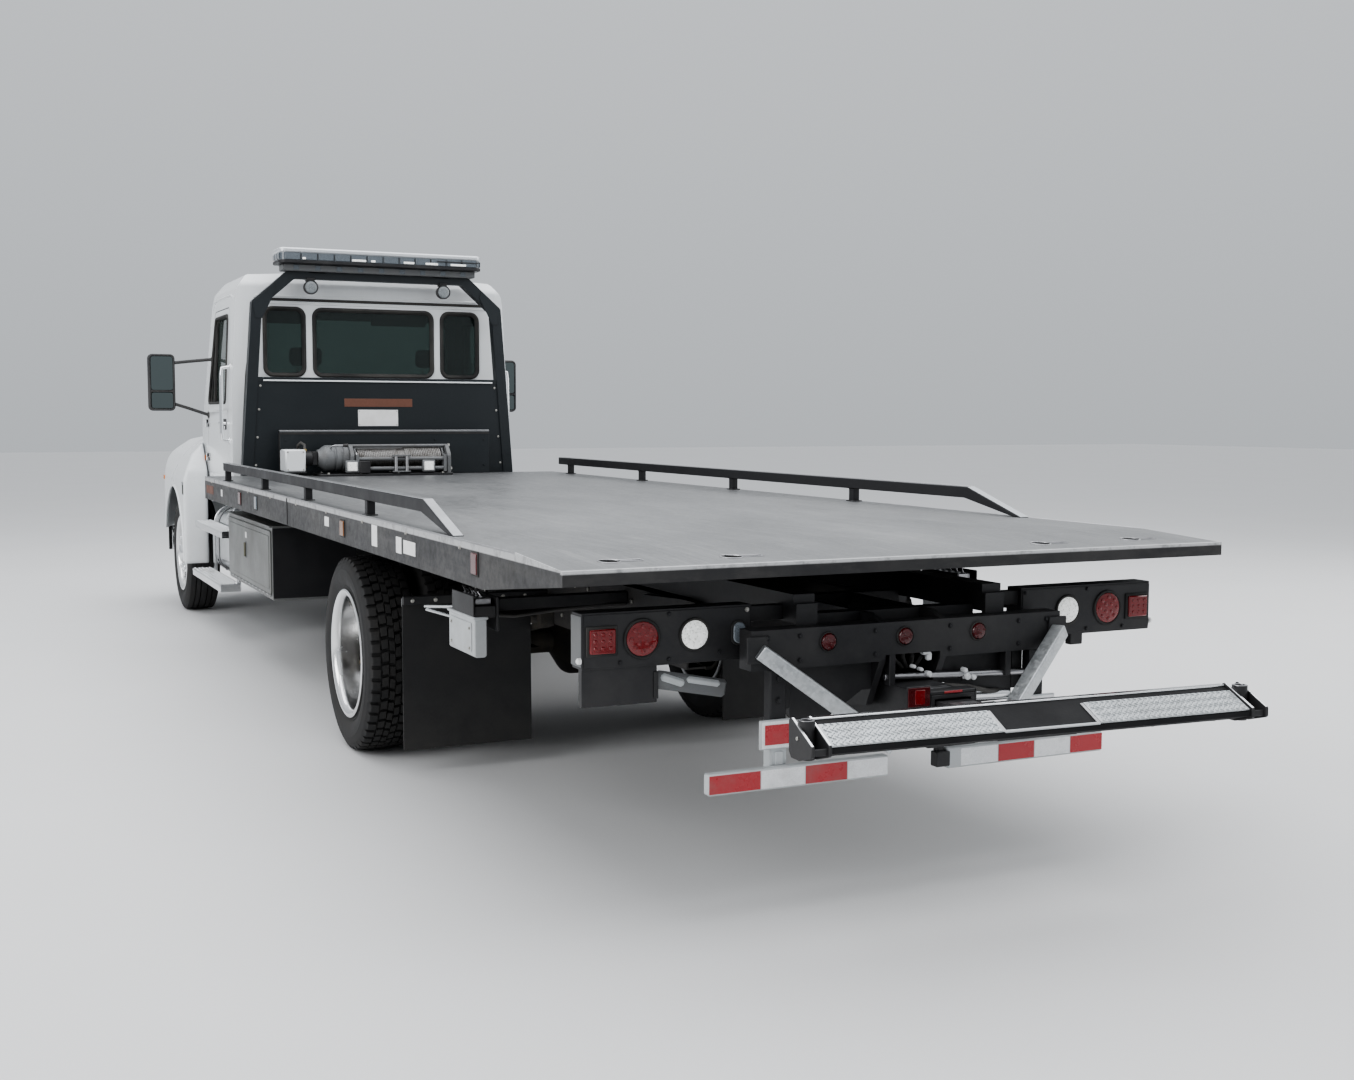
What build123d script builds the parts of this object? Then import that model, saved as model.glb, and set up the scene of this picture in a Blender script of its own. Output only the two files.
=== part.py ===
from build123d import *
import math
import os

os.makedirs("parts", exist_ok=True)

# Flatbed tow truck. Millimetres. Origin on the ground under the middle of the
# truck, +X to the truck's left, +Y to its tail, +Z up. The cab faces -Y.

# ---------------------------------------------------------------- driving sizes
TYRE_R, TYRE_W = 469.0, 255.0            # 22.5 in low-profile tyre
BEAD_R, FLANGE_R = 290.0, 311.0
AXLE_Z = TYRE_R
FRONT_AXLE_Y, REAR_AXLE_Y = -4310.0, 1560.0
KINGPIN_X = 930.0
FRONT_TYRE_X = 1075.0                    # middle of the front tyre
TWIN_OUT_X, TWIN_IN_X = 1094.5, 794.5    # middles of the twin tyres
TWIN_DISC_X = 944.5                      # where the two rear discs meet

RAIL_IN, RAIL_OUT = 350.0, 430.0         # chassis rails, 34 in over the webs
RAIL_LOW, RAIL_TOP = 660.0, 920.0
RAIL_FRONT, RAIL_REAR = -5190.0, 3700.0

TILT_Y, TILT_Z, TILT_SHAFT_R = 3790.0, 875.0, 30.0
SUB_IN, SUB_OUT = 340.0, 420.0           # rails of the tilting subframe
SUB_LOW, SUB_TOP = 935.0, 1030.0
SUB_FRONT, SUB_REAR = -2150.0, 4480.0

DECK_HALF, DECK_TOP, DECK_PLATE = 1295.0, 1180.0, 15.0
DECK_FRONT, DECK_BREAK, DECK_TAIL = -2255.0, 4230.0, 4640.0
DECK_TAIL_TOP = 1157.0
CHANNEL_IN, CHANNEL_LOW = 1225.0, 1026.0

CAB_FRONT, CAB_REAR, CAB_WALL = -3990.0, -2560.0, 60.0
CAB_LOW, CAB_ROOF_Z = 950.0, 2440.0
DOOR_FRONT, DOOR_REAR, DOOR_GAP = -3690.0, -2770.0, 6.0
BELT_Z = 1700.0

HOOD_REAR, HOOD_NOSE, HOOD_SKIN = -4000.0, -5240.0, 24.0
ARCH_R = 560.0

BUMPER_FRONT = -5360.0
HOOD_PIVOT = (-5266.0, 715.0)            # y, z of the hood's hinge pins
DOOR_PIVOT = (1062.0, -3695.0)           # x, y of the left door's hinge pins
DOOR_HINGES = (1250.0, 1515.0)           # low ends of a door's two hinges
PYLON_Y = (-2440.0, -2360.0)
BOOM_Y, BOOM_Z = 3960.0, 640.0
SWIVEL_Y = 5140.0
BAR_END, BAR_REAR = 800.0, 5300.0
BAR_YAW = 3.5                            # degrees that the crossbar stands swivelled by
HEAD_LOW, HEAD_TOP = 680.0, 716.0        # head of the stinger inside the crossbar's yoke
ARM_PIN = (768.0, 5214.0)                # x, y of the arm pin's bore in the unswivelled crossbar

RAM_BASE = (-600.0, 560.0)               # y, z of the lift rams' lower pins
RAM_EYE = (500.0, 965.0)                 # y, z of their upper pins at rest
RAM_X = 520.0


# ---------------------------------------------------------------- small helpers
def bx(x, y, z):
    """A block between (low, high) pairs."""
    return Pos((x[0] + x[1]) / 2, (y[0] + y[1]) / 2, (z[0] + z[1]) / 2) * Box(
        x[1] - x[0], y[1] - y[0], z[1] - z[0]
    )


def rod(p, q, r):
    """A round bar from p to q."""
    p, q = Vector(*p), Vector(*q)
    return Part() + Solid.make_cylinder(r, (q - p).length, Plane(p, z_dir=(q - p)))


def outline(points, radii):
    """A flat face through 3-D points, each corner rounded by its radius."""
    corners = []
    for i, at in enumerate(points):
        p, r = Vector(*at), radii[i]
        if r <= 0:
            corners.append((p, None, p))
            continue
        u = (Vector(*points[i - 1]) - p).normalized()
        w = (Vector(*points[(i + 1) % len(points)]) - p).normalized()
        half = math.radians(u.get_angle(w)) / 2
        mid = (u + w).normalized()
        reach = r / math.tan(half)
        corners.append((p + u * reach, p + mid * (r / math.sin(half) - r), p + w * reach))
    edges = []
    for i, (start, middle, end) in enumerate(corners):
        if middle is not None:
            edges.append(Edge.make_three_point_arc(start, middle, end))
        following = corners[(i + 1) % len(corners)][0]
        if (following - end).length > 1e-6:
            edges.append(Edge.make_line(end, following))
    return Face(Wire(edges))


def _radii(points):
    return [p[2] if len(p) > 2 else 0 for p in points]


def side(points, x):
    """(y, z, corner radius) outline, thick from x[0] to x[1]."""
    face = outline([(x[0], p[0], p[1]) for p in points], _radii(points))
    return Part() + extrude(face, amount=x[1] - x[0], dir=(1, 0, 0))


def front(points, y):
    """(x, z, corner radius) outline, thick from y[0] to y[1]."""
    face = outline([(p[0], y[0], p[1]) for p in points], _radii(points))
    return Part() + extrude(face, amount=y[1] - y[0], dir=(0, 1, 0))


def plan(points, z):
    """(x, y, corner radius) outline, thick from z[0] to z[1]."""
    face = outline([(p[0], p[1], z[0]) for p in points], _radii(points))
    return Part() + extrude(face, amount=z[1] - z[0], dir=(0, 0, 1))


def both_sides(points):
    """A half outline from the middle outwards, completed by its mirror image."""
    return list(points) + [(-p[0],) + tuple(p[1:]) for p in reversed(points)]


def rect(a, b, r=0):
    """Corners of a rectangle a = (low, high) by b = (low, high)."""
    return [(a[0], b[0], r), (a[1], b[0], r), (a[1], b[1], r), (a[0], b[1], r)]


def mirrored(part):
    return mirror(part, about=Plane.YZ)


def pair(part):
    return Part() + [part, mirrored(part)]


def turned(points, x, y, z):
    """(x along the axle, radius, corner radius) outline turned about an axle."""
    face = outline([(x + p[0], y, z + p[1]) for p in points], _radii(points))
    return Part() + revolve(face, Axis((x, y, z), (1, 0, 0)), 360)


def write(node, *pieces):
    solids = [s for piece in pieces for s in piece.solids()]
    export_step(Compound(label=node, children=solids), f"parts/{node}.step")


# ---------------------------------------------------------------- chassis
# (low y, high y, low z, high z) of each cross member between the rails
CROSS = [
    (-5150, -5080, 665, 695),
    (-2700, -2620, 720, 880),
    (-1500, -1420, 720, 880),
    (-100, -20, 720, 880),
    (780, 860, 720, 880),
    (2300, 2380, 720, 880),
    (3560, 3640, 720, 880),
]
WEB = 8.0
channel = front(
    [
        (RAIL_IN, RAIL_LOW), (RAIL_OUT, RAIL_LOW), (RAIL_OUT, RAIL_TOP), (RAIL_IN, RAIL_TOP),
        (RAIL_IN, RAIL_TOP - WEB), (RAIL_OUT - WEB, RAIL_TOP - WEB),
        (RAIL_OUT - WEB, RAIL_LOW + WEB), (RAIL_IN, RAIL_LOW + WEB),
    ],
    (RAIL_FRONT, RAIL_REAR),
)
frame_parts = [channel, mirrored(channel)]
for y0, y1, z0, z1 in CROSS:
    reach = RAIL_OUT - WEB if z0 > RAIL_LOW + WEB else RAIL_IN
    frame_parts.append(bx((-reach, reach), (y0, y1), (z0, z1)))
# plates that carry the tilt shaft behind the rails, and the shaft
hinge_plate = side(
    [(3350, 700), (3850, 790, 60), (3850, 930, 40), (3700, 930, 0), (3350, 910, 0)],
    (RAIL_OUT, RAIL_OUT + 25),
)
frame_parts += [hinge_plate, mirrored(hinge_plate)]
frame_parts.append(rod((-500, TILT_Y, TILT_Z), (500, TILT_Y, TILT_Z), TILT_SHAFT_R))
# brackets of the front bumper and of the rams' lower pins
horn = bx((RAIL_OUT, RAIL_OUT + 15), (BUMPER_FRONT + 30, -4950), (540, 690))
horn += bx((RAIL_OUT, RAIL_OUT + 15), (HOOD_PIVOT[0] - 18, HOOD_PIVOT[0] + 18), (680, HOOD_PIVOT[1]))
horn += rod((RAIL_OUT, *HOOD_PIVOT), (RAIL_OUT + 15, *HOOD_PIVOT), 18)
horn += rod((RAIL_OUT + 10, *HOOD_PIVOT), (RAIL_OUT + 58, *HOOD_PIVOT), 8)
ram_bracket = side(
    [(-760, 900), (-760, 700), (-660, 500, 40), (-540, 500, 40), (-460, 700), (-460, 900)],
    (RAIL_OUT, RAIL_OUT + 20),
) + rod((RAIL_OUT + 10, *RAM_BASE), (RAM_X + 60, *RAM_BASE), 20)
frame_parts += [horn, mirrored(horn), ram_bracket, mirrored(ram_bracket)]
write("chassis_frame", Part() + frame_parts)

bumper_out = both_sides([(1000, BUMPER_FRONT, 70), (1180, -5285, 40), (1180, -5225, 0)])
bumper_in = both_sides([(985, BUMPER_FRONT + 30, 50), (1150, -5265, 20), (1150, -5215, 0)])
bumper = plan(bumper_out, (420, 690)) - plan(bumper_in, (410, 700))
bumper -= pair(bx((620, 780), (BUMPER_FRONT - 10, BUMPER_FRONT + 60), (500, 560)))
write("front_bumper", bumper)

# ---------------------------------------------------------------- axles, springs
beam = front(
    both_sides([
        (640, 330, 60), (760, 415, 60), (890, 415, 0), (890, 522, 0), (740, 522, 60), (620, 425, 60),
    ]),
    (FRONT_AXLE_Y - 38, FRONT_AXLE_Y + 38),
)
for sx in (-1, 1):
    eye = (sx * KINGPIN_X, FRONT_AXLE_Y)
    beam += rod((*eye, AXLE_Z - 60), (*eye, AXLE_Z + 60), 45)
    beam += rod((*eye, AXLE_Z - 120), (*eye, AXLE_Z + 120), 20)
write("front_axle", beam)

ARM_Y, ARM_X, ARM_Z = FRONT_AXLE_Y + 200, 850.0, (374.0, 398.0)
knuckle = Part()
for z0, z1 in ((AXLE_Z - 95, AXLE_Z - 65), (AXLE_Z + 65, AXLE_Z + 95)):
    knuckle += rod((KINGPIN_X, FRONT_AXLE_Y, z0), (KINGPIN_X, FRONT_AXLE_Y, z1), 44)
    knuckle += bx((KINGPIN_X, 1006), (FRONT_AXLE_Y - 44, FRONT_AXLE_Y + 44), (z0, z1))
knuckle += bx((981, 1006), (FRONT_AXLE_Y - 44, FRONT_AXLE_Y + 44), (AXLE_Z - 95, AXLE_Z + 95))
knuckle += rod((1006, FRONT_AXLE_Y, AXLE_Z), (1150, FRONT_AXLE_Y, AXLE_Z), 35)
knuckle += plan(
    [(KINGPIN_X + 30, FRONT_AXLE_Y), (ARM_X + 28, ARM_Y + 10, 20), (ARM_X - 22, ARM_Y + 24, 20),
     (ARM_X - 22, ARM_Y - 24, 10), (KINGPIN_X - 40, FRONT_AXLE_Y)],
    ARM_Z,
)
knuckle -= rod((KINGPIN_X, FRONT_AXLE_Y, 300), (KINGPIN_X, FRONT_AXLE_Y, 700), 20.05)
write("knuckle_left", knuckle)
write("knuckle_right", mirrored(knuckle))

tie = rod((-ARM_X, ARM_Y, 350), (ARM_X, ARM_Y, 350), 14)
for sx in (-1, 1):
    tie += rod((sx * ARM_X, ARM_Y, 330), (sx * ARM_X, ARM_Y, 368), 24)
write("tie_rod", tie)

HUB_BORE = 45.06
axle = rod((-690, REAR_AXLE_Y, AXLE_Z), (690, REAR_AXLE_Y, AXLE_Z), 62)
axle += rod((-1010, REAR_AXLE_Y, AXLE_Z), (1010, REAR_AXLE_Y, AXLE_Z), 45)
axle += turned([(-170, 60, 0), (-90, 178, 60), (90, 178, 60), (170, 60, 0)], 0, REAR_AXLE_Y, AXLE_Z)
axle += rod((0, REAR_AXLE_Y - 230, AXLE_Z), (0, REAR_AXLE_Y, AXLE_Z), 70)
write("rear_axle", axle)

# (rail side x, outer x, middle y, half length, seat z, end z, thickness)
SPRINGS = [(362, 428, FRONT_AXLE_Y, 700, 425, 600, 62), (434, 496, REAR_AXLE_Y, 750, 531, 650, 72)]
springs = []
for x0, x1, y, half, seat, end, thick in SPRINGS:
    leaf = side(
        [
            (y - half, end), (y - half * 0.5, (seat + end) / 2 - 18, 300), (y - 80, seat), (y + 80, seat),
            (y + half * 0.5, (seat + end) / 2 - 18, 300), (y + half, end), (y + half, end + 20),
            (y + half * 0.5, (seat + end) / 2 + 16, 300), (y + 80, seat + thick), (y - 80, seat + thick),
            (y - half * 0.5, (seat + end) / 2 + 16, 300), (y - half, end + 20),
        ],
        (x0, x1),
    )
    for at in (y - half + 25, y + half - 25):
        if x0 < RAIL_OUT:
            leaf += bx((x0 + 6, x1 - 6), (at - 25, at + 25), (end + 8, RAIL_LOW))
        else:
            leaf += bx((RAIL_OUT, x1), (at - 25, at + 25), (end, 780))
    springs += [leaf, mirrored(leaf)]
write("leaf_springs", *springs)

engine = bx((-300, 300), (-4950, -4030), (600, 1250))
engine += bx((-340, 340), (-5140, -5060), (710, 1220))
engine += bx((-120, 120), (-5060, -4950), (800, 1000))
engine += bx((-200, 200), (-4030, -3000), (520, 860))
write("engine_block", engine)

write("driveshaft", rod((0, -2996, 620), (0, -700, 550), 40) + rod((0, -720, 550), (0, 1326, 480), 40)
      + rod((0, -760, 552), (0, -680, 548), 85))

exhaust = rod((-200, -1900, 590), (-200, -1000, 590), 100)
exhaust += rod((-200, -2950, 590), (-200, 600, 590), 35)
write("exhaust", exhaust)

# ---------------------------------------------------------------- wheels
TYRE_SECTION = [
    (-104, BEAD_R + 0.3, 0), (-107, 314, 0), (-TYRE_W / 2, 375, 40), (-120, 440, 0), (-98, 463, 12),
    (-60, TYRE_R, 0), (60, TYRE_R, 0), (98, 463, 12), (120, 440, 0), (TYRE_W / 2, 375, 40),
    (107, 314, 0), (104, BEAD_R + 0.3, 0),
]


def tyre(x, y):
    return turned(TYRE_SECTION, x, y, AXLE_Z)


def barrel(x, y):
    """Well, bead seats and flanges of one rim."""
    return turned(
        [
            (-122, 268, 0), (-122, FLANGE_R, 5), (-108, FLANGE_R, 5), (-107.5, BEAD_R, 0), (107.5, BEAD_R, 0),
            (108, FLANGE_R, 5), (122, FLANGE_R, 5), (122, 268, 0),
        ],
        x, y, AXLE_Z,
    )


def disc(x0, x1, y, r, holes_at, hole_r):
    """A flat wheel disc with ten hand holes."""
    part = rod((x0, y, AXLE_Z), (x1, y, AXLE_Z), r)
    for k in range(10):
        a = math.radians(36 * k)
        at = (y + holes_at * math.cos(a), AXLE_Z + holes_at * math.sin(a))
        part -= rod((x0 - 5, *at), (x1 + 5, *at), hole_r)
    return part


fy = FRONT_AXLE_Y
front_wheel = barrel(FRONT_TYRE_X, fy) + disc(1128, 1142, fy, 270, 205, 28)
front_wheel += rod((1092, fy, AXLE_Z), (1215, fy, AXLE_Z), 84)               # hub
front_wheel += turned([(-115, 196, 0), (-115, 214, 0), (5, 214, 10), (5, 60, 0), (-12, 60, 0), (-12, 196, 8)],
                      FRONT_TYRE_X + 25, fy, AXLE_Z)                          # brake drum
front_wheel += rod((1100, fy, AXLE_Z), (1128, fy, AXLE_Z), 150)
front_wheel -= rod((1080, fy, AXLE_Z), (1160, fy, AXLE_Z), 35.06)
for name, flip in (("left", False), ("right", True)):
    tyre_part, wheel_part = tyre(FRONT_TYRE_X, fy), front_wheel
    if flip:
        tyre_part, wheel_part = mirrored(tyre_part), mirrored(wheel_part)
    write(f"front_tyre_{name}", tyre_part)
    write(f"front_wheel_{name}", wheel_part)

ry = REAR_AXLE_Y
rear_wheel = barrel(TWIN_OUT_X, ry) + barrel(TWIN_IN_X, ry)
rear_wheel += disc(TWIN_DISC_X - 14, TWIN_DISC_X + 14, ry, 270, 205, 28)
# cones that join each disc to its rim
for x0, x1 in ((TWIN_DISC_X, TWIN_OUT_X - 90), (TWIN_IN_X + 90, TWIN_DISC_X)):
    rear_wheel += turned([(x0 - ry * 0, 255, 0), (x0, 275, 0), (x1, 275, 0), (x1, 255, 0)], 0, ry, AXLE_Z)
rear_wheel += rod((880, ry, AXLE_Z), (1075, ry, AXLE_Z), 96)                  # hub and its cap
rear_wheel += turned([(720, 198, 0), (720, 216, 0), (925, 216, 10), (925, 80, 0), (905, 80, 0), (905, 198, 8)],
                     0, ry, AXLE_Z)                                           # brake drum
rear_wheel += rod((918, ry, AXLE_Z), (932, ry, AXLE_Z), 170)
rear_wheel -= rod((860, ry, AXLE_Z), (1020, ry, AXLE_Z), HUB_BORE)
rear_tyres = [tyre(TWIN_OUT_X, ry), tyre(TWIN_IN_X, ry)]
write("rear_tyres_left", *rear_tyres)
write("rear_tyres_right", *[mirrored(t) for t in rear_tyres])
write("rear_wheels_left", rear_wheel)
write("rear_wheels_right", mirrored(rear_wheel))

# ---------------------------------------------------------------- cab
CAB_OUT = [  # (x, z, corner radius) of the outer skin, from the middle of the roof outwards
    (1010, CAB_LOW, 40), (1050, 1180, 0), (1050, 1680, 0), (1012, CAB_ROOF_Z, 0), (1000, 2530, 50),
    (925, 2628, 50), (560, 2652, 0),
]
CAB_IN = [
    (960, CAB_LOW + 50, 20), (990, 1180, 0), (990, 1680, 0), (952, CAB_ROOF_Z, 0), (942, 2500, 40),
    (890, 2570, 40), (540, 2594, 0),
]
SCREEN_LOW, SCREEN_TOP = (-3900.0, 1640.0), (-3600.0, CAB_ROOF_Z)
cab_side_out = [
    (CAB_FRONT, CAB_LOW), (CAB_FRONT, 1560, 20), (*SCREEN_LOW, 0), (*SCREEN_TOP, 0), (-3520, 2590, 60),
    (-3340, 2662, 60), (-2650, 2662, 60), (CAB_REAR, 2560, 60), (CAB_REAR, CAB_LOW),
]
cab_side_in = [
    (CAB_FRONT + 60, CAB_LOW + 50), (CAB_FRONT + 60, 1560), (-3836, 1640), (-3536, CAB_ROOF_Z),
    (-3465, 2540, 30), (-3320, 2602, 30), (-2680, 2602, 30), (CAB_REAR - 60, 2530, 30),
    (CAB_REAR - 60, CAB_LOW + 50),
]
cab_all = front(both_sides(CAB_OUT), (CAB_FRONT, CAB_REAR)) & side(cab_side_out, (-1100, 1100))
cab_all -= front(both_sides(CAB_IN), (CAB_FRONT + 60, CAB_REAR - 60)) & side(cab_side_in, (-1100, 1100))


def door_outline(gap):
    return [
        (DOOR_FRONT + gap, 1000 + gap, 30), (DOOR_FRONT + gap, 1640, 60), (-3440 + gap, 2400 - gap, 60),
        (DOOR_REAR - gap, 2400 - gap, 60), (DOOR_REAR - gap, 1000 + gap, 30),
    ]


WINDOW = [(-3622, BELT_Z, 30), (-3390, 2345, 50), (DOOR_REAR - 62, 2345, 50), (DOOR_REAR - 62, BELT_Z, 40)]
SCREEN = both_sides([(925, 1705, 70), (885, 2385, 70)])
# (low x, high x) of the rear panes; all stand from z 1900 to 2390
REAR_PANES = [(-450, 450), (520, 810), (-810, -520)]
REAR_PANE_Z = (1900, 2390)

openings = [side(door_outline(0), (800, 1100)), side(door_outline(0), (-1100, -800)),
            front(SCREEN, (-4100, -3480))]
for x0, x1 in REAR_PANES:
    openings.append(front(rect((x0, x1), REAR_PANE_Z, 60), (-2700, -2500)))
roof_block = bx((-1200, 1200), (-4200, -2400), (CAB_ROOF_Z, 2800))
cab_roof = cab_all & roof_block
cab_shell = cab_all - roof_block
door_left = (cab_all & side(door_outline(DOOR_GAP), (800, 1100))) - side(WINDOW, (800, 1100))
for cut in openings:
    cab_shell -= cut
# door hinges: pins and upper knuckles on the cab, lower knuckles on the door
hx, hy = DOOR_PIVOT
for z0 in DOOR_HINGES:
    cab_knuckle = rod((hx, hy, z0 + 31), (hx, hy, z0 + 58), 9) + rod((hx, hy, z0 - 3), (hx, hy, z0 + 60), 4)
    cab_knuckle += bx((1040, hx), (hy - 40, hy), (z0 + 31, z0 + 58))
    cab_shell += pair(cab_knuckle - bx((900, 1100), (hy - 50, hy + 50), (z0 - 10, z0 - 4)))
    door_left += rod((hx, hy, z0), (hx, hy, z0 + 28), 9) + bx((1053, hx), (hy, hy + 42), (z0, z0 + 28))
    door_left += bx((1045, hx), (hy + 17, hy + 42), (z0, z0 + 28))
    door_left -= rod((hx, hy, z0 - 10), (hx, hy, z0 + 40), 4.06)
write("cab_shell", cab_shell)
write("cab_roof", cab_roof)
write("door_left", door_left)
write("door_right", mirrored(door_left))

slope = math.atan2(SCREEN_TOP[1] - SCREEN_LOW[1], SCREEN_TOP[0] - SCREEN_LOW[0])
nx, nz = math.sin(slope), -math.cos(slope)                 # inward normal of the screen


def screen_slab(near, far):
    (ya, za), (yb, zb) = SCREEN_LOW, SCREEN_TOP
    return side(
        [(ya + nx * near, za + nz * near), (yb + nx * near, zb + nz * near),
         (yb + nx * far, zb + nz * far), (ya + nx * far, za + nz * far)],
        (-1000, 1000),
    )


panes = [front(SCREEN, (-4100, -3400)) & screen_slab(18, 25)]
for x0, x1 in REAR_PANES:
    panes.append(front(rect((x0, x1), REAR_PANE_Z, 60), (CAB_REAR - 22, CAB_REAR - 15)))
write("cab_windows", *panes)

glass = side(WINDOW, (900, 1100)) & front(
    [(1050 - 24, 1680), (1012 - 24, CAB_ROOF_Z), (1012 - 31, CAB_ROOF_Z), (1050 - 31, 1680)], (-3800, -2700)
)
write("door_glass_left", glass)
write("door_glass_right", mirrored(glass))

mirror_head = bx((1300, 1500), (-3690, -3610), (1640, 2080))
mirror_head = fillet(mirror_head.edges().filter_by(Axis.Y), 28)
mirror_part = mirror_head + rod((1052, -3640, 1610), (1330, -3645, 1700), 13)
mirror_part += rod((1034, -3520, 2040), (1330, -3640, 2010), 13)
mirror_part += rod((1046, -3640, 1610), (1060, -3640, 1614), 30) + rod((1027, -3516, 2041), (1042, -3524, 2039), 26)
mirror_part -= cab_all
write("mirror_left", mirror_part)
write("mirror_right", mirrored(mirror_part))

seats = []
for x in (-480, 480):
    seats.append(
        side(
            [(-3190, 1210, 40), (-3190, 1340, 50), (-2860, 1320, 30), (-2790, 1960, 20), (-2760, 2130, 30),
             (-2690, 2130, 30), (-2650, 1300, 30), (-2680, 1210, 30)],
            (x - 240, x + 240),
        )
        + bx((x - 170, x + 170), (-3120, -2720), (1000, 1215))
    )
write("seats", *seats)

dash = side([(-3929, 1230), (-3929, 1545, 0), (-3720, 1590, 40), (-3610, 1500, 50), (-3640, 1230, 20)], (-955, 955))
write("dashboard", dash)
column_low, wheel_mid = Vector(480, -3640, 1400), Vector(480, -3420, 1500)
tilt_dir = (wheel_mid - column_low).normalized()
wheel_plane = Plane(wheel_mid, x_dir=(1, 0, 0), z_dir=tilt_dir)
rim = wheel_plane * revolve(Pos(215, 0, 0) * (Plane.XZ * Circle(17)), Axis.Z, 360)
spokes = [wheel_plane * (Rot(0, 0, turn) * (Pos(106, 0, 0) * Box(212, 40, 16))) for turn in (0, 180, 270)]
boss = wheel_plane * Cylinder(55, 40)
shaft = rod((480, -3612, 1412.7), tuple(wheel_mid), 26)
steering = Part() + [rim, boss, shaft] + spokes
steering -= dash
write("steering_wheel", steering)

# ---------------------------------------------------------------- hood
# (x, z) halves of the bonnet's nose and rear sections
NOSE = [(680, 700), (680, 950), (655, 1180), (590, 1270), (430, 1322)]
REAR = [(920, 700), (920, 1000), (880, 1430), (760, 1545), (520, 1602)]


def bonnet(nose_y, rear_y, skin):
    def section(half, y, low):
        pts = [(x - skin, (low if z == 700 else z - skin)) for x, z in half]
        pts = both_sides(pts)
        return outline([(x, y, z) for x, z in pts], [0] * len(pts))

    low = 700 if skin == 0 else 600
    return Part() + loft([section(NOSE, nose_y, low), section(REAR, rear_y, low)], ruled=True)


FENDER = [  # (x, z, corner radius) of the left fender seen from ahead
    (600, 430), (1250, 430, 0), (1250, 1085, 0), (1226, 1170, 60), (1165, 1292, 70), (1045, 1405, 70),
    (900, 1438, 0), (600, 1438),
]
FENDER_PLAN = [(600, HOOD_NOSE + 5), (700, HOOD_NOSE + 5, 0), (1060, -5190, 120), (1195, -5060, 120), (1250, -4860, 120),
               (1250, -3700), (600, -3700)]
FENDER_SIDE = [(-3700, 430), (-3700, 1170, 60), (-3960, 1440, 140), (-4500, 1500), (-4960, 1330, 250),
               (HOOD_NOSE, 1080, 120), (HOOD_NOSE, 640), (-4700, 640), (-4700, 430)]


def shrink(points, dx, dz):
    return [(x - dx if x > 601 else x, z - dz if z > 431 else z) + tuple(r) for x, z, *r in points]


fender_out = front(FENDER, (-5300, -3650)) & plan(FENDER_PLAN, (400, 1500)) & side(FENDER_SIDE, (500, 1300))
fender_in_section = [(600, 400), (1226, 400, 0), (1226, 1080, 0), (1203, 1160, 50), (1147, 1272, 60),
                     (1035, 1383, 60), (900, 1414, 0), (600, 1414)]
fender_in_plan = [(600, HOOD_NOSE + 30), (700, HOOD_NOSE + 30, 0), (1050, -5165, 100), (1175, -5048, 100),
                  (1226, -4852, 100), (1226, -3750), (600, -3750)]
fender_in_side = [(-3750, 400), (-3750, 1150, 40), (-3975, 1402, 120), (-4500, 1460), (-4948, 1303, 230),
                  (HOOD_NOSE + 26, 1062, 100), (HOOD_NOSE + 26, 400)]
fender_in = front(fender_in_section, (-5300, -3650)) & plan(fender_in_plan, (300, 1500)) & side(
    fender_in_side, (500, 1300))
hood = bonnet(HOOD_NOSE, HOOD_REAR, 0) + fender_out + mirrored(fender_out)
hood -= bonnet(HOOD_NOSE + 24, HOOD_REAR, HOOD_SKIN)
hood -= fender_in
hood -= mirrored(fender_in)
arch = rod((560, FRONT_AXLE_Y, AXLE_Z), (1300, FRONT_AXLE_Y, AXLE_Z), ARCH_R)
arch += bx((560, 1300), (FRONT_AXLE_Y - ARCH_R, FRONT_AXLE_Y + ARCH_R), (300, AXLE_Z))
hood -= pair(arch)
hood -= bx((-1060, 1060), (HOOD_REAR, -3600), (300, 1800))
GRILLE_X, GRILLE_Z = 560.0, (790.0, 1215.0)
hood -= bx((-GRILLE_X, GRILLE_X), (-5300, -5180), GRILLE_Z)
lamp_outline = [(740, 850, 30), (1010, 850, 30), (1010, 1030, 40), (740, 1030, 30)]
lamp_hole = front([(737, 847, 33), (1013, 847, 33), (1013, 1033, 43), (737, 1033, 33)], (-5300, -5080))
headlamp = fender_out & front(lamp_outline, (-5300, -5110))
hood -= pair(lamp_hole)
lug = bx((452, 480), (HOOD_PIVOT[0], HOOD_NOSE + 12), (701, 729)) + rod((452, *HOOD_PIVOT), (480, *HOOD_PIVOT), 16)
hood += pair(lug)
hood -= pair(rod((440, *HOOD_PIVOT), (500, *HOOD_PIVOT), 8.06))
write("hood", hood)
write("headlamps", headlamp, mirrored(headlamp))

grille = bx((-GRILLE_X + 4, GRILLE_X - 4), (-5252, -5212), (GRILLE_Z[0] + 4, GRILLE_Z[1] - 4))
grille -= bx((-GRILLE_X + 34, GRILLE_X - 34), (-5300, -5180), (GRILLE_Z[0] + 34, GRILLE_Z[1] - 34))
for k in range(6):
    z = GRILLE_Z[0] + 62 + k * 58
    grille += bx((-GRILLE_X + 30, GRILLE_X - 30), (-5246, -5222), (z, z + 20))
write("grille", grille)

# ---------------------------------------------------------------- under the cab
tanks, steps = [], []
tank = front(rect((470, 1040), (385, 900), 140), (-3560, -2340))
for y in (-3350, -2550):
    tank += bx((RAIL_OUT, 480), (y - 40, y + 40), (680, 780))
tanks += [tank, mirrored(tank)]
write("fuel_tanks", *tanks)
# (inner x, outer x, low y, high y, low z, high z)
for x0, x1, y0, y1, z0, z1 in ((1056, 1200, -3640, -2300, 350, 405), (1056, 1185, -3560, -2300, 735, 785)):
    steps.append(bx((x0, x1), (y0, y1), (z0, z1)))
for y in (-3480, -2420):
    steps.append(bx((1040, 1060), (y - 35, y + 35), (350, 785)))
step_set = Part() + steps
write("cab_steps", step_set, mirrored(step_set))

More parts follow.
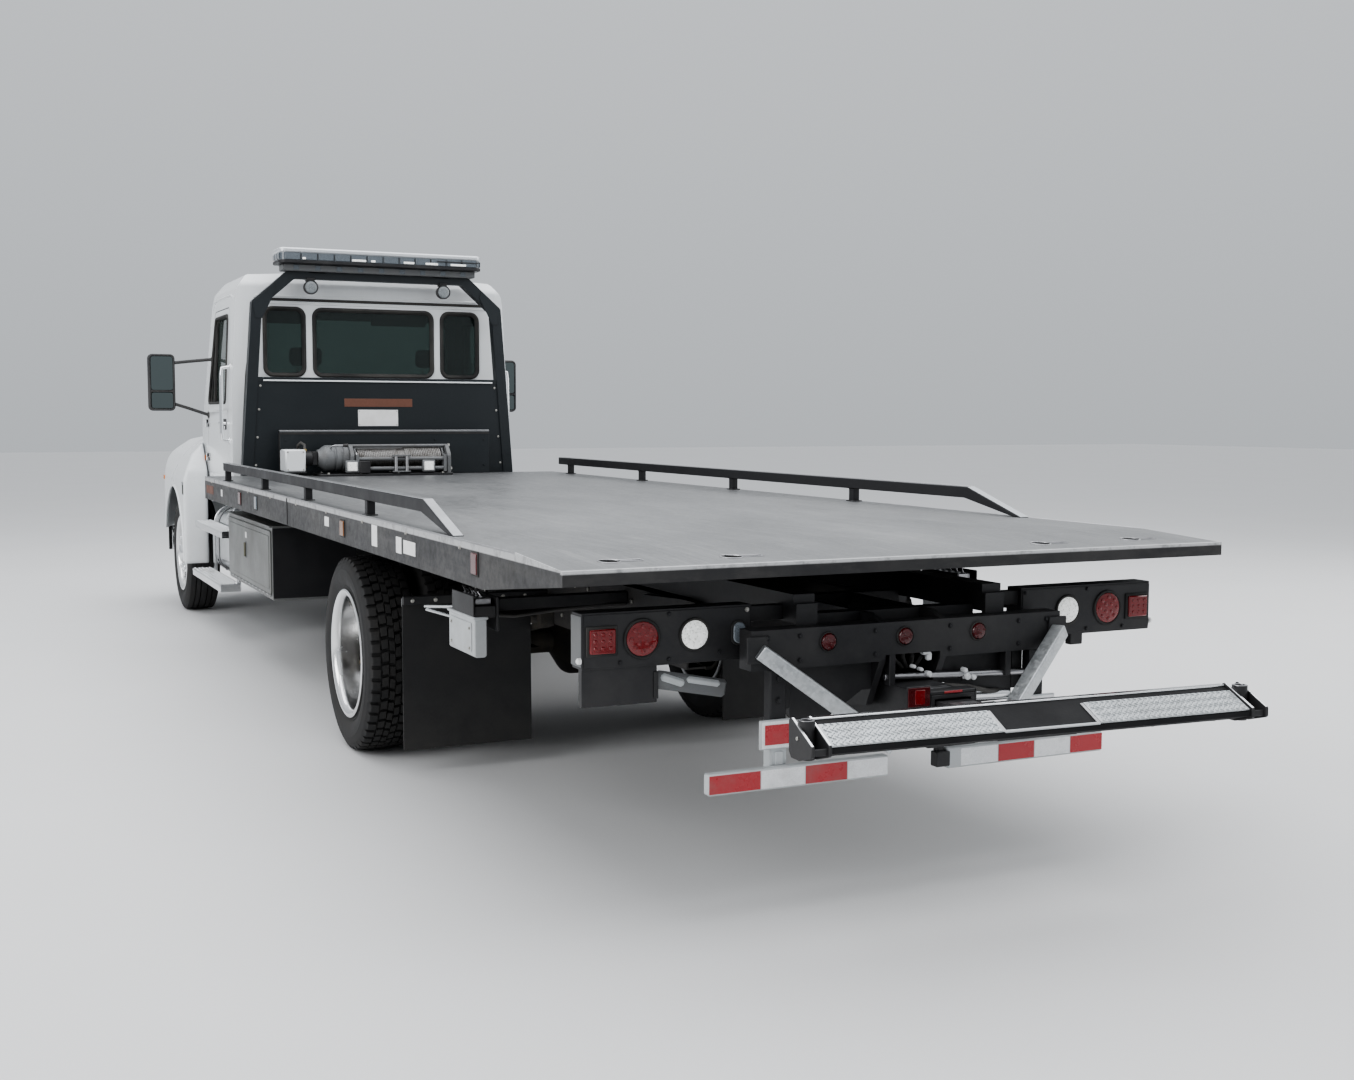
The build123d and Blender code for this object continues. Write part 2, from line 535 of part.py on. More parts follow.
toolbox = bx((700, 1200), (-1850, -325), (510, 955))
toolbox = fillet(toolbox.edges().filter_by(Axis.Y), 12)
for y in (-1700, -900):
    toolbox += bx((RAIL_OUT, 705), (y - 30, y + 30), (700, 760))
write("toolboxes", toolbox, mirrored(toolbox))

flap = bx((500, 1110), (2186, 2196), (110, 800)) + bx((RAIL_OUT, 1110), (2196, 2226), (770, 810))
write("mud_flaps", flap, mirrored(flap))

station = bx((RAIL_OUT, 1065), (3000, 3050), (850, 900)) + bx((1060, 1165), (2950, 3360), (850, 960))
station += bx((1052, 1150), (2990, 3330), (690, 850))
write("control_stations", station, mirrored(station))

# ---------------------------------------------------------------- light pylon
py = PYLON_Y
posts = front(
    both_sides([(1020, 1090, 0), (1020, 1180, 0), (930, 2420, 30), (680, 2640, 30)]), py
) - front(both_sides([(945, 1180, 0), (859, 2383, 30), (623, 2590, 30)]), (py[0] - 10, py[1] + 10))
posts += front(both_sides([(947, 1175, 0), (896, 1880, 0)]), (py[1] - 20, py[1] - 8))
posts += bx((-900, 900), (py[0] + 10, py[1] - 4), (1850, 1882))
posts += pair(bx((RAIL_IN, RAIL_OUT), py, (RAIL_TOP, 1095)))
write("light_pylon", posts)

light_bar = front(rect((-750, 750), (2690, 2800), 18), (-2545, -2255))
light_bar += pair(bx((400, 520), (-2430, -2370), (2640, 2695)))
lamps = []
for x in (-480, 480):
    lamp = rod((x, -2330, 2518), (x, -2425, 2518), 68)
    lamp += bx((x - 18, x + 18), (-2412, -2384), (2570, 2590))
    lamps.append(lamp)
write("pylon_lights", light_bar, *lamps)

# ---------------------------------------------------------------- tilting subframe
sub = [bx((SUB_IN, SUB_OUT), (SUB_FRONT, SUB_REAR), (SUB_LOW, SUB_TOP))]
sub.append(side([(TILT_Y - 72, SUB_LOW + 5), (TILT_Y - 72, 860, 60), (TILT_Y - 10, 802, 60), (TILT_Y + 60, 810, 60),
                 (TILT_Y + 130, SUB_LOW + 5)], (SUB_IN + 12, SUB_OUT - 4)))
# the rams' upper pins on plates outside the rails
sub.append(side([(420, 1000), (420, 960, 20), (460, 925, 20), (545, 925, 20), (590, 960, 20), (590, 1000)],
                (SUB_OUT, SUB_OUT + 14)))
sub.append(rod((SUB_OUT + 5, *RAM_EYE), (RAM_X - 38, *RAM_EYE), 20))
sub = pair(Part() + sub)
sub -= rod((-600, TILT_Y, TILT_Z), (600, TILT_Y, TILT_Z), TILT_SHAFT_R + 0.06)
for y in (-2110, -1150, -150, 900, 1950, 2950, 3935, 4400):
    sub += bx((-SUB_IN, SUB_IN), (y - 30, y + 30), (902, 955))
sub += bx((-45, 45), (-2130, -2090), (955, 960))
write("tilt_frame", sub)

slide_y, SLIDE_Z = (-2130.0, 1360.0), 1000.0
slide_barrel = rod((0, slide_y[0], SLIDE_Z), (0, slide_y[1], SLIDE_Z), 40) - rod(
    (0, slide_y[0] + 40, SLIDE_Z), (0, slide_y[1] + 10, SLIDE_Z), 25)
write("slide_barrel", slide_barrel)
slide_rod = rod((0, -2020, SLIDE_Z), (0, 1425, SLIDE_Z), 24)
write("slide_rod", slide_rod)

web = side(
    [(3905, 955), (3905, 585, 40), (4010, 560, 40), (4480, 640), (4560, 800), (4560, 930), (4480, 955)], (110, 135)
) - bx((100, 140), (3900, 3970), (902, 960)) - bx((100, 140), (4365, 4435), (897, 960))
tail = [web, bx((135, 620), (4480, 4560), (800, 930)), bx((0, 135), (4500, 4560), (820, 930)),
        front([(170, 800), (170, 700, 20), (300, 620, 20), (450, 620, 20), (450, 800)], (4490, 4510)),
        bx((135, 180), (4490, 4510), (700, 802)),
        bx((SUB_IN, SUB_OUT), (SUB_REAR, 4500), (SUB_LOW - 20, 1000)),
        rod((85, BOOM_Y, BOOM_Z), (135, BOOM_Y, BOOM_Z), 45)]
tail = pair(Part() + tail)
tail += rod((-140, BOOM_Y, BOOM_Z), (140, BOOM_Y, BOOM_Z), 25)
write("tail_frame", tail)

light_box = bx((550, 1150), (4350, 4430), (820, 1000)) + bx((SUB_OUT, 560), (4370, 4410), (940, 990))
write("light_boxes", light_box, mirrored(light_box))

tail_bumper = bx((120, 790), (4562, 4602), (420, 490)) + bx((490, 550), (4515, 4562), (440, 800))
write("tail_bumpers", tail_bumper, mirrored(tail_bumper))

STRUT = [(602.0, 4586.0, 868.0), (205.0, 4752.0, 556.0)]
STRUT_SIDE = 50.0
strut_dir = (Vector(*STRUT[1]) - Vector(*STRUT[0]))
strut_plane = Plane(Vector(*STRUT[0]), x_dir=strut_dir.cross(Vector(0, 0, 1)), z_dir=strut_dir)
strut = Part() + extrude(strut_plane * Rectangle(STRUT_SIDE, STRUT_SIDE), amount=strut_dir.length)
strut -= bx((500, 700), (4400, 4560), (700, 1000))
write("lift_struts", strut, mirrored(strut))

# ---------------------------------------------------------------- deck
deck_edge = [
    (DECK_FRONT, CHANNEL_LOW), (3900, CHANNEL_LOW), (DECK_TAIL, 1110), (DECK_TAIL, DECK_TAIL_TOP),
    (DECK_BREAK, DECK_TOP), (DECK_FRONT, DECK_TOP),
]
deck_floor = [
    (DECK_FRONT, DECK_TOP - DECK_PLATE), (DECK_BREAK, DECK_TOP - DECK_PLATE), (DECK_TAIL - 20, 1140),
    (DECK_TAIL - 20, 1112), (DECK_TAIL, 1110), (DECK_TAIL, DECK_TAIL_TOP), (DECK_BREAK, DECK_TOP),
    (DECK_FRONT, DECK_TOP),
]
deck = side(deck_floor, (-DECK_HALF, DECK_HALF))
channel_part = side(deck_edge, (CHANNEL_IN, DECK_HALF))
channel_part -= bx((CHANNEL_IN - 5, DECK_HALF - 8), (DECK_FRONT - 5, 3895), (CHANNEL_LOW + 10, DECK_TOP - DECK_PLATE))
deck += pair(channel_part)
deck += pair(side([(DECK_FRONT, 1036), (3860, 1036), (4400, 1095), (4400, 1165), (DECK_FRONT, 1166)], (SUB_IN, SUB_OUT)))
for k in range(11):
    y = DECK_FRONT + 30 + k * 612
    deck += bx((-DECK_HALF + 4, DECK_HALF - 4), (y - 25, y + 25), (1092, DECK_TOP - 5))
deck += bx((-32, 32), (1425, 1469), (970, 1100))
deck += bx((-CHANNEL_IN, CHANNEL_IN), (DECK_FRONT, DECK_FRONT + 10), (1060, DECK_TOP))
# keyhole slots for chains by the tail: (x of the slot's middle, y)
for x, y in ((620, 4495), (1040, 4485), (-620, 4495), (-1040, 4485)):
    deck -= bx((x - 70, x + 40), (y - 12, y + 12), (1050, 1250))
    deck -= rod((x + 40, y, 1050), (x + 40, y, 1250), 34)
# headboard
hb = DECK_FRONT
deck += bx((-780, 780), (hb, hb + 12), (DECK_TOP - 5, 1480)) + bx((-780, 780), (hb, hb + 45), (1472, 1500))
for x in (-760, -380, 0, 380, 760):
    deck += bx((x - 20, x + 20), (hb, hb + 40), (DECK_TOP - 5, 1480))
write("deck", deck)

# rails of the deck: (side, front end y, post ys, kink y, foot y)
RAILS = [(1, -1500, (-1440, -160, 1010, 2270), 3140, 3545), (-1, -1960, (-1760, -470, 840, 2170), 3140, 3545)]
side_rails = []
for sx, y0, posts_y, kink, foot in RAILS:
    xs = sorted((sx * 1244, sx * 1288))
    rail = side(
        [(y0, 1246), (kink - 8, 1246, 0), (foot - 55, 1180), (foot, 1180), (kink + 14, 1296, 0), (y0, 1296)], xs
    )
    for y in posts_y:
        rail += bx((xs[0] + 4, xs[1] - 4), (y - 22, y + 22), (1180, 1250))
    side_rails.append(rail)
write("side_rails", *side_rails)

WINCH_Y, WINCH_Z = -2040.0, 1305.0
winch = bx((-400, 560), (-2170, -1905), (1180, 1196))
winch += bx((-400, -360), (-2130, -1950), (1180, 1400)) + bx((312, 345), (-2140, -1940), (1180, 1400))
winch += rod((340, WINCH_Y, WINCH_Z), (560, WINCH_Y, WINCH_Z), 92)
winch += bx((-400, 345), (-2155, -2125), (1340, 1385))
winch -= rod((-420, WINCH_Y, WINCH_Z), (346, WINCH_Y, WINCH_Z), 22.06)
write("winch", winch)
drum = rod((-400, WINCH_Y, WINCH_Z), (340, WINCH_Y, WINCH_Z), 22) + rod((-340, WINCH_Y, WINCH_Z), (290, WINCH_Y, WINCH_Z), 62)
for x0, x1 in ((-352, -340), (290, 304)):
    drum += rod((x0, WINCH_Y, WINCH_Z), (x1, WINCH_Y, WINCH_Z), 78)
write("winch_drum", drum)

# ---------------------------------------------------------------- wheel lift
boom = bx((-85, 85), (3915, 4790), (560, 720)) - bx((-70, 70), (3990, 4800), (575, 705))
boom = boom - rod((-200, BOOM_Y, BOOM_Z), (200, BOOM_Y, BOOM_Z), 25.06)
boom -= pair(rod((80, BOOM_Y, BOOM_Z), (90, BOOM_Y, BOOM_Z), 50))
write("lift_boom", boom)

# square tube with its underside swept up, and a flat head that carries the swivel pin
extension = side([(4000, 581), (4870, 581), (5012, 630), (5012, 699), (4000, 699)], (-64, 64))
extension += bx((-54, 54), (4930, SWIVEL_Y), (HEAD_LOW, HEAD_TOP))
extension += rod((0, SWIVEL_Y, HEAD_LOW), (0, SWIVEL_Y, HEAD_TOP), 70) + rod((0, SWIVEL_Y, 652), (0, SWIVEL_Y, 744), 25)
write("lift_extension", extension)

# sloped bar, a two-plate yoke round the head, ears and pin bosses at its ends
bar = side([(5155, 662), (5155, 740, 6), (5176, 762, 6), (BAR_REAR, 700, 4), (BAR_REAR, 687, 3), (5225, 663, 4)], (-BAR_END, BAR_END))
for low, top in ((660, 674), (722, 736)):
    bar += rod((0, SWIVEL_Y, low), (0, SWIVEL_Y, top), 78) + bx((-140, 140), (SWIVEL_Y, 5225), (low, top))
bar -= rod((0, SWIVEL_Y, 674), (0, SWIVEL_Y, 722), 88)
ears = [side([(5166, 676), (5166, 764, 6), (5180, 772, 6), (5308, 710, 4), (5308, 682, 4), (5230, 658, 4), (5180, 658, 4)], xs)
        for xs in ((736, 746), (BAR_END - 10, BAR_END))]
bar += pair(Part() + [*ears, rod((ARM_PIN[0], ARM_PIN[1], 658), (ARM_PIN[0], ARM_PIN[1], 768), 24)])
bar -= rod((0, SWIVEL_Y, 650), (0, SWIVEL_Y, 820), 25.06)
bar -= pair(rod((ARM_PIN[0], ARM_PIN[1], 600), (ARM_PIN[0], ARM_PIN[1], 820), 16))
# it stands swivelled by a few degrees, its right end further back
bar = Pos(0, SWIVEL_Y, 0) * Rot(0, 0, -BAR_YAW) * Pos(0, -SWIVEL_Y, 0) * bar
write("lift_crossbar", bar)

# ---------------------------------------------------------------- lift rams
base, eye = Vector(0, *RAM_BASE), Vector(0, *RAM_EYE)
along = (eye - base).normalized()
length = (eye - base).length


def on_ram(distance, x):
    at = base + along * distance
    return (x, at.Y, at.Z)


barrels, rods = [], []
for x in (-RAM_X, RAM_X):
    part = rod(on_ram(30, x), on_ram(900, x), 52) - rod(on_ram(90, x), on_ram(910, x), 31)
    part += rod((x - 22, *RAM_BASE), (x + 22, *RAM_BASE), 48)
    part -= rod((x - 100, *RAM_BASE), (x + 100, *RAM_BASE), 20.06)
    barrels.append(part)
    rods.append(rod(on_ram(240, x), on_ram(length - 20, x), 30) + rod((x - 22, *RAM_EYE), (x + 22, *RAM_EYE), 44))
write("ram_barrels", *barrels)
write("ram_rods", *rods)
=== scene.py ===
import math
import random

import bmesh
import bpy
import numpy as np
from mathutils import Matrix, Vector


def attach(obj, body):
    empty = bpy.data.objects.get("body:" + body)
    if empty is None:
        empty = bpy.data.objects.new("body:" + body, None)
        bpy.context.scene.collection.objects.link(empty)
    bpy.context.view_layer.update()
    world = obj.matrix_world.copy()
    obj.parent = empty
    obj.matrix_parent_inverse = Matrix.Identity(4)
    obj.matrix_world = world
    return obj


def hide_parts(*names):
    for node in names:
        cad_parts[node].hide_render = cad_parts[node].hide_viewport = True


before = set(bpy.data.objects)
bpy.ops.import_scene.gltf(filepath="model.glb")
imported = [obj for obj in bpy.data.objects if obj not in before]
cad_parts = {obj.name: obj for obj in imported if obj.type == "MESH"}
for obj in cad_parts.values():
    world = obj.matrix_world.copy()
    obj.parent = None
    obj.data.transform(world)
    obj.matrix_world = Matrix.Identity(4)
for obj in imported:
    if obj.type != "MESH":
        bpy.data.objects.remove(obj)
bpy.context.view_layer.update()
random.seed(7)
rng = np.random.default_rng(7)

# ------------------------------------------------------------------ camera
YAW, PITCH, ROLL = math.radians(25.591), math.radians(4.705), math.radians(0.143)
ahead = Vector((-math.sin(YAW) * math.cos(PITCH), -math.cos(YAW) * math.cos(PITCH), -math.sin(PITCH)))
level = ahead.cross(Vector((0, 0, 1))).normalized()
upward = level.cross(ahead)
cam_x = math.cos(ROLL) * level + math.sin(ROLL) * upward
cam_y = -math.sin(ROLL) * level + math.cos(ROLL) * upward
cam_data = bpy.data.cameras.new("camera")
cam = bpy.data.objects.new("camera", cam_data)
bpy.context.scene.collection.objects.link(cam)
cam.matrix_world = Matrix((
    (cam_x.x, cam_y.x, -ahead.x, 2.907),
    (cam_x.y, cam_y.y, -ahead.y, 8.785),
    (cam_x.z, cam_y.z, -ahead.z, 1.617),
    (0, 0, 0, 1),
))
cam_data.sensor_width = 36.0
cam_data.lens = 36.0 * 1518.127 / 1354.0
cam_data.clip_start, cam_data.clip_end = 0.05, 300.0
bpy.context.scene.camera = cam


# ------------------------------------------------------------------ node helpers
def new_material(name):
    m = bpy.data.materials.new(name)
    m.use_nodes = True
    nt = m.node_tree
    shader = nt.nodes["Principled BSDF"]
    coord = nt.nodes.new("ShaderNodeTexCoord")
    return m, nt, shader, coord.outputs["Object"]


def link(nt, a, b):
    nt.links.new(a, b)


def mapped(nt, vec, scale=(1, 1, 1), rot=(0, 0, 0)):
    n = nt.nodes.new("ShaderNodeMapping")
    n.inputs["Scale"].default_value = scale
    n.inputs["Rotation"].default_value = rot
    link(nt, vec, n.inputs["Vector"])
    return n.outputs["Vector"]


def noise(nt, vec, scale, detail=4.0, rough=0.55, distortion=0.0):
    n = nt.nodes.new("ShaderNodeTexNoise")
    n.inputs["Scale"].default_value = scale
    n.inputs["Detail"].default_value = detail
    n.inputs["Roughness"].default_value = rough
    n.inputs["Distortion"].default_value = distortion
    link(nt, vec, n.inputs["Vector"])
    return n.outputs["Fac"]


def voronoi(nt, vec, scale, feature="F1", out="Color"):
    n = nt.nodes.new("ShaderNodeTexVoronoi")
    n.feature = feature
    n.inputs["Scale"].default_value = scale
    link(nt, vec, n.inputs["Vector"])
    return n.outputs[out]


def ramp(nt, fac, stops):
    n = nt.nodes.new("ShaderNodeValToRGB")
    el = n.color_ramp.elements
    while len(el) > 1:
        el.remove(el[-1])
    for i, (p, c) in enumerate(stops):
        e = el[0] if i == 0 else el.new(p)
        e.position = p
        e.color = (c, c, c, 1) if isinstance(c, (int, float)) else (*c[:3], 1)
    link(nt, fac, n.inputs["Fac"])
    return n.outputs["Color"]


def remap(nt, fac, a, b, c, d):
    n = nt.nodes.new("ShaderNodeMapRange")
    for k, v in zip(("From Min", "From Max", "To Min", "To Max"), (a, b, c, d)):
        n.inputs[k].default_value = v
    link(nt, fac, n.inputs["Value"])
    return n.outputs["Result"]


def math_node(nt, op, a, b=None, clamp=False):
    n = nt.nodes.new("ShaderNodeMath")
    n.operation = op
    n.use_clamp = clamp
    for i, v in enumerate((a, b)):
        if v is None:
            continue
        if isinstance(v, (int, float)):
            n.inputs[i].default_value = v
        else:
            link(nt, v, n.inputs[i])
    return n.outputs["Value"]


def mix(nt, fac, a, b, kind="MIX"):
    n = nt.nodes.new("ShaderNodeMix")
    n.data_type = "RGBA"
    n.blend_type = kind
    for key, v in (("Factor", fac), ("A", a), ("B", b)):
        socket = [s for s in n.inputs if s.name == key and s.type == ("VALUE" if key == "Factor" else "RGBA")][0]
        if isinstance(v, (int, float)):
            socket.default_value = v
        elif isinstance(v, (tuple, list)):
            socket.default_value = (*v[:3], 1)
        else:
            link(nt, v, socket)
    return [s for s in n.outputs if s.type == "RGBA"][0]


def xyz(nt, vec):
    n = nt.nodes.new("ShaderNodeSeparateXYZ")
    link(nt, vec, n.inputs["Vector"])
    return n.outputs["X"], n.outputs["Y"], n.outputs["Z"]


def bump(nt, shader, height, distance, strength=1.0):
    n = nt.nodes.new("ShaderNodeBump")
    n.inputs["Distance"].default_value = distance
    n.inputs["Strength"].default_value = strength
    link(nt, height, n.inputs["Height"])
    link(nt, n.outputs["Normal"], shader.inputs["Normal"])
    return n


def painted(name, color, rough=0.35, metallic=0.0, mottle=0.10, dust=0.25, dust_color=(0.33, 0.31, 0.28), dust_scale=2.5,
            low=None, coat=0.0, orange_peel=0.0006, grain=60.0, streak=0.0):
    """Paint or plastic with patchy dust, an uneven sheen and a slight orange peel. low = (height, depth, amount) adds
    road dirt below that height."""
    m, nt, sh, co = new_material(name)
    big = noise(nt, co, dust_scale, 6, 0.6)
    fine = noise(nt, co, grain, 3, 0.6)
    dark = tuple(c * (1 - mottle) for c in color)
    light = tuple(min(1.0, c * (1 + mottle) + 0.004) for c in color)
    base = mix(nt, fine, dark, light)
    amount = remap(nt, big, 0.42, 0.75, 0.0, dust)
    if low:
        z = xyz(nt, co)[2]
        under = remap(nt, z, low[0], low[0] - low[1], 0.0, low[2])
        under = math_node(nt, "MULTIPLY", under, remap(nt, noise(nt, co, 9, 5, 0.65), 0.3, 0.7, 0.35, 1.0))
        amount = math_node(nt, "MAXIMUM", amount, under)
    if streak:
        st = noise(nt, mapped(nt, co, (14, 14, 0.8)), 2.0, 5, 0.6)
        amount = math_node(nt, "ADD", amount, remap(nt, st, 0.55, 0.8, 0.0, streak), clamp=True)
    link(nt, mix(nt, amount, base, dust_color), sh.inputs["Base Color"])
    r = remap(nt, big, 0.3, 0.75, rough, min(1.0, rough + 0.22))
    r2 = math_node(nt, "MAXIMUM", r, remap(nt, amount, 0.0, 1.0, rough, 0.9))
    link(nt, r2, sh.inputs["Roughness"])
    sh.inputs["Metallic"].default_value = metallic
    if coat:
        sh.inputs["Coat Weight"].default_value = coat
        sh.inputs["Coat Roughness"].default_value = 0.08
    if orange_peel:
        bump(nt, sh, fine, orange_peel, 0.6)
    return m


def metal(name, color, rough=0.25, brushed=None, patch=0.12, dust=0.12, bump_d=0.0004):
    """Bare metal. brushed = scale triple of its brush lines."""
    m, nt, sh, co = new_material(name)
    sh.inputs["Metallic"].default_value = 1.0
    big = noise(nt, co, 3.0, 6, 0.6)
    lines = noise(nt, mapped(nt, co, brushed) if brushed else co, 12.0 if brushed else 40.0, 4, 0.6)
    base = mix(nt, lines, tuple(c * (1 - patch) for c in color), tuple(min(1, c * (1 + patch)) for c in color))
    grime = remap(nt, big, 0.5, 0.8, 0.0, dust)
    link(nt, mix(nt, grime, base, (0.22, 0.21, 0.19)), sh.inputs["Base Color"])
    link(nt, math_node(nt, "ADD", remap(nt, lines, 0.3, 0.7, rough * 0.75, rough * 1.35), remap(nt, big, 0.4, 0.8, 0, 0.15)), sh.inputs["Roughness"])
    bump(nt, sh, lines, bump_d, 0.5)
    return m


def lens(name, color, rough=0.08, emission=0.0, transmission=0.0, ribs=260.0, depth=0.0006):
    """Moulded lamp lens with fine prism ribs under a clear face."""
    m, nt, sh, co = new_material(name)
    cells = voronoi(nt, co, ribs, "F1", "Distance")
    base = mix(nt, remap(nt, cells, 0.0, 0.6, 0.0, 1.0), tuple(c * 0.55 for c in color), color)
    link(nt, base, sh.inputs["Base Color"])
    sh.inputs["Roughness"].default_value = rough
    sh.inputs["Transmission Weight"].default_value = transmission
    sh.inputs["Coat Weight"].default_value = 0.5
    sh.inputs["Coat Roughness"].default_value = 0.04
    if emission:
        link(nt, base, sh.inputs["Emission Color"])
        sh.inputs["Emission Strength"].default_value = emission
    bump(nt, sh, cells, depth, 0.5)
    return m


def glass_pane(name, color, density_note=0.0, rough=0.02):
    m, nt, sh, co = new_material(name)
    film = noise(nt, co, 2.2, 5, 0.6)
    link(nt, mix(nt, remap(nt, film, 0.35, 0.75, 0.0, 0.35), color, tuple(c * 0.7 for c in color)), sh.inputs["Base Color"])
    link(nt, remap(nt, film, 0.35, 0.8, rough, rough + 0.05), sh.inputs["Roughness"])
    sh.inputs["Transmission Weight"].default_value = 0.9
    sh.inputs["IOR"].default_value = 1.45
    return m


def deck_coat(name):
    """Deck of the bed: scuffed grey plate on top with a painted sheen that brightens it towards the tail, black paint
    elsewhere, bright metal on its worn outer edges.
    """
    m, nt, sh, co = new_material(name)
    n = nt.nodes.new("ShaderNodeTexCoord")
    nz = xyz(nt, n.outputs["Normal"])[2]
    x, y, z = xyz(nt, co)
    ax = math_node(nt, "ABSOLUTE", x)
    top = math_node(nt, "MULTIPLY", remap(nt, nz, 0.55, 0.75, 0.0, 1.0), remap(nt, z, 1.135, 1.140, 0.0, 1.0))
    big = noise(nt, mapped(nt, co, (1.0, 0.35, 1.0)), 2.2, 6, 0.6)
    drag = noise(nt, mapped(nt, co, (30, 0.8, 1)), 3.0, 5, 0.7)
    fine = noise(nt, co, 160, 4, 0.7)
    spots = noise(nt, co, 26, 6, 0.75)
    plate = mix(nt, remap(nt, big, 0.3, 0.7, 0, 1), (0.150, 0.153, 0.156), (0.245, 0.248, 0.250))
    # painted sheen: the plate is darker towards the headboard and brighter towards the tail, where it would reflect the
    # sky
    plate = mix(nt, remap(nt, y, -2.2, 4.2, 0.75, 0.0), plate, (0.095, 0.098, 0.102), "MIX")
    plate = mix(nt, remap(nt, drag, 0.5, 0.72, 0, 0.45), plate, (0.36, 0.36, 0.355))
    plate = mix(nt, remap(nt, spots, 0.60, 0.72, 0, 0.5), plate, (0.42, 0.42, 0.41))
    plate = mix(nt, remap(nt, spots, 0.40, 0.28, 0, 0.5), plate, (0.07, 0.066, 0.062))
    plate = mix(nt, remap(nt, fine, 0.45, 0.7, 0, 0.35), plate, (0.30, 0.30, 0.30))
    paint = mix(nt, remap(nt, noise(nt, co, 3.5, 6, 0.6), 0.36, 0.72, 0.1, 0.75), (0.013, 0.013, 0.015), (0.048, 0.046, 0.043))
    paint = mix(nt, remap(nt, noise(nt, mapped(nt, co, (1, 0.12, 3.0)), 9, 4, 0.6), 0.5, 0.75, 0, 0.35), paint, (0.085, 0.080, 0.074))
    color = mix(nt, top, paint, plate)
    edge = math_node(nt, "MULTIPLY", remap(nt, ax, 1.2905, 1.2925, 0, 1), remap(nt, z, 1.150, 1.154, 0, 1))
    tail = math_node(nt, "MULTIPLY", remap(nt, y, 4.618, 4.628, 0, 1), remap(nt, z, 1.145, 1.150, 0, 1))
    worn = math_node(nt, "MAXIMUM", edge, tail)
    worn = math_node(nt, "MULTIPLY", worn, remap(nt, noise(nt, co, 14, 5, 0.7), 0.30, 0.5, 0.45, 1.0))
    link(nt, mix(nt, worn, color, (0.62, 0.62, 0.62)), sh.inputs["Base Color"])
    link(nt, math_node(nt, "MAXIMUM", math_node(nt, "MULTIPLY", worn, 0.8), math_node(nt, "MULTIPLY", top, 0.35)), sh.inputs["Metallic"])
    rough_v = remap(nt, big, 0.3, 0.7, 0.34, 0.52)
    link(nt, math_node(nt, "ADD", rough_v, remap(nt, spots, 0.4, 0.7, -0.05, 0.12)), sh.inputs["Roughness"])
    height = math_node(nt, "ADD", math_node(nt, "MULTIPLY", fine, 0.5), spots)
    bump(nt, sh, height, 0.0009, 0.45)
    return m


def cab_coat(name, centre, outside=(0.80, 0.82, 0.83), inside=(0.045, 0.046, 0.048)):
    """Gloss white outside and grained dark trim inside, told apart by which way a face looks from the cab's middle."""
    m, nt, sh, co = new_material(name)
    n = nt.nodes.new("ShaderNodeTexCoord")
    away = nt.nodes.new("ShaderNodeVectorMath")
    away.operation = "SUBTRACT"
    link(nt, co, away.inputs[0])
    away.inputs[1].default_value = centre
    dot = nt.nodes.new("ShaderNodeVectorMath")
    dot.operation = "DOT_PRODUCT"
    link(nt, away.outputs["Vector"], dot.inputs[0])
    link(nt, n.outputs["Normal"], dot.inputs[1])
    inner = remap(nt, dot.outputs["Value"], 0.0, -0.02, 0.0, 1.0)
    fine = noise(nt, co, 240, 3, 0.6)
    big = noise(nt, co, 2.6, 6, 0.6)
    z = xyz(nt, co)[2]
    streak = noise(nt, mapped(nt, co, (14, 14, 0.9)), 2.0, 5, 0.6)
    dirt = math_node(nt, "ADD", remap(nt, big, 0.45, 0.8, 0.0, 0.12), remap(nt, streak, 0.55, 0.8, 0.0, 0.10))
    dirt = math_node(nt, "ADD", dirt, math_node(nt, "MULTIPLY", remap(nt, z, 1.35, 0.9, 0.0, 0.30), remap(nt, big, 0.3, 0.7, 0.4, 1)), clamp=True)
    paint = mix(nt, dirt, outside, (0.50, 0.49, 0.465))
    trim = mix(nt, fine, tuple(c * 0.8 for c in inside), tuple(c * 1.3 for c in inside))
    link(nt, mix(nt, inner, paint, trim), sh.inputs["Base Color"])
    link(nt, math_node(nt, "ADD", math_node(nt, "MULTIPLY", inner, 0.35), remap(nt, dirt, 0, 0.5, 0.20, 0.45)), sh.inputs["Roughness"])
    sh.inputs["Coat Weight"].default_value = 0.35
    sh.inputs["Coat Roughness"].default_value = 0.06
    bump(nt, sh, math_node(nt, "MULTIPLY", fine, inner), 0.0006, 0.5)
    return m


def tape(name, color):
    """Retroreflective tape with its honeycomb of fine cells."""
    m, nt, sh, co = new_material(name)
    cells = voronoi(nt, co, 420, "F1", "Distance")
    grime = noise(nt, co, 9, 6, 0.65)
    base = mix(nt, remap(nt, cells, 0.15, 0.6, 0, 0.6), color, tuple(c * 0.72 for c in color))
    base = mix(nt, remap(nt, grime, 0.5, 0.8, 0, 0.45), base, (0.20, 0.18, 0.16))
    link(nt, base, sh.inputs["Base Color"])
    link(nt, remap(nt, grime, 0.4, 0.8, 0.22, 0.5), sh.inputs["Roughness"])
    sh.inputs["Coat Weight"].default_value = 0.5
    bump(nt, sh, cells, 0.0002, 0.5)
    return m


def tyre_rubber(name):
    m, nt, sh, co = new_material(name)
    grit = noise(nt, co, 190, 4, 0.65)
    dust = noise(nt, co, 7, 6, 0.65)
    base = mix(nt, grit, (0.014, 0.014, 0.015), (0.025, 0.0245, 0.024))
    base = mix(nt, remap(nt, dust, 0.42, 0.75, 0, 0.45), base, (0.062, 0.057, 0.052))
    link(nt, base, sh.inputs["Base Color"])
    link(nt, remap(nt, dust, 0.3, 0.8, 0.62, 0.9), sh.inputs["Roughness"])
    bump(nt, sh, grit, 0.0008, 0.55)
    return m


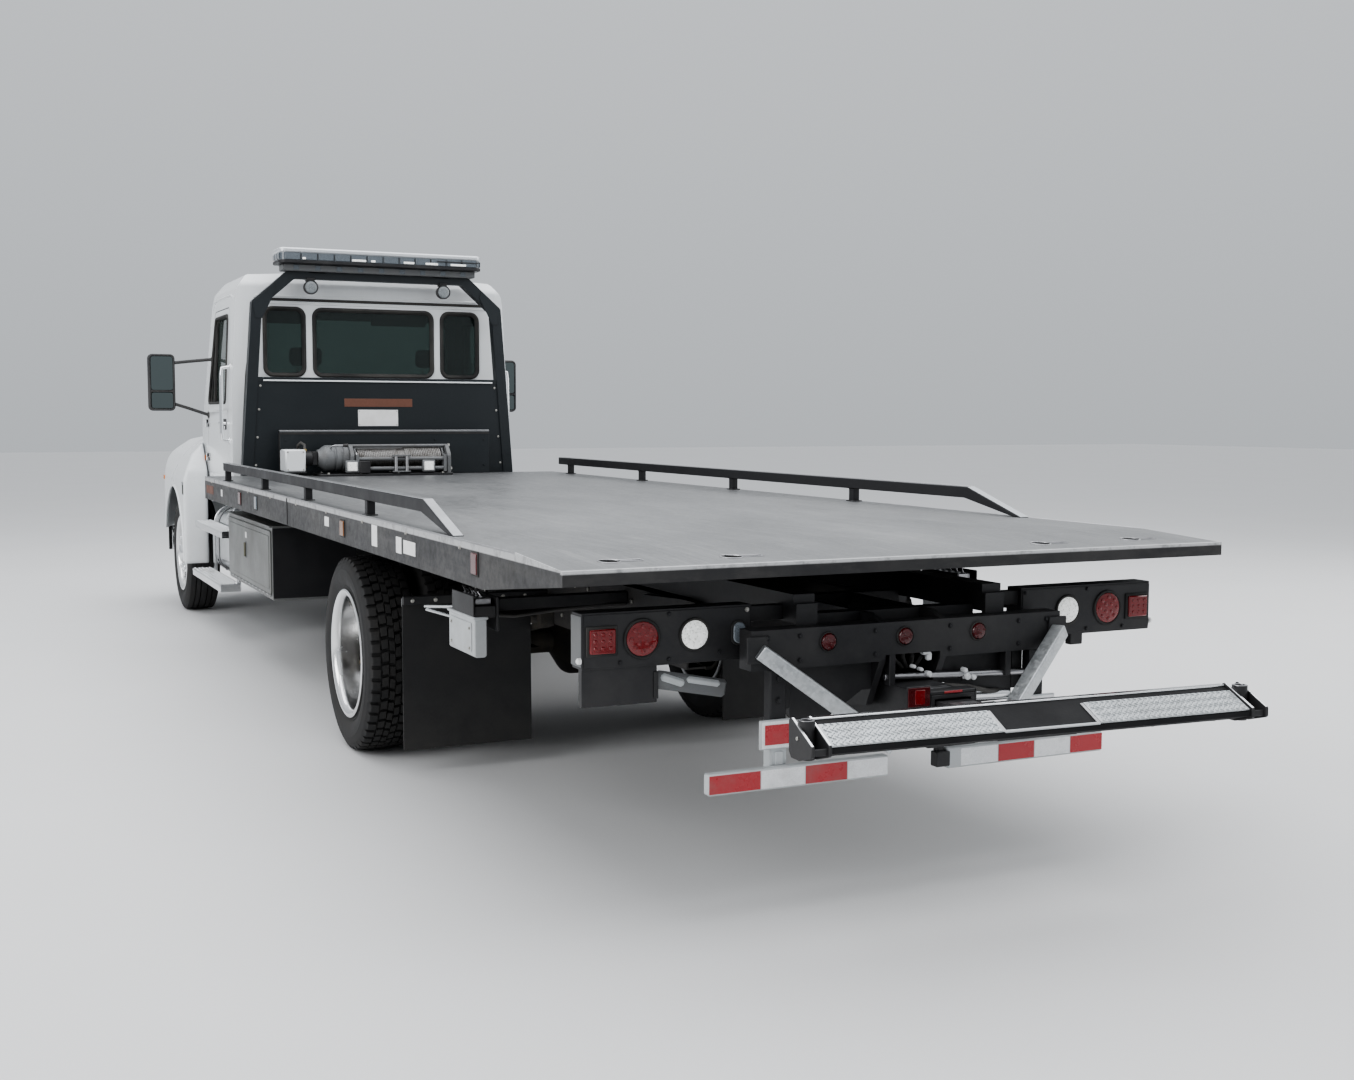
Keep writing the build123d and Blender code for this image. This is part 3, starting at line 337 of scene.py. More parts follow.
def galvanised_zinc(name):
    m, nt, sh, co = new_material(name)
    spangle = voronoi(nt, co, 110, "F1", "Color")
    cells = xyz(nt, spangle)[0]
    fine = noise(nt, co, 90, 4, 0.6)
    dirt = noise(nt, co, 5, 6, 0.65)
    base = mix(nt, cells, (0.46, 0.48, 0.49), (0.58, 0.60, 0.61))
    base = mix(nt, remap(nt, dirt, 0.48, 0.78, 0, 0.40), base, (0.26, 0.255, 0.245))
    link(nt, base, sh.inputs["Base Color"])
    sh.inputs["Metallic"].default_value = 0.85
    link(nt, math_node(nt, "ADD", remap(nt, cells, 0, 1, 0.30, 0.48), remap(nt, dirt, 0.4, 0.8, 0, 0.2)), sh.inputs["Roughness"])
    bump(nt, sh, fine, 0.0005, 0.5)
    return m


def woven(name, a, b, scale=900.0):
    """Woven seat cloth."""
    m, nt, sh, co = new_material(name)
    w1 = nt.nodes.new("ShaderNodeTexWave")
    w1.inputs["Scale"].default_value = scale / 6.0
    link(nt, mapped(nt, co, (1, 0.1, 0.1)), w1.inputs["Vector"])
    w2 = nt.nodes.new("ShaderNodeTexWave")
    w2.inputs["Scale"].default_value = scale / 6.0
    link(nt, mapped(nt, co, (0.1, 1, 1), (0, 0, 1.2)), w2.inputs["Vector"])
    weave = math_node(nt, "MULTIPLY", w1.outputs["Fac"], w2.outputs["Fac"])
    patch = noise(nt, co, 6, 5, 0.6)
    base = mix(nt, weave, a, b)
    base = mix(nt, remap(nt, patch, 0.4, 0.8, 0, 0.3), base, tuple(c * 1.6 for c in b))
    link(nt, base, sh.inputs["Base Color"])
    sh.inputs["Roughness"].default_value = 0.85
    sh.inputs["Sheen Weight"].default_value = 0.25
    bump(nt, sh, weave, 0.0008, 0.6)
    return m


def wire_rope(name):
    m, nt, sh, co = new_material(name)
    strands = nt.nodes.new("ShaderNodeTexWave")
    strands.inputs["Scale"].default_value = 60
    link(nt, mapped(nt, co, (1, 1, 1), (0, 0.7, 0.5)), strands.inputs["Vector"])
    grease = noise(nt, co, 20, 5, 0.6)
    base = mix(nt, strands.outputs["Fac"], (0.16, 0.155, 0.15), (0.44, 0.43, 0.42))
    base = mix(nt, remap(nt, grease, 0.45, 0.75, 0, 0.6), base, (0.09, 0.075, 0.06))
    link(nt, base, sh.inputs["Base Color"])
    sh.inputs["Metallic"].default_value = 0.8
    sh.inputs["Roughness"].default_value = 0.42
    bump(nt, sh, strands.outputs["Fac"], 0.0012, 0.7)
    return m


MAT = {}
MAT["white"] = painted("white_paint", (0.80, 0.82, 0.83), 0.22, mottle=0.02, dust=0.16, dust_color=(0.55, 0.54, 0.52), low=(1.0, 0.6, 0.35), coat=0.5, orange_peel=0.0002)
MAT["cab"] = cab_coat("cab_white_and_trim", (0.0, -3.27, 1.80))
MAT["navy"] = painted("pylon_paint", (0.0045, 0.0085, 0.0115), 0.42, mottle=0.15, dust=0.10, dust_color=(0.030, 0.036, 0.042), coat=0.12, orange_peel=0.0003)
MAT["black"] = painted("black_paint", (0.014, 0.014, 0.016), 0.38, mottle=0.2, dust=0.30, dust_color=(0.10, 0.096, 0.09), dust_scale=4, low=(0.9, 0.7, 0.35))
MAT["rail"] = painted("rail_paint", (0.011, 0.011, 0.013), 0.40, mottle=0.2, dust=0.12, dust_color=(0.055, 0.053, 0.050), dust_scale=5, grain=120)
MAT["soot"] = painted("matt_black_paint", (0.004, 0.004, 0.005), 0.75, mottle=0.1, dust=0.05, dust_color=(0.03, 0.029, 0.028), dust_scale=5, grain=120)
# the two rail materials below are lighter metal that paints the sky's sheen on the rails' tops and its reflection on
# their slopes
MAT["rail_light"] = painted("rail_slope_painted_sky_reflection", (0.42, 0.43, 0.44), 0.30, metallic=0.4, mottle=0.15, dust=0.3, dust_color=(0.16, 0.155, 0.15), dust_scale=9, grain=150)
MAT["rail_top"] = painted("rail_top_wear_and_painted_sheen", (0.20, 0.205, 0.21), 0.30, metallic=0.5, mottle=0.25, dust=0.35, dust_color=(0.07, 0.068, 0.064), dust_scale=9, grain=150)
MAT["deck"] = deck_coat("deck_plate")
MAT["chassis"] = painted("chassis_paint", (0.018, 0.018, 0.019), 0.55, mottle=0.3, dust=0.55, dust_color=(0.11, 0.10, 0.09), dust_scale=5, low=(1.0, 0.7, 0.5), grain=90, orange_peel=0.0012)
MAT["cast"] = painted("oily_cast_iron", (0.045, 0.042, 0.038), 0.62, metallic=0.3, mottle=0.4, dust=0.7, dust_color=(0.13, 0.11, 0.085), dust_scale=7, grain=140, orange_peel=0.002)
MAT["engine"] = painted("engine_enamel", (0.12, 0.125, 0.13), 0.5, metallic=0.2, mottle=0.3, dust=0.6, dust_color=(0.10, 0.09, 0.075), dust_scale=7, grain=120, orange_peel=0.002)
MAT["plastic"] = painted("grained_plastic", (0.028, 0.028, 0.030), 0.5, mottle=0.12, dust=0.18, grain=220, orange_peel=0.0006)
MAT["grey_plastic"] = painted("grey_plastic", (0.14, 0.145, 0.15), 0.5, mottle=0.1, dust=0.2, grain=220, orange_peel=0.0006)
MAT["rubber"] = painted("seal_rubber", (0.016, 0.016, 0.016), 0.62, mottle=0.15, dust=0.2, grain=120)
MAT["flap"] = painted("flap_rubber", (0.013, 0.013, 0.014), 0.50, mottle=0.2, dust=0.25, dust_color=(0.07, 0.066, 0.06), dust_scale=5, low=(0.5, 0.4, 0.5), grain=150, orange_peel=0.0012)
MAT["tyre"] = tyre_rubber("tyre_rubber")
MAT["aluminium"] = metal("polished_aluminium", (0.76, 0.77, 0.78), 0.17, brushed=(1, 9, 9), patch=0.05, dust=0.14)
MAT["alloy"] = metal("forged_alloy", (0.80, 0.80, 0.80), 0.14, patch=0.03, dust=0.12, bump_d=0.0002)
MAT["chrome"] = metal("chrome_plate", (0.86, 0.87, 0.88), 0.06, patch=0.02, dust=0.05, bump_d=0.0001)
MAT["steel"] = metal("bare_steel", (0.46, 0.46, 0.47), 0.32, brushed=(6, 1, 6), patch=0.18, dust=0.3)
MAT["zinc"] = galvanised_zinc("galvanised_zinc")
MAT["grey"] = painted("light_grey_paint", (0.50, 0.52, 0.53), 0.38, mottle=0.06, dust=0.35, dust_color=(0.25, 0.235, 0.22), dust_scale=6, grain=120)
MAT["toolbox"] = painted("toolbox_metal", (0.20, 0.205, 0.20), 0.34, metallic=0.45, mottle=0.06, dust=0.35, dust_color=(0.16, 0.15, 0.14), dust_scale=3, grain=160, streak=0.15)
MAT["bolt"] = metal("plated_bolts", (0.50, 0.49, 0.46), 0.38, patch=0.2, dust=0.4)
MAT["rust"] = painted("rusty_exhaust", (0.13, 0.075, 0.045), 0.75, metallic=0.3, mottle=0.5, dust=0.8, dust_color=(0.075, 0.06, 0.05), dust_scale=9, grain=90, orange_peel=0.002)
MAT["red"] = lens("red_lens", (0.20, 0.008, 0.010))
MAT["red_dim"] = lens("dim_red_lens", (0.085, 0.008, 0.010))
MAT["amber"] = lens("amber_lens", (0.75, 0.22, 0.015))
MAT["clear"] = lens("clear_lens", (0.42, 0.44, 0.46), ribs=180)
MAT["optic"] = lens("headlamp_optic", (0.30, 0.32, 0.34), ribs=90, depth=0.0015)
MAT["winch"] = painted("winch_grey", (0.17, 0.175, 0.18), 0.42, metallic=0.2, mottle=0.15, dust=0.5, dust_color=(0.11, 0.10, 0.09), dust_scale=9, grain=140)
MAT["led"] = lens("white_led", (0.86, 0.87, 0.85), emission=0.35, ribs=120)
MAT["grey_lens"] = lens("grey_lens", (0.22, 0.25, 0.28), ribs=200)
MAT["bar_lens"] = lens("smoked_bar_lens", (0.130, 0.150, 0.170), ribs=160)
MAT["work_lens"] = lens("work_light_lens", (0.24, 0.26, 0.27), ribs=120)
MAT["silver"] = painted("silver_cover", (0.62, 0.64, 0.66), 0.25, metallic=0.4, mottle=0.03, dust=0.12, coat=0.3)
MAT["olive"] = painted("olive_pull", (0.075, 0.075, 0.040), 0.5, mottle=0.2, dust=0.3)
MAT["dull_amber"] = lens("dull_amber_lens", (0.20, 0.075, 0.020))
MAT["mirror"] = metal("mirror_face", (0.17, 0.20, 0.20), 0.03, patch=0.01, dust=0.05, bump_d=0.00001)
MAT["glass"] = glass_pane("tinted_glass", (0.34, 0.43, 0.40))
MAT["dark_glass"] = glass_pane("dark_glass", (0.12, 0.17, 0.16))
MAT["tape_red"] = tape("red_tape", (0.46, 0.014, 0.022))
MAT["tape_white"] = tape("white_tape", (0.90, 0.91, 0.92))
MAT["label"] = painted("blank_label", (0.80, 0.80, 0.79), 0.40, mottle=0.03, dust=0.3, dust_color=(0.45, 0.43, 0.40), dust_scale=12)
MAT["orange"] = painted("bare_orange_strip", (0.150, 0.062, 0.040), 0.45, mottle=0.15, dust=0.4, dust_color=(0.12, 0.06, 0.04), dust_scale=14)
MAT["cloth"] = woven("seat_cloth", (0.030, 0.031, 0.034), (0.075, 0.077, 0.083))
MAT["vinyl"] = painted("seat_vinyl", (0.05, 0.051, 0.055), 0.45, mottle=0.1, dust=0.1, grain=260, orange_peel=0.0008)
MAT["rope"] = wire_rope("wire_rope")
MAT["brass"] = metal("brass_fitting", (0.55, 0.42, 0.20), 0.3, patch=0.1, dust=0.3)
MAT["hose"] = painted("hose_rubber", (0.020, 0.020, 0.021), 0.45, mottle=0.2, dust=0.3, grain=200, orange_peel=0.0008)
MAT["carpet"] = painted("floor_mat", (0.03, 0.03, 0.031), 0.9, mottle=0.35, dust=0.4, grain=300, orange_peel=0.002)


def plain_floor():
    m, nt, sh, co = new_material("floor_grey")
    base = mix(nt, noise(nt, co, 0.7, 4), (0.66, 0.66, 0.66), (0.70, 0.70, 0.70))
    link(nt, base, sh.inputs["Base Color"])
    sh.inputs["Roughness"].default_value = 0.85
    return m


# ------------------------------------------------------------------ floor and light
bm = bmesh.new()
bmesh.ops.create_grid(bm, x_segments=2, y_segments=2, size=60)
floor_mesh = bpy.data.meshes.new("floor")
bm.to_mesh(floor_mesh)
bm.free()
floor = bpy.data.objects.new("floor", floor_mesh)
bpy.context.scene.collection.objects.link(floor)
floor.data.materials.append(plain_floor())

world = bpy.data.worlds.new("studio")
world.use_nodes = True
wt = world.node_tree
sky = wt.nodes.new("ShaderNodeTexCoord")
high = remap(wt, xyz(wt, sky.outputs["Generated"])[2], -0.10, 0.75, 0.0, 1.0)
link(wt, mix(wt, high, (0.50, 0.525, 0.55), (0.94, 0.965, 1.0)), wt.nodes["Background"].inputs["Color"])
wt.nodes["Background"].inputs["Strength"].default_value = 0.80
bpy.context.scene.world = world


def area_light(name, at, to, size, power, color=(1, 1, 1)):
    data = bpy.data.lights.new(name, "AREA")
    data.shape = "RECTANGLE"
    data.size, data.size_y = size
    data.energy = power
    data.color = color
    o = bpy.data.objects.new(name, data)
    bpy.context.scene.collection.objects.link(o)
    o.location = at
    o.rotation_mode = "QUATERNION"
    o.rotation_quaternion = (Vector(to) - Vector(at)).to_track_quat("-Z", "Y")
    return o


area_light("overhead", (0, 0, 9.5), (0, 0, 0), (12, 16), 900, (0.97, 0.98, 1.0))
area_light("left_side", (11, 5, 6.5), (0, 0, 0.8), (8, 8), 600)
area_light("right_side", (-11, 3, 5.5), (0, 0, 0.8), (8, 8), 320)
bpy.context.scene.view_settings.view_transform = "AgX"
bpy.context.scene.view_settings.look = "AgX - Medium High Contrast"
bpy.context.scene.view_settings.exposure = 0.15

# ------------------------------------------------------------------ mesh helpers
class Kit:
    """Collects simple closed shapes into one mesh with several materials."""

    def __init__(self):
        self.v, self.f, self.m, self.mats = [], [], [], []
        self.flat = []
        self.n = 0

    def slot(self, mat):
        if mat not in self.mats:
            self.mats.append(mat)
        return self.mats.index(mat)

    def add(self, verts, faces, mat):
        base, s = self.n, self.slot(mat)
        self.v.append(np.asarray(verts, float).reshape(-1, 3))
        self.n += len(self.v[-1])
        for f in faces:
            self.f.append([i + base for i in f])
            self.m.append(s)

    def box(self, x, y, z, mat, b=0.002):
        """A block between (low, high) pairs with chamfered edges."""
        (x0, x1), (y0, y1), (z0, z1) = sorted(x), sorted(y), sorted(z)
        b = min(b, (x1 - x0) * 0.45, (y1 - y0) * 0.45, (z1 - z0) * 0.45)
        self.frame_box(Vector(((x0 + x1) / 2, (y0 + y1) / 2, (z0 + z1) / 2)), Vector((1, 0, 0)), Vector((0, 1, 0)),
                       Vector((0, 0, 1)), (x1 - x0) / 2, (y1 - y0) / 2, (z1 - z0) / 2, mat, b)

    def frame_box(self, c, ax, ay, az, hx, hy, hz, mat, b=0.002):
        """A chamfered block round c with its own axes and half sizes."""
        corners = [(sx, sy, sz) for sx in (-1, 1) for sy in (-1, 1) for sz in (-1, 1)]
        verts, idx = [], {}
        for s in corners:
            for k in range(3):
                h = [hx - b, hy - b, hz - b]
                h[k] += b
                p = c + ax * (s[0] * h[0]) + ay * (s[1] * h[1]) + az * (s[2] * h[2])
                idx[(s, k)] = len(verts)
                verts.append(p)
        faces = []
        for k in range(3):
            a, d = [(1, 2), (2, 0), (0, 1)][k]
            for sk in (-1, 1):
                loop = []
                for sa, sd in ((-1, -1), (1, -1), (1, 1), (-1, 1)):
                    s = [0, 0, 0]
                    s[k], s[a], s[d] = sk, sa, sd
                    loop.append(idx[(tuple(s), k)])
                faces.append(loop if sk > 0 else loop[::-1])
        for a, d in ((0, 1), (1, 2), (2, 0)):
            k = 3 - a - d
            for sa in (-1, 1):
                for sd in (-1, 1):
                    s0, s1 = [0, 0, 0], [0, 0, 0]
                    s0[a] = s1[a] = sa
                    s0[d] = s1[d] = sd
                    s0[k], s1[k] = -1, 1
                    s0, s1 = tuple(s0), tuple(s1)
                    loop = [idx[(s0, a)], idx[(s0, d)], idx[(s1, d)], idx[(s1, a)]]
                    faces.append(loop if sa * sd > 0 else loop[::-1])
        for s in corners:
            loop = [idx[(s, 0)], idx[(s, 1)], idx[(s, 2)]]
            faces.append(loop if s[0] * s[1] * s[2] > 0 else loop[::-1])
        self.add(verts, faces, mat)

    def beam(self, p, q, w, h, mat, up=(0, 0, 1), b=0.003):
        """A rectangular bar from p to q, w wide and h along up."""
        p, q = Vector(p), Vector(q)
        az = (q - p).normalized()
        ax = az.cross(Vector(up)).normalized()
        ay = ax.cross(az)
        self.frame_box((p + q) / 2, ax, ay, az, w / 2, h / 2, (q - p).length / 2, mat, b)

    def lathe(self, profile, p, axis, mat, n=32, closed=True, turn=(0.0, 2 * math.pi)):
        """(distance along the axis, radius) rows turned about the axis through p. profile may be a closed loop."""
        p, axis = Vector(p), Vector(axis).normalized()
        side = axis.orthogonal().normalized()
        other = axis.cross(side)
        full = abs(turn[1] - turn[0] - 2 * math.pi) < 1e-6
        cols = n if full else n + 1
        verts = []
        for i in range(cols):
            a = turn[0] + (turn[1] - turn[0]) * i / n
            d = side * math.cos(a) + other * math.sin(a)
            verts += [p + axis * t + d * r for t, r in profile]
        m = len(profile)
        faces = []
        for i in range(n):
            j = (i + 1) % cols
            for k in range(m if closed else m - 1):
                l = (k + 1) % m
                quad = [i * m + k, j * m + k, j * m + l, i * m + l]
                if profile[k][1] < 1e-9 and profile[l][1] < 1e-9:
                    continue
                if profile[k][1] < 1e-9:
                    quad = [i * m + k, j * m + l, i * m + l]
                elif profile[l][1] < 1e-9:
                    quad = [i * m + k, j * m + k, i * m + l]
                faces.append(quad)
        self.add(verts, faces, mat)

    def rod(self, p, q, r, mat, n=20, b=0.0015):
        """A round bar with chamfered ends."""
        p, q = Vector(p), Vector(q)
        L = (q - p).length
        b = min(b, r * 0.4, L * 0.4)
        self.lathe([(0, 0), (0, r - b), (b, r), (L - b, r), (L, r - b), (L, 0)], p, q - p, mat, n, closed=False)

    def hexbolt(self, p, axis, r, h, mat, stud=0.0):
        """A hexagonal nut or bolt head with a stud through it."""
        p, axis = Vector(p), Vector(axis).normalized()
        self.lathe([(0, 0), (0, r), (h * 0.85, r), (h, r * 0.86), (h, 0)], p, axis, mat, 6, closed=False)
        if stud:
            self.lathe([(h, r * 0.5), (h + stud, r * 0.5), (h + stud, 0)], p, axis, mat, 12, closed=False)

    def prism(self, pts, axis, lo, hi, mat, b=0.0):
        """A flat outline, thick from lo to hi along axis 'x', 'y' or 'z'. pts are the other two coordinates, in order
        (y, z), (x, z) or (x, y)."""
        def place(a, c, t):
            return {"x": (t, a, c), "y": (a, t, c), "z": (a, c, t)}[axis]
        area = sum(pts[i][0] * pts[(i + 1) % len(pts)][1] - pts[(i + 1) % len(pts)][0] * pts[i][1] for i in range(len(pts)))
        if area < 0:
            pts = pts[::-1]
        n = len(pts)
        if b > 0:
            inner = inset(pts, b)
            rings = [(inner, lo), (pts, lo + b), (pts, hi - b), (inner, hi)]
        else:
            rings = [(pts, lo), (pts, hi)]
        verts = [place(a, c, t) for ring, t in rings for a, c in ring]
        faces = [list(range(n))[::-1], list(range((len(rings) - 1) * n, len(rings) * n))]
        for k in range(len(rings) - 1):
            for i in range(n):
                j = (i + 1) % n
                faces.append([k * n + i, k * n + j, (k + 1) * n + j, (k + 1) * n + i])
        if axis == "y":
            faces = [f[::-1] for f in faces]
        self.add(verts, faces, mat)

    def sweep(self, path, r, mat, n=12, closed=False, caps=True):
        """A round tube along a list of points."""
        pts = [Vector(p) for p in path]
        verts, m = [], len(pts)
        ref = None
        for i, p in enumerate(pts):
            a = pts[(i - 1) % m] if closed or i > 0 else p
            c = pts[(i + 1) % m] if closed or i < m - 1 else p
            t = (c - a).normalized()
            if ref is None:
                ref = t.orthogonal().normalized()
            ref = (ref - t * ref.dot(t)).normalized()
            o = t.cross(ref)
            verts += [p + (ref * math.cos(2 * math.pi * k / n) + o * math.sin(2 * math.pi * k / n)) * r for k in range(n)]
        faces = []
        for i in range(m if closed else m - 1):
            j = (i + 1) % m
            for k in range(n):
                l = (k + 1) % n
                faces.append([i * n + k, i * n + l, j * n + l, j * n + k])
        if caps and not closed:
            faces += [list(range(n))[::-1], list(range((m - 1) * n, m * n))]
        self.add(verts, faces, mat)

    def grid(self, pts, rows, cols, mat, flip=False):
        faces = []
        for i in range(rows - 1):
            for j in range(cols - 1):
                q = [i * cols + j, i * cols + j + 1, (i + 1) * cols + j + 1, (i + 1) * cols + j]
                faces.append(q[::-1] if flip else q)
        self.add(pts, faces, mat)

    def merge(self, other, matrix=None):
        base = self.n
        for block in other.v:
            if matrix is not None:
                a = np.array(matrix, float)
                block = block @ a[:3, :3].T + a[:3, 3]
            self.v.append(block)
            self.n += len(block)
        flip = matrix is not None and Matrix(matrix).to_3x3().determinant() < 0
        for f, m in zip(other.f, other.m):
            g = [i + base for i in f]
            self.f.append(g[::-1] if flip else g)
            self.m.append(self.slot(other.mats[m]))
        return self

    def make(self, name, body, replaces=(), slot=None, angle=38.0, weighted=True, subdiv=0):
        mesh = bpy.data.meshes.new(name)
        verts = np.concatenate(self.v) if self.v else np.zeros((0, 3))
        mesh.from_pydata([tuple(p) for p in verts], [], self.f)
        for mat in self.mats:
            mesh.materials.append(MAT[mat])
        mesh.polygons.foreach_set("material_index", self.m)
        mesh.polygons.foreach_set("use_smooth", [True] * len(mesh.polygons))
        mesh.set_sharp_from_angle(angle=math.radians(angle))
        mesh.update()
        o = bpy.data.objects.new(name, mesh)
        bpy.context.scene.collection.objects.link(o)
        if subdiv:
            s = o.modifiers.new("subdivision", "SUBSURF")
            s.levels = s.render_levels = subdiv
        if weighted:
            w = o.modifiers.new("normals", "WEIGHTED_NORMAL")
            w.keep_sharp = True
            w.weight = 80
        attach(o, body)
        if replaces:
            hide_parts(*replaces)
        return o


def inset(pts, b):
    """A counter-clockwise outline moved inwards by b."""
    out = []
    n = len(pts)
    for i in range(n):
        p0, p1, p2 = Vector(pts[i - 1]), Vector(pts[i]), Vector(pts[(i + 1) % n])
        a, c = (p1 - p0).normalized(), (p2 - p1).normalized()
        na, nc = Vector((-a.y, a.x)), Vector((-c.y, c.x))
        mid = na + nc
        if mid.length < 1e-6:
            mid = na
        mid.normalize()
        scale = b / max(0.3, mid.dot(na))
        out.append(tuple(p1 + mid * scale))
    return out


def rounded(points, n=6):
    """(a, b, corner radius) outline as points."""
    out = []
    m = len(points)
    for i in range(m):
        p = Vector(points[i][:2])
        r = points[i][2] if len(points[i]) > 2 else 0
        if r <= 0:
            out.append(tuple(p))
            continue
        u = (Vector(points[i - 1][:2]) - p).normalized()
        w = (Vector(points[(i + 1) % m][:2]) - p).normalized()
        half = u.angle(w) / 2
        reach = r / math.tan(half)
        centre = p + (u + w).normalized() * (r / math.sin(half))
        a, b = p + u * reach - centre, p + w * reach - centre
        total = a.angle_signed(b)
        for k in range(n + 1):
            t = total * k / n
            c, s = math.cos(-t), math.sin(-t)
            out.append(tuple(centre + Vector((a.x * c - a.y * s, a.x * s + a.y * c))))
    return out


def rrect(a, b, r):
    return [(a[0], b[0], r), (a[1], b[0], r), (a[1], b[1], r), (a[0], b[1], r)]


MIRROR = Matrix.Diagonal((-1, 1, 1, 1))


def cad(node, mat, bevel=0.0, segments=2, angle=30.0):
    """A CAD node that stays: its finish, and softened edges."""
    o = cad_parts[node]
    o.data.materials.clear()
    o.data.materials.append(MAT[mat])
    if bevel:
        w = o.modifiers.new("weld", "WELD")
        w.merge_threshold = 0.00005
        b = o.modifiers.new("bevel", "BEVEL")
        b.width = bevel
        b.segments = segments
        b.limit_method = "ANGLE"
        b.angle_limit = math.radians(angle)
        b.use_clamp_overlap = True
        b.harden_normals = False
        n = o.modifiers.new("normals", "WEIGHTED_NORMAL")
        n.keep_sharp = False
        n.weight = 90
    return o
# ------------------------------------------------------------------ CAD pieces that stay, with softened edges
for name, mat, width in (
    ("cab_shell", "cab", 0.008), ("cab_roof", "cab", 0.012), ("door_left", "cab", 0.006), ("door_right", "cab", 0.006),
    ("light_pylon", "navy", 0.005), ("tilt_frame", "black", 0.003), ("tail_frame", "black", 0.003),
    ("light_boxes", "black", 0.003), ("tail_bumpers", "black", 0.003), ("slide_barrel", "black", 0.002),
    ("deck", "deck", 0), ("side_rails", "rail", 0.004), ("winch", "black", 0.003), ("winch_drum", "steel", 0.002),
    ("ram_barrels", "black", 0.003), ("lift_boom", "black", 0.004), ("lift_extension", "black", 0.003),
    ("chassis_frame", "chassis", 0.003), ("driveshaft", "cast", 0.002), ("front_axle", "cast", 0.006),
    ("rear_axle", "cast", 0.004), ("leaf_springs", "cast", 0.003), ("engine_block", "engine", 0.008),
    ("knuckle_left", "cast", 0.003), ("knuckle_right", "cast", 0.003), ("tie_rod", "cast", 0.002),
    ("dashboard", "plastic", 0.008), ("steering_wheel", "plastic", 0.002), ("seats", "plastic", 0.010),
    ("mirror_left", "plastic", 0.002), ("mirror_right", "plastic", 0.002), ("mud_flaps", "flap", 0.002),
    ("front_tyre_left", "tyre", 0), ("front_tyre_right", "tyre", 0), ("rear_tyres_left", "tyre", 0), ("rear_tyres_right", "tyre", 0),
    ("front_wheel_left", "alloy", 0.002), ("front_wheel_right", "alloy", 0.002), ("rear_wheels_left", "alloy", 0.002),
    ("rear_wheels_right", "alloy", 0.002), ("fuel_tanks", "aluminium", 0.008), ("cab_steps", "aluminium", 0.004),
    ("toolboxes", "toolbox", 0.004), ("front_bumper", "chrome", 0.006), ("grille", "chrome", 0.004), ("slide_rod", "chrome", 0.001),
    ("ram_rods", "chrome", 0.001), ("headlamps", "optic", 0.003), ("exhaust", "rust", 0.003), ("lift_crossbar", "zinc", 0.004),
    ("lift_struts", "zinc", 0.005), ("control_stations", "grey", 0.004), ("pylon_lights", "steel", 0.004),
    ("cab_windows", "glass", 0), ("door_glass_left", "glass", 0), ("door_glass_right", "glass", 0), ("hood", "white", 0.0),
):
    cad(name, mat, width)
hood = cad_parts["hood"]
w = hood.modifiers.new("weld", "WELD")
w.merge_threshold = 0.00005
r = hood.modifiers.new("remesh", "REMESH")
r.mode = "VOXEL"
r.voxel_size = 0.014
r.adaptivity = 0.0
r.use_smooth_shade = True
s = hood.modifiers.new("smooth", "SMOOTH")
s.factor = 0.5
s.iterations = 6

# ------------------------------------------------------------------ tyres and wheels
TYRE_R, AXLE_Z, FRONT_Y, REAR_Y = 0.469, 0.469, -4.310, 1.560
SIDEWALL = [  # (distance from the tyre's middle, radius), bead to shoulder
    (0.1035, 0.2905), (0.1090, 0.2990), (0.1080, 0.3125), (0.1115, 0.3205), (0.1125, 0.3245), (0.1105, 0.3265), (0.1150, 0.3370),
    (0.1200, 0.3500), (0.1245, 0.3640), (0.1268, 0.3770), (0.1272, 0.3900), (0.1262, 0.4020), (0.1272, 0.4045), (0.1268, 0.4085),
    (0.1250, 0.4105), (0.1225, 0.4220), (0.1185, 0.4340), (0.1150, 0.4440),
]


def crown(x):
    return TYRE_R - 0.006 * (abs(x) / 0.105) ** 2


def columns(kit, loops, x, y, z, mat):
    """A ring from one closed (x, r) loop for each angle."""
    n, m = len(loops), len(loops[0])
    verts = []
    for i, loop in enumerate(loops):
        a = 2 * math.pi * i / n
        verts += [(x + t, y + r * math.cos(a), z + r * math.sin(a)) for t, r in loop]
    faces = []
    for i in range(n):
        j = (i + 1) % n
        for k in range(m):
            l = (k + 1) % m
            faces.append([i * m + k, i * m + l, j * m + l, j * m + k])
    kit.add(verts, faces, mat)


def arc_prism(kit, section, ta, tb, x, y, z, mat, skew=0.0):
    """A tread block: an (x, r) section swept over a short angle, its outer edges drawn in a little."""
    area = sum(section[i][0] * section[(i + 1) % len(section)][1] - section[(i + 1) % len(section)][0] * section[i][1]
               for i in range(len(section)))
    if area < 0:
        section = section[::-1]
    m, verts = len(section), []
    low = min(r for _, r in section)
    for end, t in ((0, ta), (1, tb)):
        for sx, r in section:
            draw = (0.0018 if r > low + 0.006 else 0.0) / TYRE_R
            a = t + (draw if end == 0 else -draw) + skew * sx
            verts.append((x + sx, y + r * math.cos(a), z + r * math.sin(a)))
    faces = [list(range(m))[::-1], list(range(m, 2 * m))]
    for k in range(m):
        l = (k + 1) % m
        faces.append([k, l, m + l, m + k])
    kit.add(verts, faces, mat)


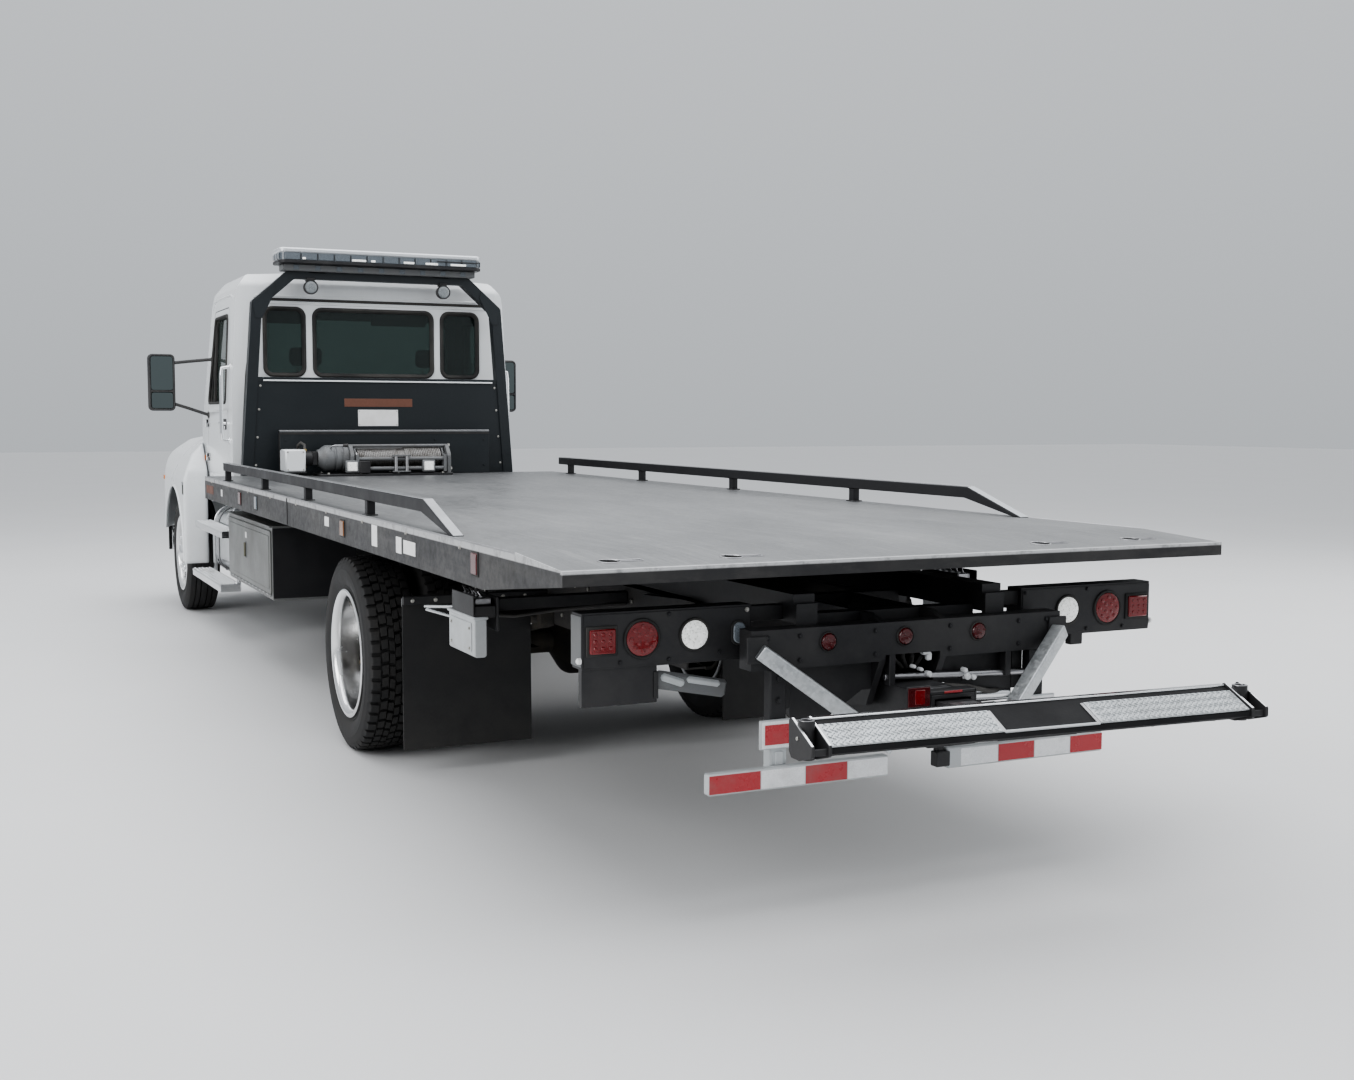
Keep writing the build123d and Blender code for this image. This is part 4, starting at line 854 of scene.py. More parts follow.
def rib_tyre(kit, x, y, z):
    """Steer tyre: five ribs between four zigzag grooves."""
    n = 144
    loops = []
    for i in range(n):
        zig = 0.0016 if i % 2 else -0.0016
        right = [(t, r) for t, r in SIDEWALL]
        top = [(0.1085, 0.4560), (0.1060, crown(0.105) - 0.0015), (0.1020, crown(0.102))]
        for lo, hi in ((0.060, 0.070), (0.020, 0.030)):
            top += [(hi + zig, crown(hi)), (hi - 0.002 + zig, 0.4545), (lo + 0.002 + zig, 0.4545), (lo + zig, crown(lo))]
        left = [(-t, r) for t, r in right]
        topl = [(-0.1085, 0.4560), (-0.1060, crown(0.105) - 0.0015), (-0.1020, crown(0.102))]
        for lo, hi in ((0.060, 0.070), (0.020, 0.030)):
            topl += [(-hi + zig, crown(hi)), (-hi + 0.002 + zig, 0.4545), (-lo - 0.002 + zig, 0.4545), (-lo + zig, crown(lo))]
        loops.append(left + topl + top[::-1] + right[::-1])
    columns(kit, loops, x, y, z, "tyre")
    shoulder_bars(kit, x, y, z, 72)


def shoulder_bars(kit, x, y, z, count):
    for s in (-1, 1):
        for i in range(count):
            a = 2 * math.pi * i / count
            sec = [(s * 0.1188, 0.4300), (s * 0.1205, 0.4305), (s * 0.1120, 0.4530), (s * 0.1085, 0.4520)]
            arc_prism(kit, sec, a, a + 0.022, x, y, z, "tyre")


def drive_tyre(kit, x, y, z):
    """Drive tyre: shoulder lugs and staggered blocks on a carcass."""
    half = [(t, r) for t, r in SIDEWALL] + [(0.1080, 0.4515), (0.0600, 0.4530)]
    loop = [(-t, r) for t, r in half] + [(t, r) for t, r in half[::-1]]
    columns(kit, [loop] * 96, x, y, z, "tyre")
    count = 50
    step = 2 * math.pi / count
    for s in (-1, 1):
        for i in range(count):
            a = i * step + (0.0 if s > 0 else step / 2)
            sec = [(s * 0.0700, 0.4500), (s * 0.0705, crown(0.070)), (s * 0.1000, crown(0.100)), (s * 0.1060, crown(0.106) - 0.002),
                   (s * 0.1190, 0.4360), (s * 0.1165, 0.4330), (s * 0.1040, 0.4480)]
            arc_prism(kit, sec, a, a + step * 0.74, x, y, z, "tyre", skew=s * 0.10)
            sec = [(s * 0.0325, 0.4500), (s * 0.0330, crown(0.033)), (s * 0.0620, crown(0.062)), (s * 0.0625, 0.4500)]
            arc_prism(kit, sec, a + step * 0.5, a + step * 1.26, x, y, z, "tyre", skew=-s * 0.35)
            sec = [(s * 0.0020, 0.4500), (s * 0.0022, crown(0.002)), (s * 0.0265, crown(0.0265)), (s * 0.0270, 0.4500)]
            arc_prism(kit, sec, a + step * 0.15, a + step * 0.93, x, y, z, "tyre", skew=s * 0.45)


def rim(kit, x, y, z, mat):
    """Barrel of a 22.5 in rim with rolled lips."""
    half = [(0.1075, 0.2880), (0.1095, 0.2935), (0.1090, 0.3080), (0.1125, 0.3107), (0.1180, 0.3103), (0.1213, 0.3065), (0.1220, 0.3010),
            (0.1205, 0.2935), (0.1165, 0.2845), (0.1080, 0.2765), (0.0950, 0.2715), (0.0750, 0.2700)]
    loop = [(-0.085, 0.282), (0.085, 0.282)] + half + [(-t, r) for t, r in half[::-1]]
    kit.lathe(loop, (x, y, z), (1, 0, 0), mat, 96)


def hand_hole_disc(kit, y, z, r_in, r_out, hole_at, hole_r, face, back, mat, count=10, n=24):
    """A disc with hand holes; face(r) and back(r) give x on its two sides."""
    rows, half = 6, math.pi / count
    mid = (r_in + r_out) / 2
    for k in range(count):
        mid_a = 2 * half * k
        for side_of, flip in ((face, False), (back, True)):
            verts = []
            for i in range(n):
                phi = 2 * math.pi * i / n
                c, s = math.cos(phi), math.sin(phi)
                m = max(abs(c), abs(s))
                ur, ua = c / m, s / m
                outer_r = mid + ur * (r_out - r_in) / 2
                outer_a = ua * half
                hr = math.hypot(hole_at + hole_r * c, hole_r * s)
                ha = math.atan2(hole_r * s, hole_at + hole_r * c)
                for j in range(rows):
                    t = j / (rows - 1)
                    r, a = hr + (outer_r - hr) * t, mid_a + ha + (outer_a - ha) * t
                    verts.append((side_of(r), y + r * math.cos(a), z + r * math.sin(a)))
            faces = []
            for i in range(n):
                l = (i + 1) % n
                for j in range(rows - 1):
                    q = [i * rows + j, i * rows + j + 1, l * rows + j + 1, l * rows + j]
                    faces.append(q[::-1] if flip else q)
            kit.add(verts, faces, mat)
        verts, faces = [], []
        for i in range(n):
            phi = 2 * math.pi * i / n
            r = math.hypot(hole_at + hole_r * math.cos(phi), hole_r * math.sin(phi))
            a = mid_a + math.atan2(hole_r * math.sin(phi), hole_at + hole_r * math.cos(phi))
            for f in (face, back):
                verts.append((f(r), y + r * math.cos(a), z + r * math.sin(a)))
        for i in range(n):
            l = (i + 1) % n
            faces.append([2 * i, 2 * l, 2 * l + 1, 2 * i + 1])
        kit.add(verts, faces, mat)


def lug_ring(kit, x, y, z, r, count, nut, h, mat, stud=0.0, turn=0.0):
    for k in range(count):
        a = 2 * math.pi * k / count + turn
        p = (x, y + r * math.cos(a), z + r * math.sin(a))
        kit.lathe([(0, 0), (0, nut * 1.22), (0.004, nut * 1.15), (0.004, 0)], p, (1, 0, 0), mat, 20, closed=False)
        kit.hexbolt((x + 0.004, p[1], p[2]), (1, 0, 0), nut, h, mat, stud)


def smoothstep(t):
    t = min(1.0, max(0.0, t))
    return t * t * (3 - 2 * t)


left = Kit()
rib_tyre(left, 1.075, FRONT_Y, AXLE_Z)
left.make("left_front_tyre_tread", "left_front_wheel", ["front_tyre_left"], "tyre")
Kit().merge(left, MIRROR).make("right_front_tyre_tread", "right_front_wheel", ["front_tyre_right"], "tyre")

left = Kit()
drive_tyre(left, 1.0945, REAR_Y, AXLE_Z)
drive_tyre(left, 0.7945, REAR_Y, AXLE_Z)
left.make("left_rear_tyre_treads", "left_rear_wheels", ["rear_tyres_left"], "tyre")
Kit().merge(left, MIRROR).make("right_rear_tyre_treads", "right_rear_wheels", ["rear_tyres_right"], "tyre")

# front wheel: disc near the outer side, chrome nut covers and hub cap
left = Kit()
rim(left, 1.075, FRONT_Y, AXLE_Z, "alloy")


def front_face(r):
    return 1.1250 + 0.0190 * smoothstep((0.262 - r) / 0.075)


hand_hole_disc(left, FRONT_Y, AXLE_Z, 0.100, 0.272, 0.2100, 0.027, front_face, lambda r: front_face(r) - 0.014, "alloy")
left.lathe([(1.1440, 0.0), (1.1440, 0.102), (1.1300, 0.102), (1.1300, 0.0)], (0, FRONT_Y, AXLE_Z), (1, 0, 0), "alloy", 64, closed=False)
left.lathe([(1.1440, 0.098), (1.1500, 0.096), (1.1560, 0.092), (1.1800, 0.089), (1.1850, 0.084), (1.1880, 0.076), (1.1960, 0.070),
            (1.2050, 0.060), (1.2115, 0.045), (1.2145, 0.022), (1.2150, 0.0)], (0, FRONT_Y, AXLE_Z), (1, 0, 0), "chrome", 64, closed=False)
for k in range(10):
    a = 2 * math.pi * (k + 0.5) / 10
    p = (1.144, FRONT_Y + 0.1427 * math.cos(a), AXLE_Z + 0.1427 * math.sin(a))
    left.lathe([(0, 0.0245), (0.003, 0.0245), (0.006, 0.0205), (0.040, 0.0185), (0.047, 0.0165), (0.051, 0.010), (0.052, 0.0)],
               p, (1, 0, 0), "chrome", 20, closed=False)
lug_ring(left, 1.1855, FRONT_Y, AXLE_Z, 0.0800, 5, 0.0055, 0.004, "bolt")
left.lathe([(0.985, 0.196), (0.985, 0.2145), (1.000, 0.2145), (1.002, 0.2105), (1.012, 0.2105), (1.014, 0.2145), (1.088, 0.2145), (1.098, 0.205),
            (1.104, 0.150), (1.104, 0.045), (1.090, 0.045), (1.088, 0.196)], (0, FRONT_Y, AXLE_Z), (1, 0, 0), "cast", 64)
left.lathe([(1.100, 0.045), (1.100, 0.135), (1.128, 0.150), (1.128, 0.045)], (0, FRONT_Y, AXLE_Z), (1, 0, 0), "cast", 48)
left.sweep([(1.118, FRONT_Y + 0.262, AXLE_Z), (1.135, FRONT_Y + 0.257, AXLE_Z), (1.160, FRONT_Y + 0.250, AXLE_Z)], 0.0042, "brass", 10)
left.make("left_front_wheel_disc", "left_front_wheel", ["front_wheel_left"], "aluminium")
Kit().merge(left, MIRROR).make("right_front_wheel_disc", "right_front_wheel", ["front_wheel_right"], "aluminium")

# rear wheels: two discs back to back, so that the outer one is a deep dish
left = Kit()
rim(left, 1.0945, REAR_Y, AXLE_Z, "alloy")
rim(left, 0.7945, REAR_Y, AXLE_Z, "steel")


def dish(r):
    return 0.9600 + 0.040 * smoothstep((r - 0.215) / 0.055) ** 1.5


def inner_dish(r):
    return 1.889 - dish(r)


hand_hole_disc(left, REAR_Y, AXLE_Z, 0.095, 0.271, 0.2050, 0.027, dish, lambda r: dish(r) - 0.0145, "alloy")
hand_hole_disc(left, REAR_Y, AXLE_Z, 0.095, 0.271, 0.2050, 0.027, lambda r: inner_dish(r) + 0.0145, inner_dish, "steel")
left.lathe([(0.958, 0.2685), (0.999, 0.2710), (1.010, 0.2705), (1.010, 0.2765), (0.990, 0.2800), (0.958, 0.2740)], (0, REAR_Y, AXLE_Z),
           (1, 0, 0), "alloy", 96)
left.lathe([(0.9600, 0.115), (0.9680, 0.113), (0.9740, 0.106), (1.0200, 0.099), (1.0400, 0.097), (1.0450, 0.103), (1.0560, 0.103),
            (1.0590, 0.100), (1.0590, 0.070), (1.0680, 0.064), (1.0740, 0.052), (1.0745, 0.0)], (0, REAR_Y, AXLE_Z), (1, 0, 0), "cast", 64,
           closed=False)
lug_ring(left, 1.0590, REAR_Y, AXLE_Z, 0.0850, 8, 0.0085, 0.008, "bolt", 0.002)
lug_ring(left, 0.9600, REAR_Y, AXLE_Z, 0.1427, 10, 0.0185, 0.026, "bolt", 0.014, math.pi / 10)
left.lathe([(0.720, 0.198), (0.720, 0.216), (0.736, 0.216), (0.738, 0.211), (0.752, 0.211), (0.754, 0.216), (0.915, 0.216), (0.928, 0.205),
            (0.930, 0.150), (0.930, 0.0455), (0.905, 0.0455), (0.905, 0.198)], (0, REAR_Y, AXLE_Z), (1, 0, 0), "cast", 64)
for k in (0, 5):
    a = 2 * math.pi * (k + 0.5) / 10
    c, s = math.cos(a), math.sin(a)
    left.sweep([(0.990, REAR_Y + 0.262 * c, AXLE_Z + 0.262 * s), (1.020, REAR_Y + 0.250 * c, AXLE_Z + 0.250 * s),
                (1.080, REAR_Y + 0.243 * c, AXLE_Z + 0.243 * s)], 0.0042, "brass", 10)
left.make("left_rear_wheel_discs", "left_rear_wheels", ["rear_wheels_left"], "aluminium")
Kit().merge(left, MIRROR).make("right_rear_wheel_discs", "right_rear_wheels", ["rear_wheels_right"], "aluminium")

# ------------------------------------------------------------------ lamps and tail
def round_lamp(kit, p, axis, r, glass_mat, diodes=0, ring_mat="rubber", deep=0.010):
    """Lamp in a rubber grommet. p is the middle of its seat."""
    kit.lathe([(-0.004, r * 0.80), (-0.004, r), (0.003, r), (0.0065, r * 0.965), (0.0070, r * 0.90), (0.0045, r * 0.845), (0.0020, r * 0.83)],
              p, axis, ring_mat, 40)
    kit.lathe([(0.0015, r * 0.84), (0.0050, r * 0.83), (deep * 0.85, r * 0.72), (deep * 0.97, r * 0.45), (deep, 0.0)], p, axis, glass_mat, 40,
              closed=False)
    a = Vector(axis).normalized()
    u = a.orthogonal().normalized()
    v = a.cross(u)
    for k in range(diodes):
        ring, inner = (0.60, diodes * 2 // 3) if k < diodes * 2 // 3 else (0.28, diodes - diodes * 2 // 3)
        t = 2 * math.pi * k / inner
        c = Vector(p) + (u * math.cos(t) + v * math.sin(t)) * r * ring
        kit.lathe([(deep * 0.80, r * 0.12), (deep * 1.08, r * 0.11), (deep * 1.22, r * 0.06), (deep * 1.25, 0)], c, axis, glass_mat, 12,
                  closed=False)


def bolt_at(kit, p, axis, r=0.008, mat="bolt"):
    kit.lathe([(0, 0), (0, r * 1.35), (0.0015, r * 1.3), (0.0015, 0)], p, axis, mat, 16, closed=False)
    kit.hexbolt(Vector(p) + Vector(axis) * 0.0015, axis, r, r * 0.75, mat)


back = (0, 1, 0)
lamps = Kit()
for s in (1, -1):
    face = 4.430
    # steel pocket round the lamps
    lamps.box((s * 0.556, s * 1.144), (face, face + 0.003), (0.826, 0.994), "black", 0.001)
    lamps.box((s * 1.030, s * 1.138), (face + 0.002, face + 0.010), (0.862, 0.958), "rubber", 0.003)
    lamps.box((s * 1.040, s * 1.128), (face + 0.006, face + 0.018), (0.871, 0.949), "red", 0.004)
    for k in range(3):
        for j in range(3):
            lamps.lathe([(0, 0.007), (0.003, 0.005), (0.0035, 0)], (s * (1.058 + 0.026 * k), face + 0.018, 0.888 + 0.022 * j), back, "red", 10, closed=False)
    round_lamp(lamps, (s * 0.945, face + 0.003, 0.910), back, 0.066, "red", 12)
    round_lamp(lamps, (s * 0.760, face + 0.003, 0.912), back, 0.056, "led", 9)
    if s > 0:
        lamps.prism(rounded([(0.572, 0.868, 0.026), (0.628, 0.868, 0.026), (0.628, 0.952, 0.026), (0.572, 0.952, 0.026)], 8), "y", face + 0.002, face + 0.009,
                    "rubber", 0.002)
        lamps.prism(rounded([(0.578, 0.876, 0.020), (0.622, 0.876, 0.020), (0.622, 0.944, 0.020), (0.578, 0.944, 0.020)], 8), "y", face + 0.008, face + 0.015,
                    "grey_lens", 0.003)
    for x, z in ((0.568, 0.983), (0.568, 0.838), (0.850, 0.838), (0.850, 0.984), (1.020, 0.838), (0.668, 0.850)):
        bolt_at(lamps, (s * x, face + 0.003, z), back, 0.006, "bolt" if s > 0 and x < 0.6 else "rail")
    # bare outer end plate with a small pale fitting at its foot
    lamps.box((s * 1.1495, s * 1.1525), (4.345, 4.428), (0.830, 0.990), "grey_plastic", 0.001)
    lamps.lathe([(0, 0.0), (0, 0.011), (0.010, 0.010), (0.014, 0.005), (0.014, 0.0)], (s * 1.1520, 4.424, 0.850), (s, 0, 0), "label", 16, closed=False)
    # wiring behind
    lamps.sweep([(s * 0.945, 4.352, 0.91), (s * 0.945, 4.32, 0.90), (s * 0.86, 4.30, 0.88), (s * 0.70, 4.31, 0.90), (s * 0.52, 4.33, 0.93),
                 (s * 0.43, 4.36, 0.95)], 0.007, "hose", 10)
    for x in (0.600, 0.760, 0.945, 1.085):
        lamps.lathe([(0, 0.045), (0.018, 0.040), (0.020, 0.012), (0.030, 0.010), (0.030, 0)], (s * x, 4.352, 0.910), (0, -1, 0), "plastic", 24, closed=False)
# number plate light and blank white label of the right box
lamps.box((-0.638, -0.556), (4.433, 4.437), (0.812, 0.838), "label", 0.001)
lamps.box((-0.590, -0.560), (4.433, 4.437), (0.856, 0.876), "grey", 0.001)
lamps.box((-0.838, -0.782), (4.396, 4.428), (0.780, 0.832), "black", 0.003)
# skirt and stay under the left box
lamps.box((0.888, 1.148), (4.396, 4.424), (0.700, 0.824), "black", 0.002)
lamps.box((0.885, 0.900), (4.392, 4.430), (0.712, 0.800), "black", 0.002)
lamps.beam((0.632, 4.405, 0.722), (0.888, 4.405, 0.772), 0.026, 0.060, "grey_plastic", b=0.010)
lamps.beam((0.660, 4.420, 0.742), (0.780, 4.420, 0.766), 0.020, 0.022, "grey", b=0.008)
lamps.beam((0.790, 4.420, 0.752), (0.872, 4.420, 0.782), 0.018, 0.026, "grey", b=0.008)
lamps.make("tail_lamps", "subframe", [], "red_lamp")

tail = Kit()
# markers, hoses and brackets of the tail beam
for x in (-0.265, 0.035, 0.335):
    round_lamp(tail, (x, 4.560, 0.880), back, 0.034, "red_dim", 5, deep=0.012)
for x in (-0.56, -0.44, -0.15, 0.15, 0.44, 0.56):
    for z in (0.826, 0.905):
        bolt_at(tail, (x, 4.560, z), back, 0.007, "rail")
tail.rod((-0.480, 4.536, 0.720), (0.100, 4.536, 0.742), 0.011, "steel")
tail.rod((-0.440, 4.500, 0.640), (-0.105, 4.500, 0.652), 0.021, "aluminium", 28)
tail.rod((-0.105, 4.500, 0.652), (-0.030, 4.500, 0.655), 0.012, "chrome", 24)
for x in (-0.400, 0.080):
    tail.box((x - 0.012, x + 0.012), (4.520, 4.558), (0.715, 0.832), "black", 0.002)
tail.sweep([(-0.020, 4.520, 0.712), (-0.110, 4.540, 0.700), (-0.240, 4.545, 0.685), (-0.340, 4.535, 0.660), (-0.400, 4.505, 0.655)], 0.009, "hose", 12)
# hydraulic valve, fittings and hoses that feed the lift
tail.box((-0.085, 0.060), (4.440, 4.505), (0.835, 0.905), "steel", 0.004)
for k in range(4):
    x = -0.070 + k * 0.038
    tail.hexbolt((x, 4.505, 0.853), (0, 0.35, -1), 0.0095, 0.016, "brass")
    tail.sweep([(x, 4.507, 0.842), (x + 0.01, 4.520, 0.80), (x + 0.02 - 0.02 * k, 4.50, 0.765), (x - 0.02, 4.42, 0.745), (0.105 - 0.010 * k, 4.25, 0.750),
                (0.100 - 0.012 * k, 4.05, 0.775), (0.10 - 0.014 * k, 3.99, 0.86), (0.16 + 0.01 * k, 3.965, 0.885)], 0.0085, "hose", 10)
tail.hexbolt((-0.045, 4.505, 0.888), back, 0.012, 0.012, "chrome")
tail.hexbolt((0.030, 4.505, 0.888), back, 0.012, 0.012, "chrome")
# pale valve bodies and fittings against the dark beam
tail.frame_box(Vector((-0.060, 4.545, 0.822)), Vector((1, 0, 0)), Vector((0, 1, 0)), Vector((0, 0, 1)), 0.017, 0.012, 0.013, "tape_white", 0.004)
tail.frame_box(Vector((-0.072, 4.545, 0.803)), Vector((1, 0, 0)), Vector((0, 1, 0)), Vector((0, 0, 1)), 0.010, 0.010, 0.014, "tape_white", 0.004)
for x, z, r in ((-0.010, 0.772, 0.007), (-0.040, 0.760, 0.007), (-0.072, 0.742, 0.011), (-0.222, 0.745, 0.009), (-0.232, 0.722, 0.012), (-0.258, 0.718, 0.010)):
    tail.lathe([(-0.014, 0.0), (-0.014, r), (0.006, r), (0.010, r * 0.7), (0.010, 0.0)], (x, 4.548, z), back, "tape_white", 14, closed=False)
tail.box((-0.275, -0.215), (4.530, 4.548), (0.712, 0.724), "steel", 0.002)
# dark end block of the right bumper bar and its bracket
tail.box((-0.128, -0.072), (4.566, 4.604), (0.430, 0.482), "black", 0.003)
tail.box((-0.112, -0.086), (4.560, 4.590), (0.478, 0.520), "black", 0.003)
# grey plates and reflectors on the posts of the bumpers
for s in (1, -1):
    tail.box((s * 0.470, s * 0.592), (4.562, 4.575), (0.545, 0.640), "grey", 0.002)
    tail.box((s * 0.474, s * 0.588), (4.575, 4.5765), (0.549, 0.636), "tape_white", 0.0004)
    tail.box((s * 0.485, s * 0.577), (4.5765, 4.578), (0.560, 0.625), "tape_red", 0.0004)
    tail.box((s * 0.492, s * 0.548), (4.5625, 4.5665), (0.492, 0.545), "grey", 0.001)
    bolt_at(tail, (s * 0.520, 4.562, 0.700), back, 0.009, "rail")
    bolt_at(tail, (s * 0.520, 4.562, 0.770), back, 0.009, "rail")
    bolt_at(tail, (s * 0.610, 4.560, 0.880), back, 0.008, "rail")
    # gusset between the hanging plate and the post
    tail.box((s * 0.448, s * 0.494), (4.492, 4.5145), (0.660, 0.802), "black", 0.002)
    # clevis and pin at each end of the stays
    tail.box((s * 0.566, s * 0.640), (4.560, 4.572), (0.826, 0.912), "black", 0.002)
tail.make("tail_beam_fittings", "subframe", [], "chassis_paint")

bars = Kit()
for s, cuts in ((1, ((0.790, 0.604, "tape_red"), (0.604, 0.440, "tape_white"), (0.440, 0.280, "tape_red"), (0.280, 0.122, "tape_white"))),
                (-1, ((0.790, 0.644, "tape_red"), (0.644, 0.486, "tape_white"), (0.486, 0.330, "tape_red"), (0.330, 0.172, "tape_white")))):
    bars.box((s * 0.120, s * 0.790), (4.563, 4.601), (0.421, 0.490), "grey", 0.004)
    for a, b, mat in cuts:
        bars.box((s * (a - 0.0015), s * (b + 0.0015)), (4.6005, 4.6018), (0.4265, 0.4855), mat, 0.0003)
    bars.box((s * 0.490, s * 0.550), (4.515, 4.5615), (0.440, 0.560), "grey", 0.004)
    bars.box((s * 0.490, s * 0.550), (4.515, 4.5615), (0.558, 0.800), "rail", 0.004)
    bars.box((s * 0.505, s * 0.535), (4.540, 4.5725), (0.4895, 0.5350), "grey", 0.003)
bars.make("tail_bumper_bars", "subframe", ["tail_bumpers"], "chassis_paint")

# crossbar of the wheel lift: black channel, zinc grip plates, black ears; drawn square, then swivelled as it stands
cross = Kit()
SWIVEL = Vector((0, 5.140, 0))
SECTION = [(5.155, 0.662), (5.155, 0.740), (5.164, 0.754), (5.176, 0.762), (5.297, 0.703), (5.300, 0.697), (5.300, 0.687), (5.225, 0.663)]
cross.prism(SECTION, "x", -0.738, 0.738, "soot", 0.003)
slope = Vector((0, 5.297 - 5.176, 0.703 - 0.762)).normalized()
lift = slope.cross(Vector((1, 0, 0)))
lift = lift if lift.z > 0 else -lift
# bright rolled edge over the whole length and the light lower lip of the middle
cross.box((-0.736, 0.736), (5.1580, 5.1820), (0.7590, 0.7660), "aluminium", 0.002)
cross.box((-0.168, 0.168), (5.2840, 5.3010), (0.7020, 0.7080), "grey", 0.002)
for s in (1, -1):
    x_in, x_out = 0.172, 0.733
    c = Vector((s * (x_in + x_out) / 2, 5.2515, 0.7260)) + lift * 0.0028
    hx, hs = (x_out - x_in) / 2, 0.0505
    cross.frame_box(c, Vector((1, 0, 0)), slope, Vector((1, 0, 0)).cross(slope), hx, hs, 0.0028, "zinc", 0.0010)
    cross.frame_box(c + Vector((-s * (hx + 0.006), 0, 0)) - lift * 0.0012, Vector((1, 0, 0)), slope, Vector((1, 0, 0)).cross(slope), 0.0055, hs, 0.0016, "steel", 0.0006)
    for i in range(54):
        for j in range(6):
            q = c + Vector((-hx + 0.012 + i * (2 * hx - 0.024) / 53, 0, 0)) + slope * (-0.040 + j * 0.0160 + (0.008 if i % 2 else 0.0) - 0.004) + lift * 0.0026
            tilt = 0.75 if (i + j) % 2 else -0.75
            ax = (Vector((1, 0, 0)) * math.cos(tilt) + slope * math.sin(tilt)).normalized()
            ay = lift.cross(ax)
            w, h, t = 0.0078, 0.0025, 0.0034
            verts = [q + ax * (w * a) + ay * (h * b) for a, b in ((-1, 0), (0, -1), (1, 0), (0, 1))] + [
                q + ax * (w * 0.45 * a) + ay * (h * 0.5 * b) + lift * t for a, b in ((-1, 0), (0, -1), (1, 0), (0, 1))]
            cross.add(verts, [[4, 5, 6, 7], [0, 1, 5, 4], [1, 2, 6, 5], [2, 3, 7, 6], [3, 0, 4, 7]], "zinc")
    # two slanted ears with rubbed edges, and the arm's pin boss between them
    ear = [(5.166, 0.676), (5.166, 0.762), (5.171, 0.769), (5.180, 0.771), (5.306, 0.712), (5.308, 0.706), (5.308, 0.684), (5.303, 0.679), (5.230, 0.658), (5.180, 0.658)]
    for x0, x1 in ((0.736, 0.746), (0.790, 0.800)):
        cross.prism(ear, "x", *sorted((s * x0, s * x1)), "black", 0.0015)
        mid = (x0 + x1) / 2
        cross.beam((s * mid, 5.181, 0.7712), (s * mid, 5.305, 0.7127), 0.0075, 0.0022, "aluminium", b=0.0007)
    cross.box((s * 0.744, s * 0.792), (5.186, 5.194), (0.662, 0.752), "black", 0.002)
    cross.box((s * 0.744, s * 0.792), (5.288, 5.298), (0.683, 0.702), "black", 0.002)
    cross.lathe([(0.658, 0.016), (0.658, 0.024), (0.768, 0.024), (0.768, 0.016)], (s * 0.768, 5.214, 0), (0, 0, 1), "black", 32)
    cross.lathe([(0.7675, 0.0160), (0.7675, 0.0225), (0.7695, 0.0220), (0.7695, 0.0165)], (s * 0.768, 5.214, 0), (0, 0, 1), "steel", 32)
    cross.rod((s * 0.799, 5.222, 0.720), (s * 0.8035, 5.222, 0.720), 0.006, "bolt", 12, 0.001)
    for k in range(3):
        bolt_at(cross, (s * (0.20 + 0.24 * k), 5.200, 0.6622), (0, 0, -1), 0.006)
# yoke: two plates with rounded front ends and side cheeks
for z0, z1 in ((0.660, 0.674), (0.722, 0.736)):
    yoke = [(0.140, 5.222), (0.140, 5.140)] + [(0.078 * math.cos(math.radians(a)), 5.140 - 0.078 * math.sin(math.radians(a))) for a in range(0, 181, 12)] + [
        (-0.140, 5.140), (-0.140, 5.222)]
    cross.prism(yoke[::-1], "z", z0, z1, "black", 0.0015)
for x in (-0.134, 0.134):
    cross.box((x - 0.006, x + 0.006), (5.150, 5.158), (0.673, 0.723), "black", 0.001)
cross.lathe([(0.7355, 0.0255), (0.7355, 0.046), (0.7400, 0.044), (0.7400, 0.0255)], (0, 5.140, 0), (0, 0, 1), "steel", 32)
turned = Kit()
turned.merge(cross, Matrix.Translation(SWIVEL) @ Matrix.Rotation(math.radians(-3.5), 4, "Z") @ Matrix.Translation(-SWIVEL))
turned.make("crossbar_plates", "crossbar", ["lift_crossbar"], "galvanised")

lift_kit = Kit()
lift_kit.lathe([(0.7435, 0.0), (0.7435, 0.0245), (0.7480, 0.0220), (0.7480, 0.0)], (0, 5.140, 0), (0, 0, 1), "steel", 28, closed=False)
lift_kit.rod((0, 5.140, 0.6525), (0, 5.140, 0.7436), 0.0247, "steel", 28)
# worn wear pads along the stinger's top
lift_kit.box((-0.050, 0.050), (4.830, 5.005), (0.6985, 0.7005), "steel", 0.001)
lift_kit.make("swivel_pin", "stinger", [], "steel")

boom_kit = Kit()
# wear collar, latch pin and reflector at the boom's open end
boom_kit.box((-0.092, 0.092), (4.735, 4.788), (0.720, 0.732), "black", 0.002)
boom_kit.box((-0.092, 0.092), (4.735, 4.788), (0.548, 0.560), "black", 0.002)
for s in (1, -1):
    boom_kit.box((s * 0.085, s * 0.095), (4.735, 4.788), (0.548, 0.732), "black", 0.002)
    bolt_at(boom_kit, (s * 0.095, 4.762, 0.590), (s, 0, 0), 0.009)
    bolt_at(boom_kit, (s * 0.095, 4.762, 0.690), (s, 0, 0), 0.009)
boom_kit.box((-0.035, 0.035), (4.7885, 4.7915), (0.7235, 0.7305), "tape_red", 0.0006)
boom_kit.box((-0.040, 0.040), (4.690, 4.730), (0.7205, 0.7300), "steel", 0.003)
boom_kit.box((0.088, 0.180), (4.7840, 4.7900), (0.6840, 0.7540), "black", 0.002)
boom_kit.box((0.092, 0.176), (4.7895, 4.7925), (0.6880, 0.7500), "red_dim", 0.001)
boom_kit.box((0.112, 0.150), (4.7915, 4.7945), (0.6950, 0.7420), "red", 0.002)
boom_kit.make("boom_collar", "boom", [], "chassis_paint")

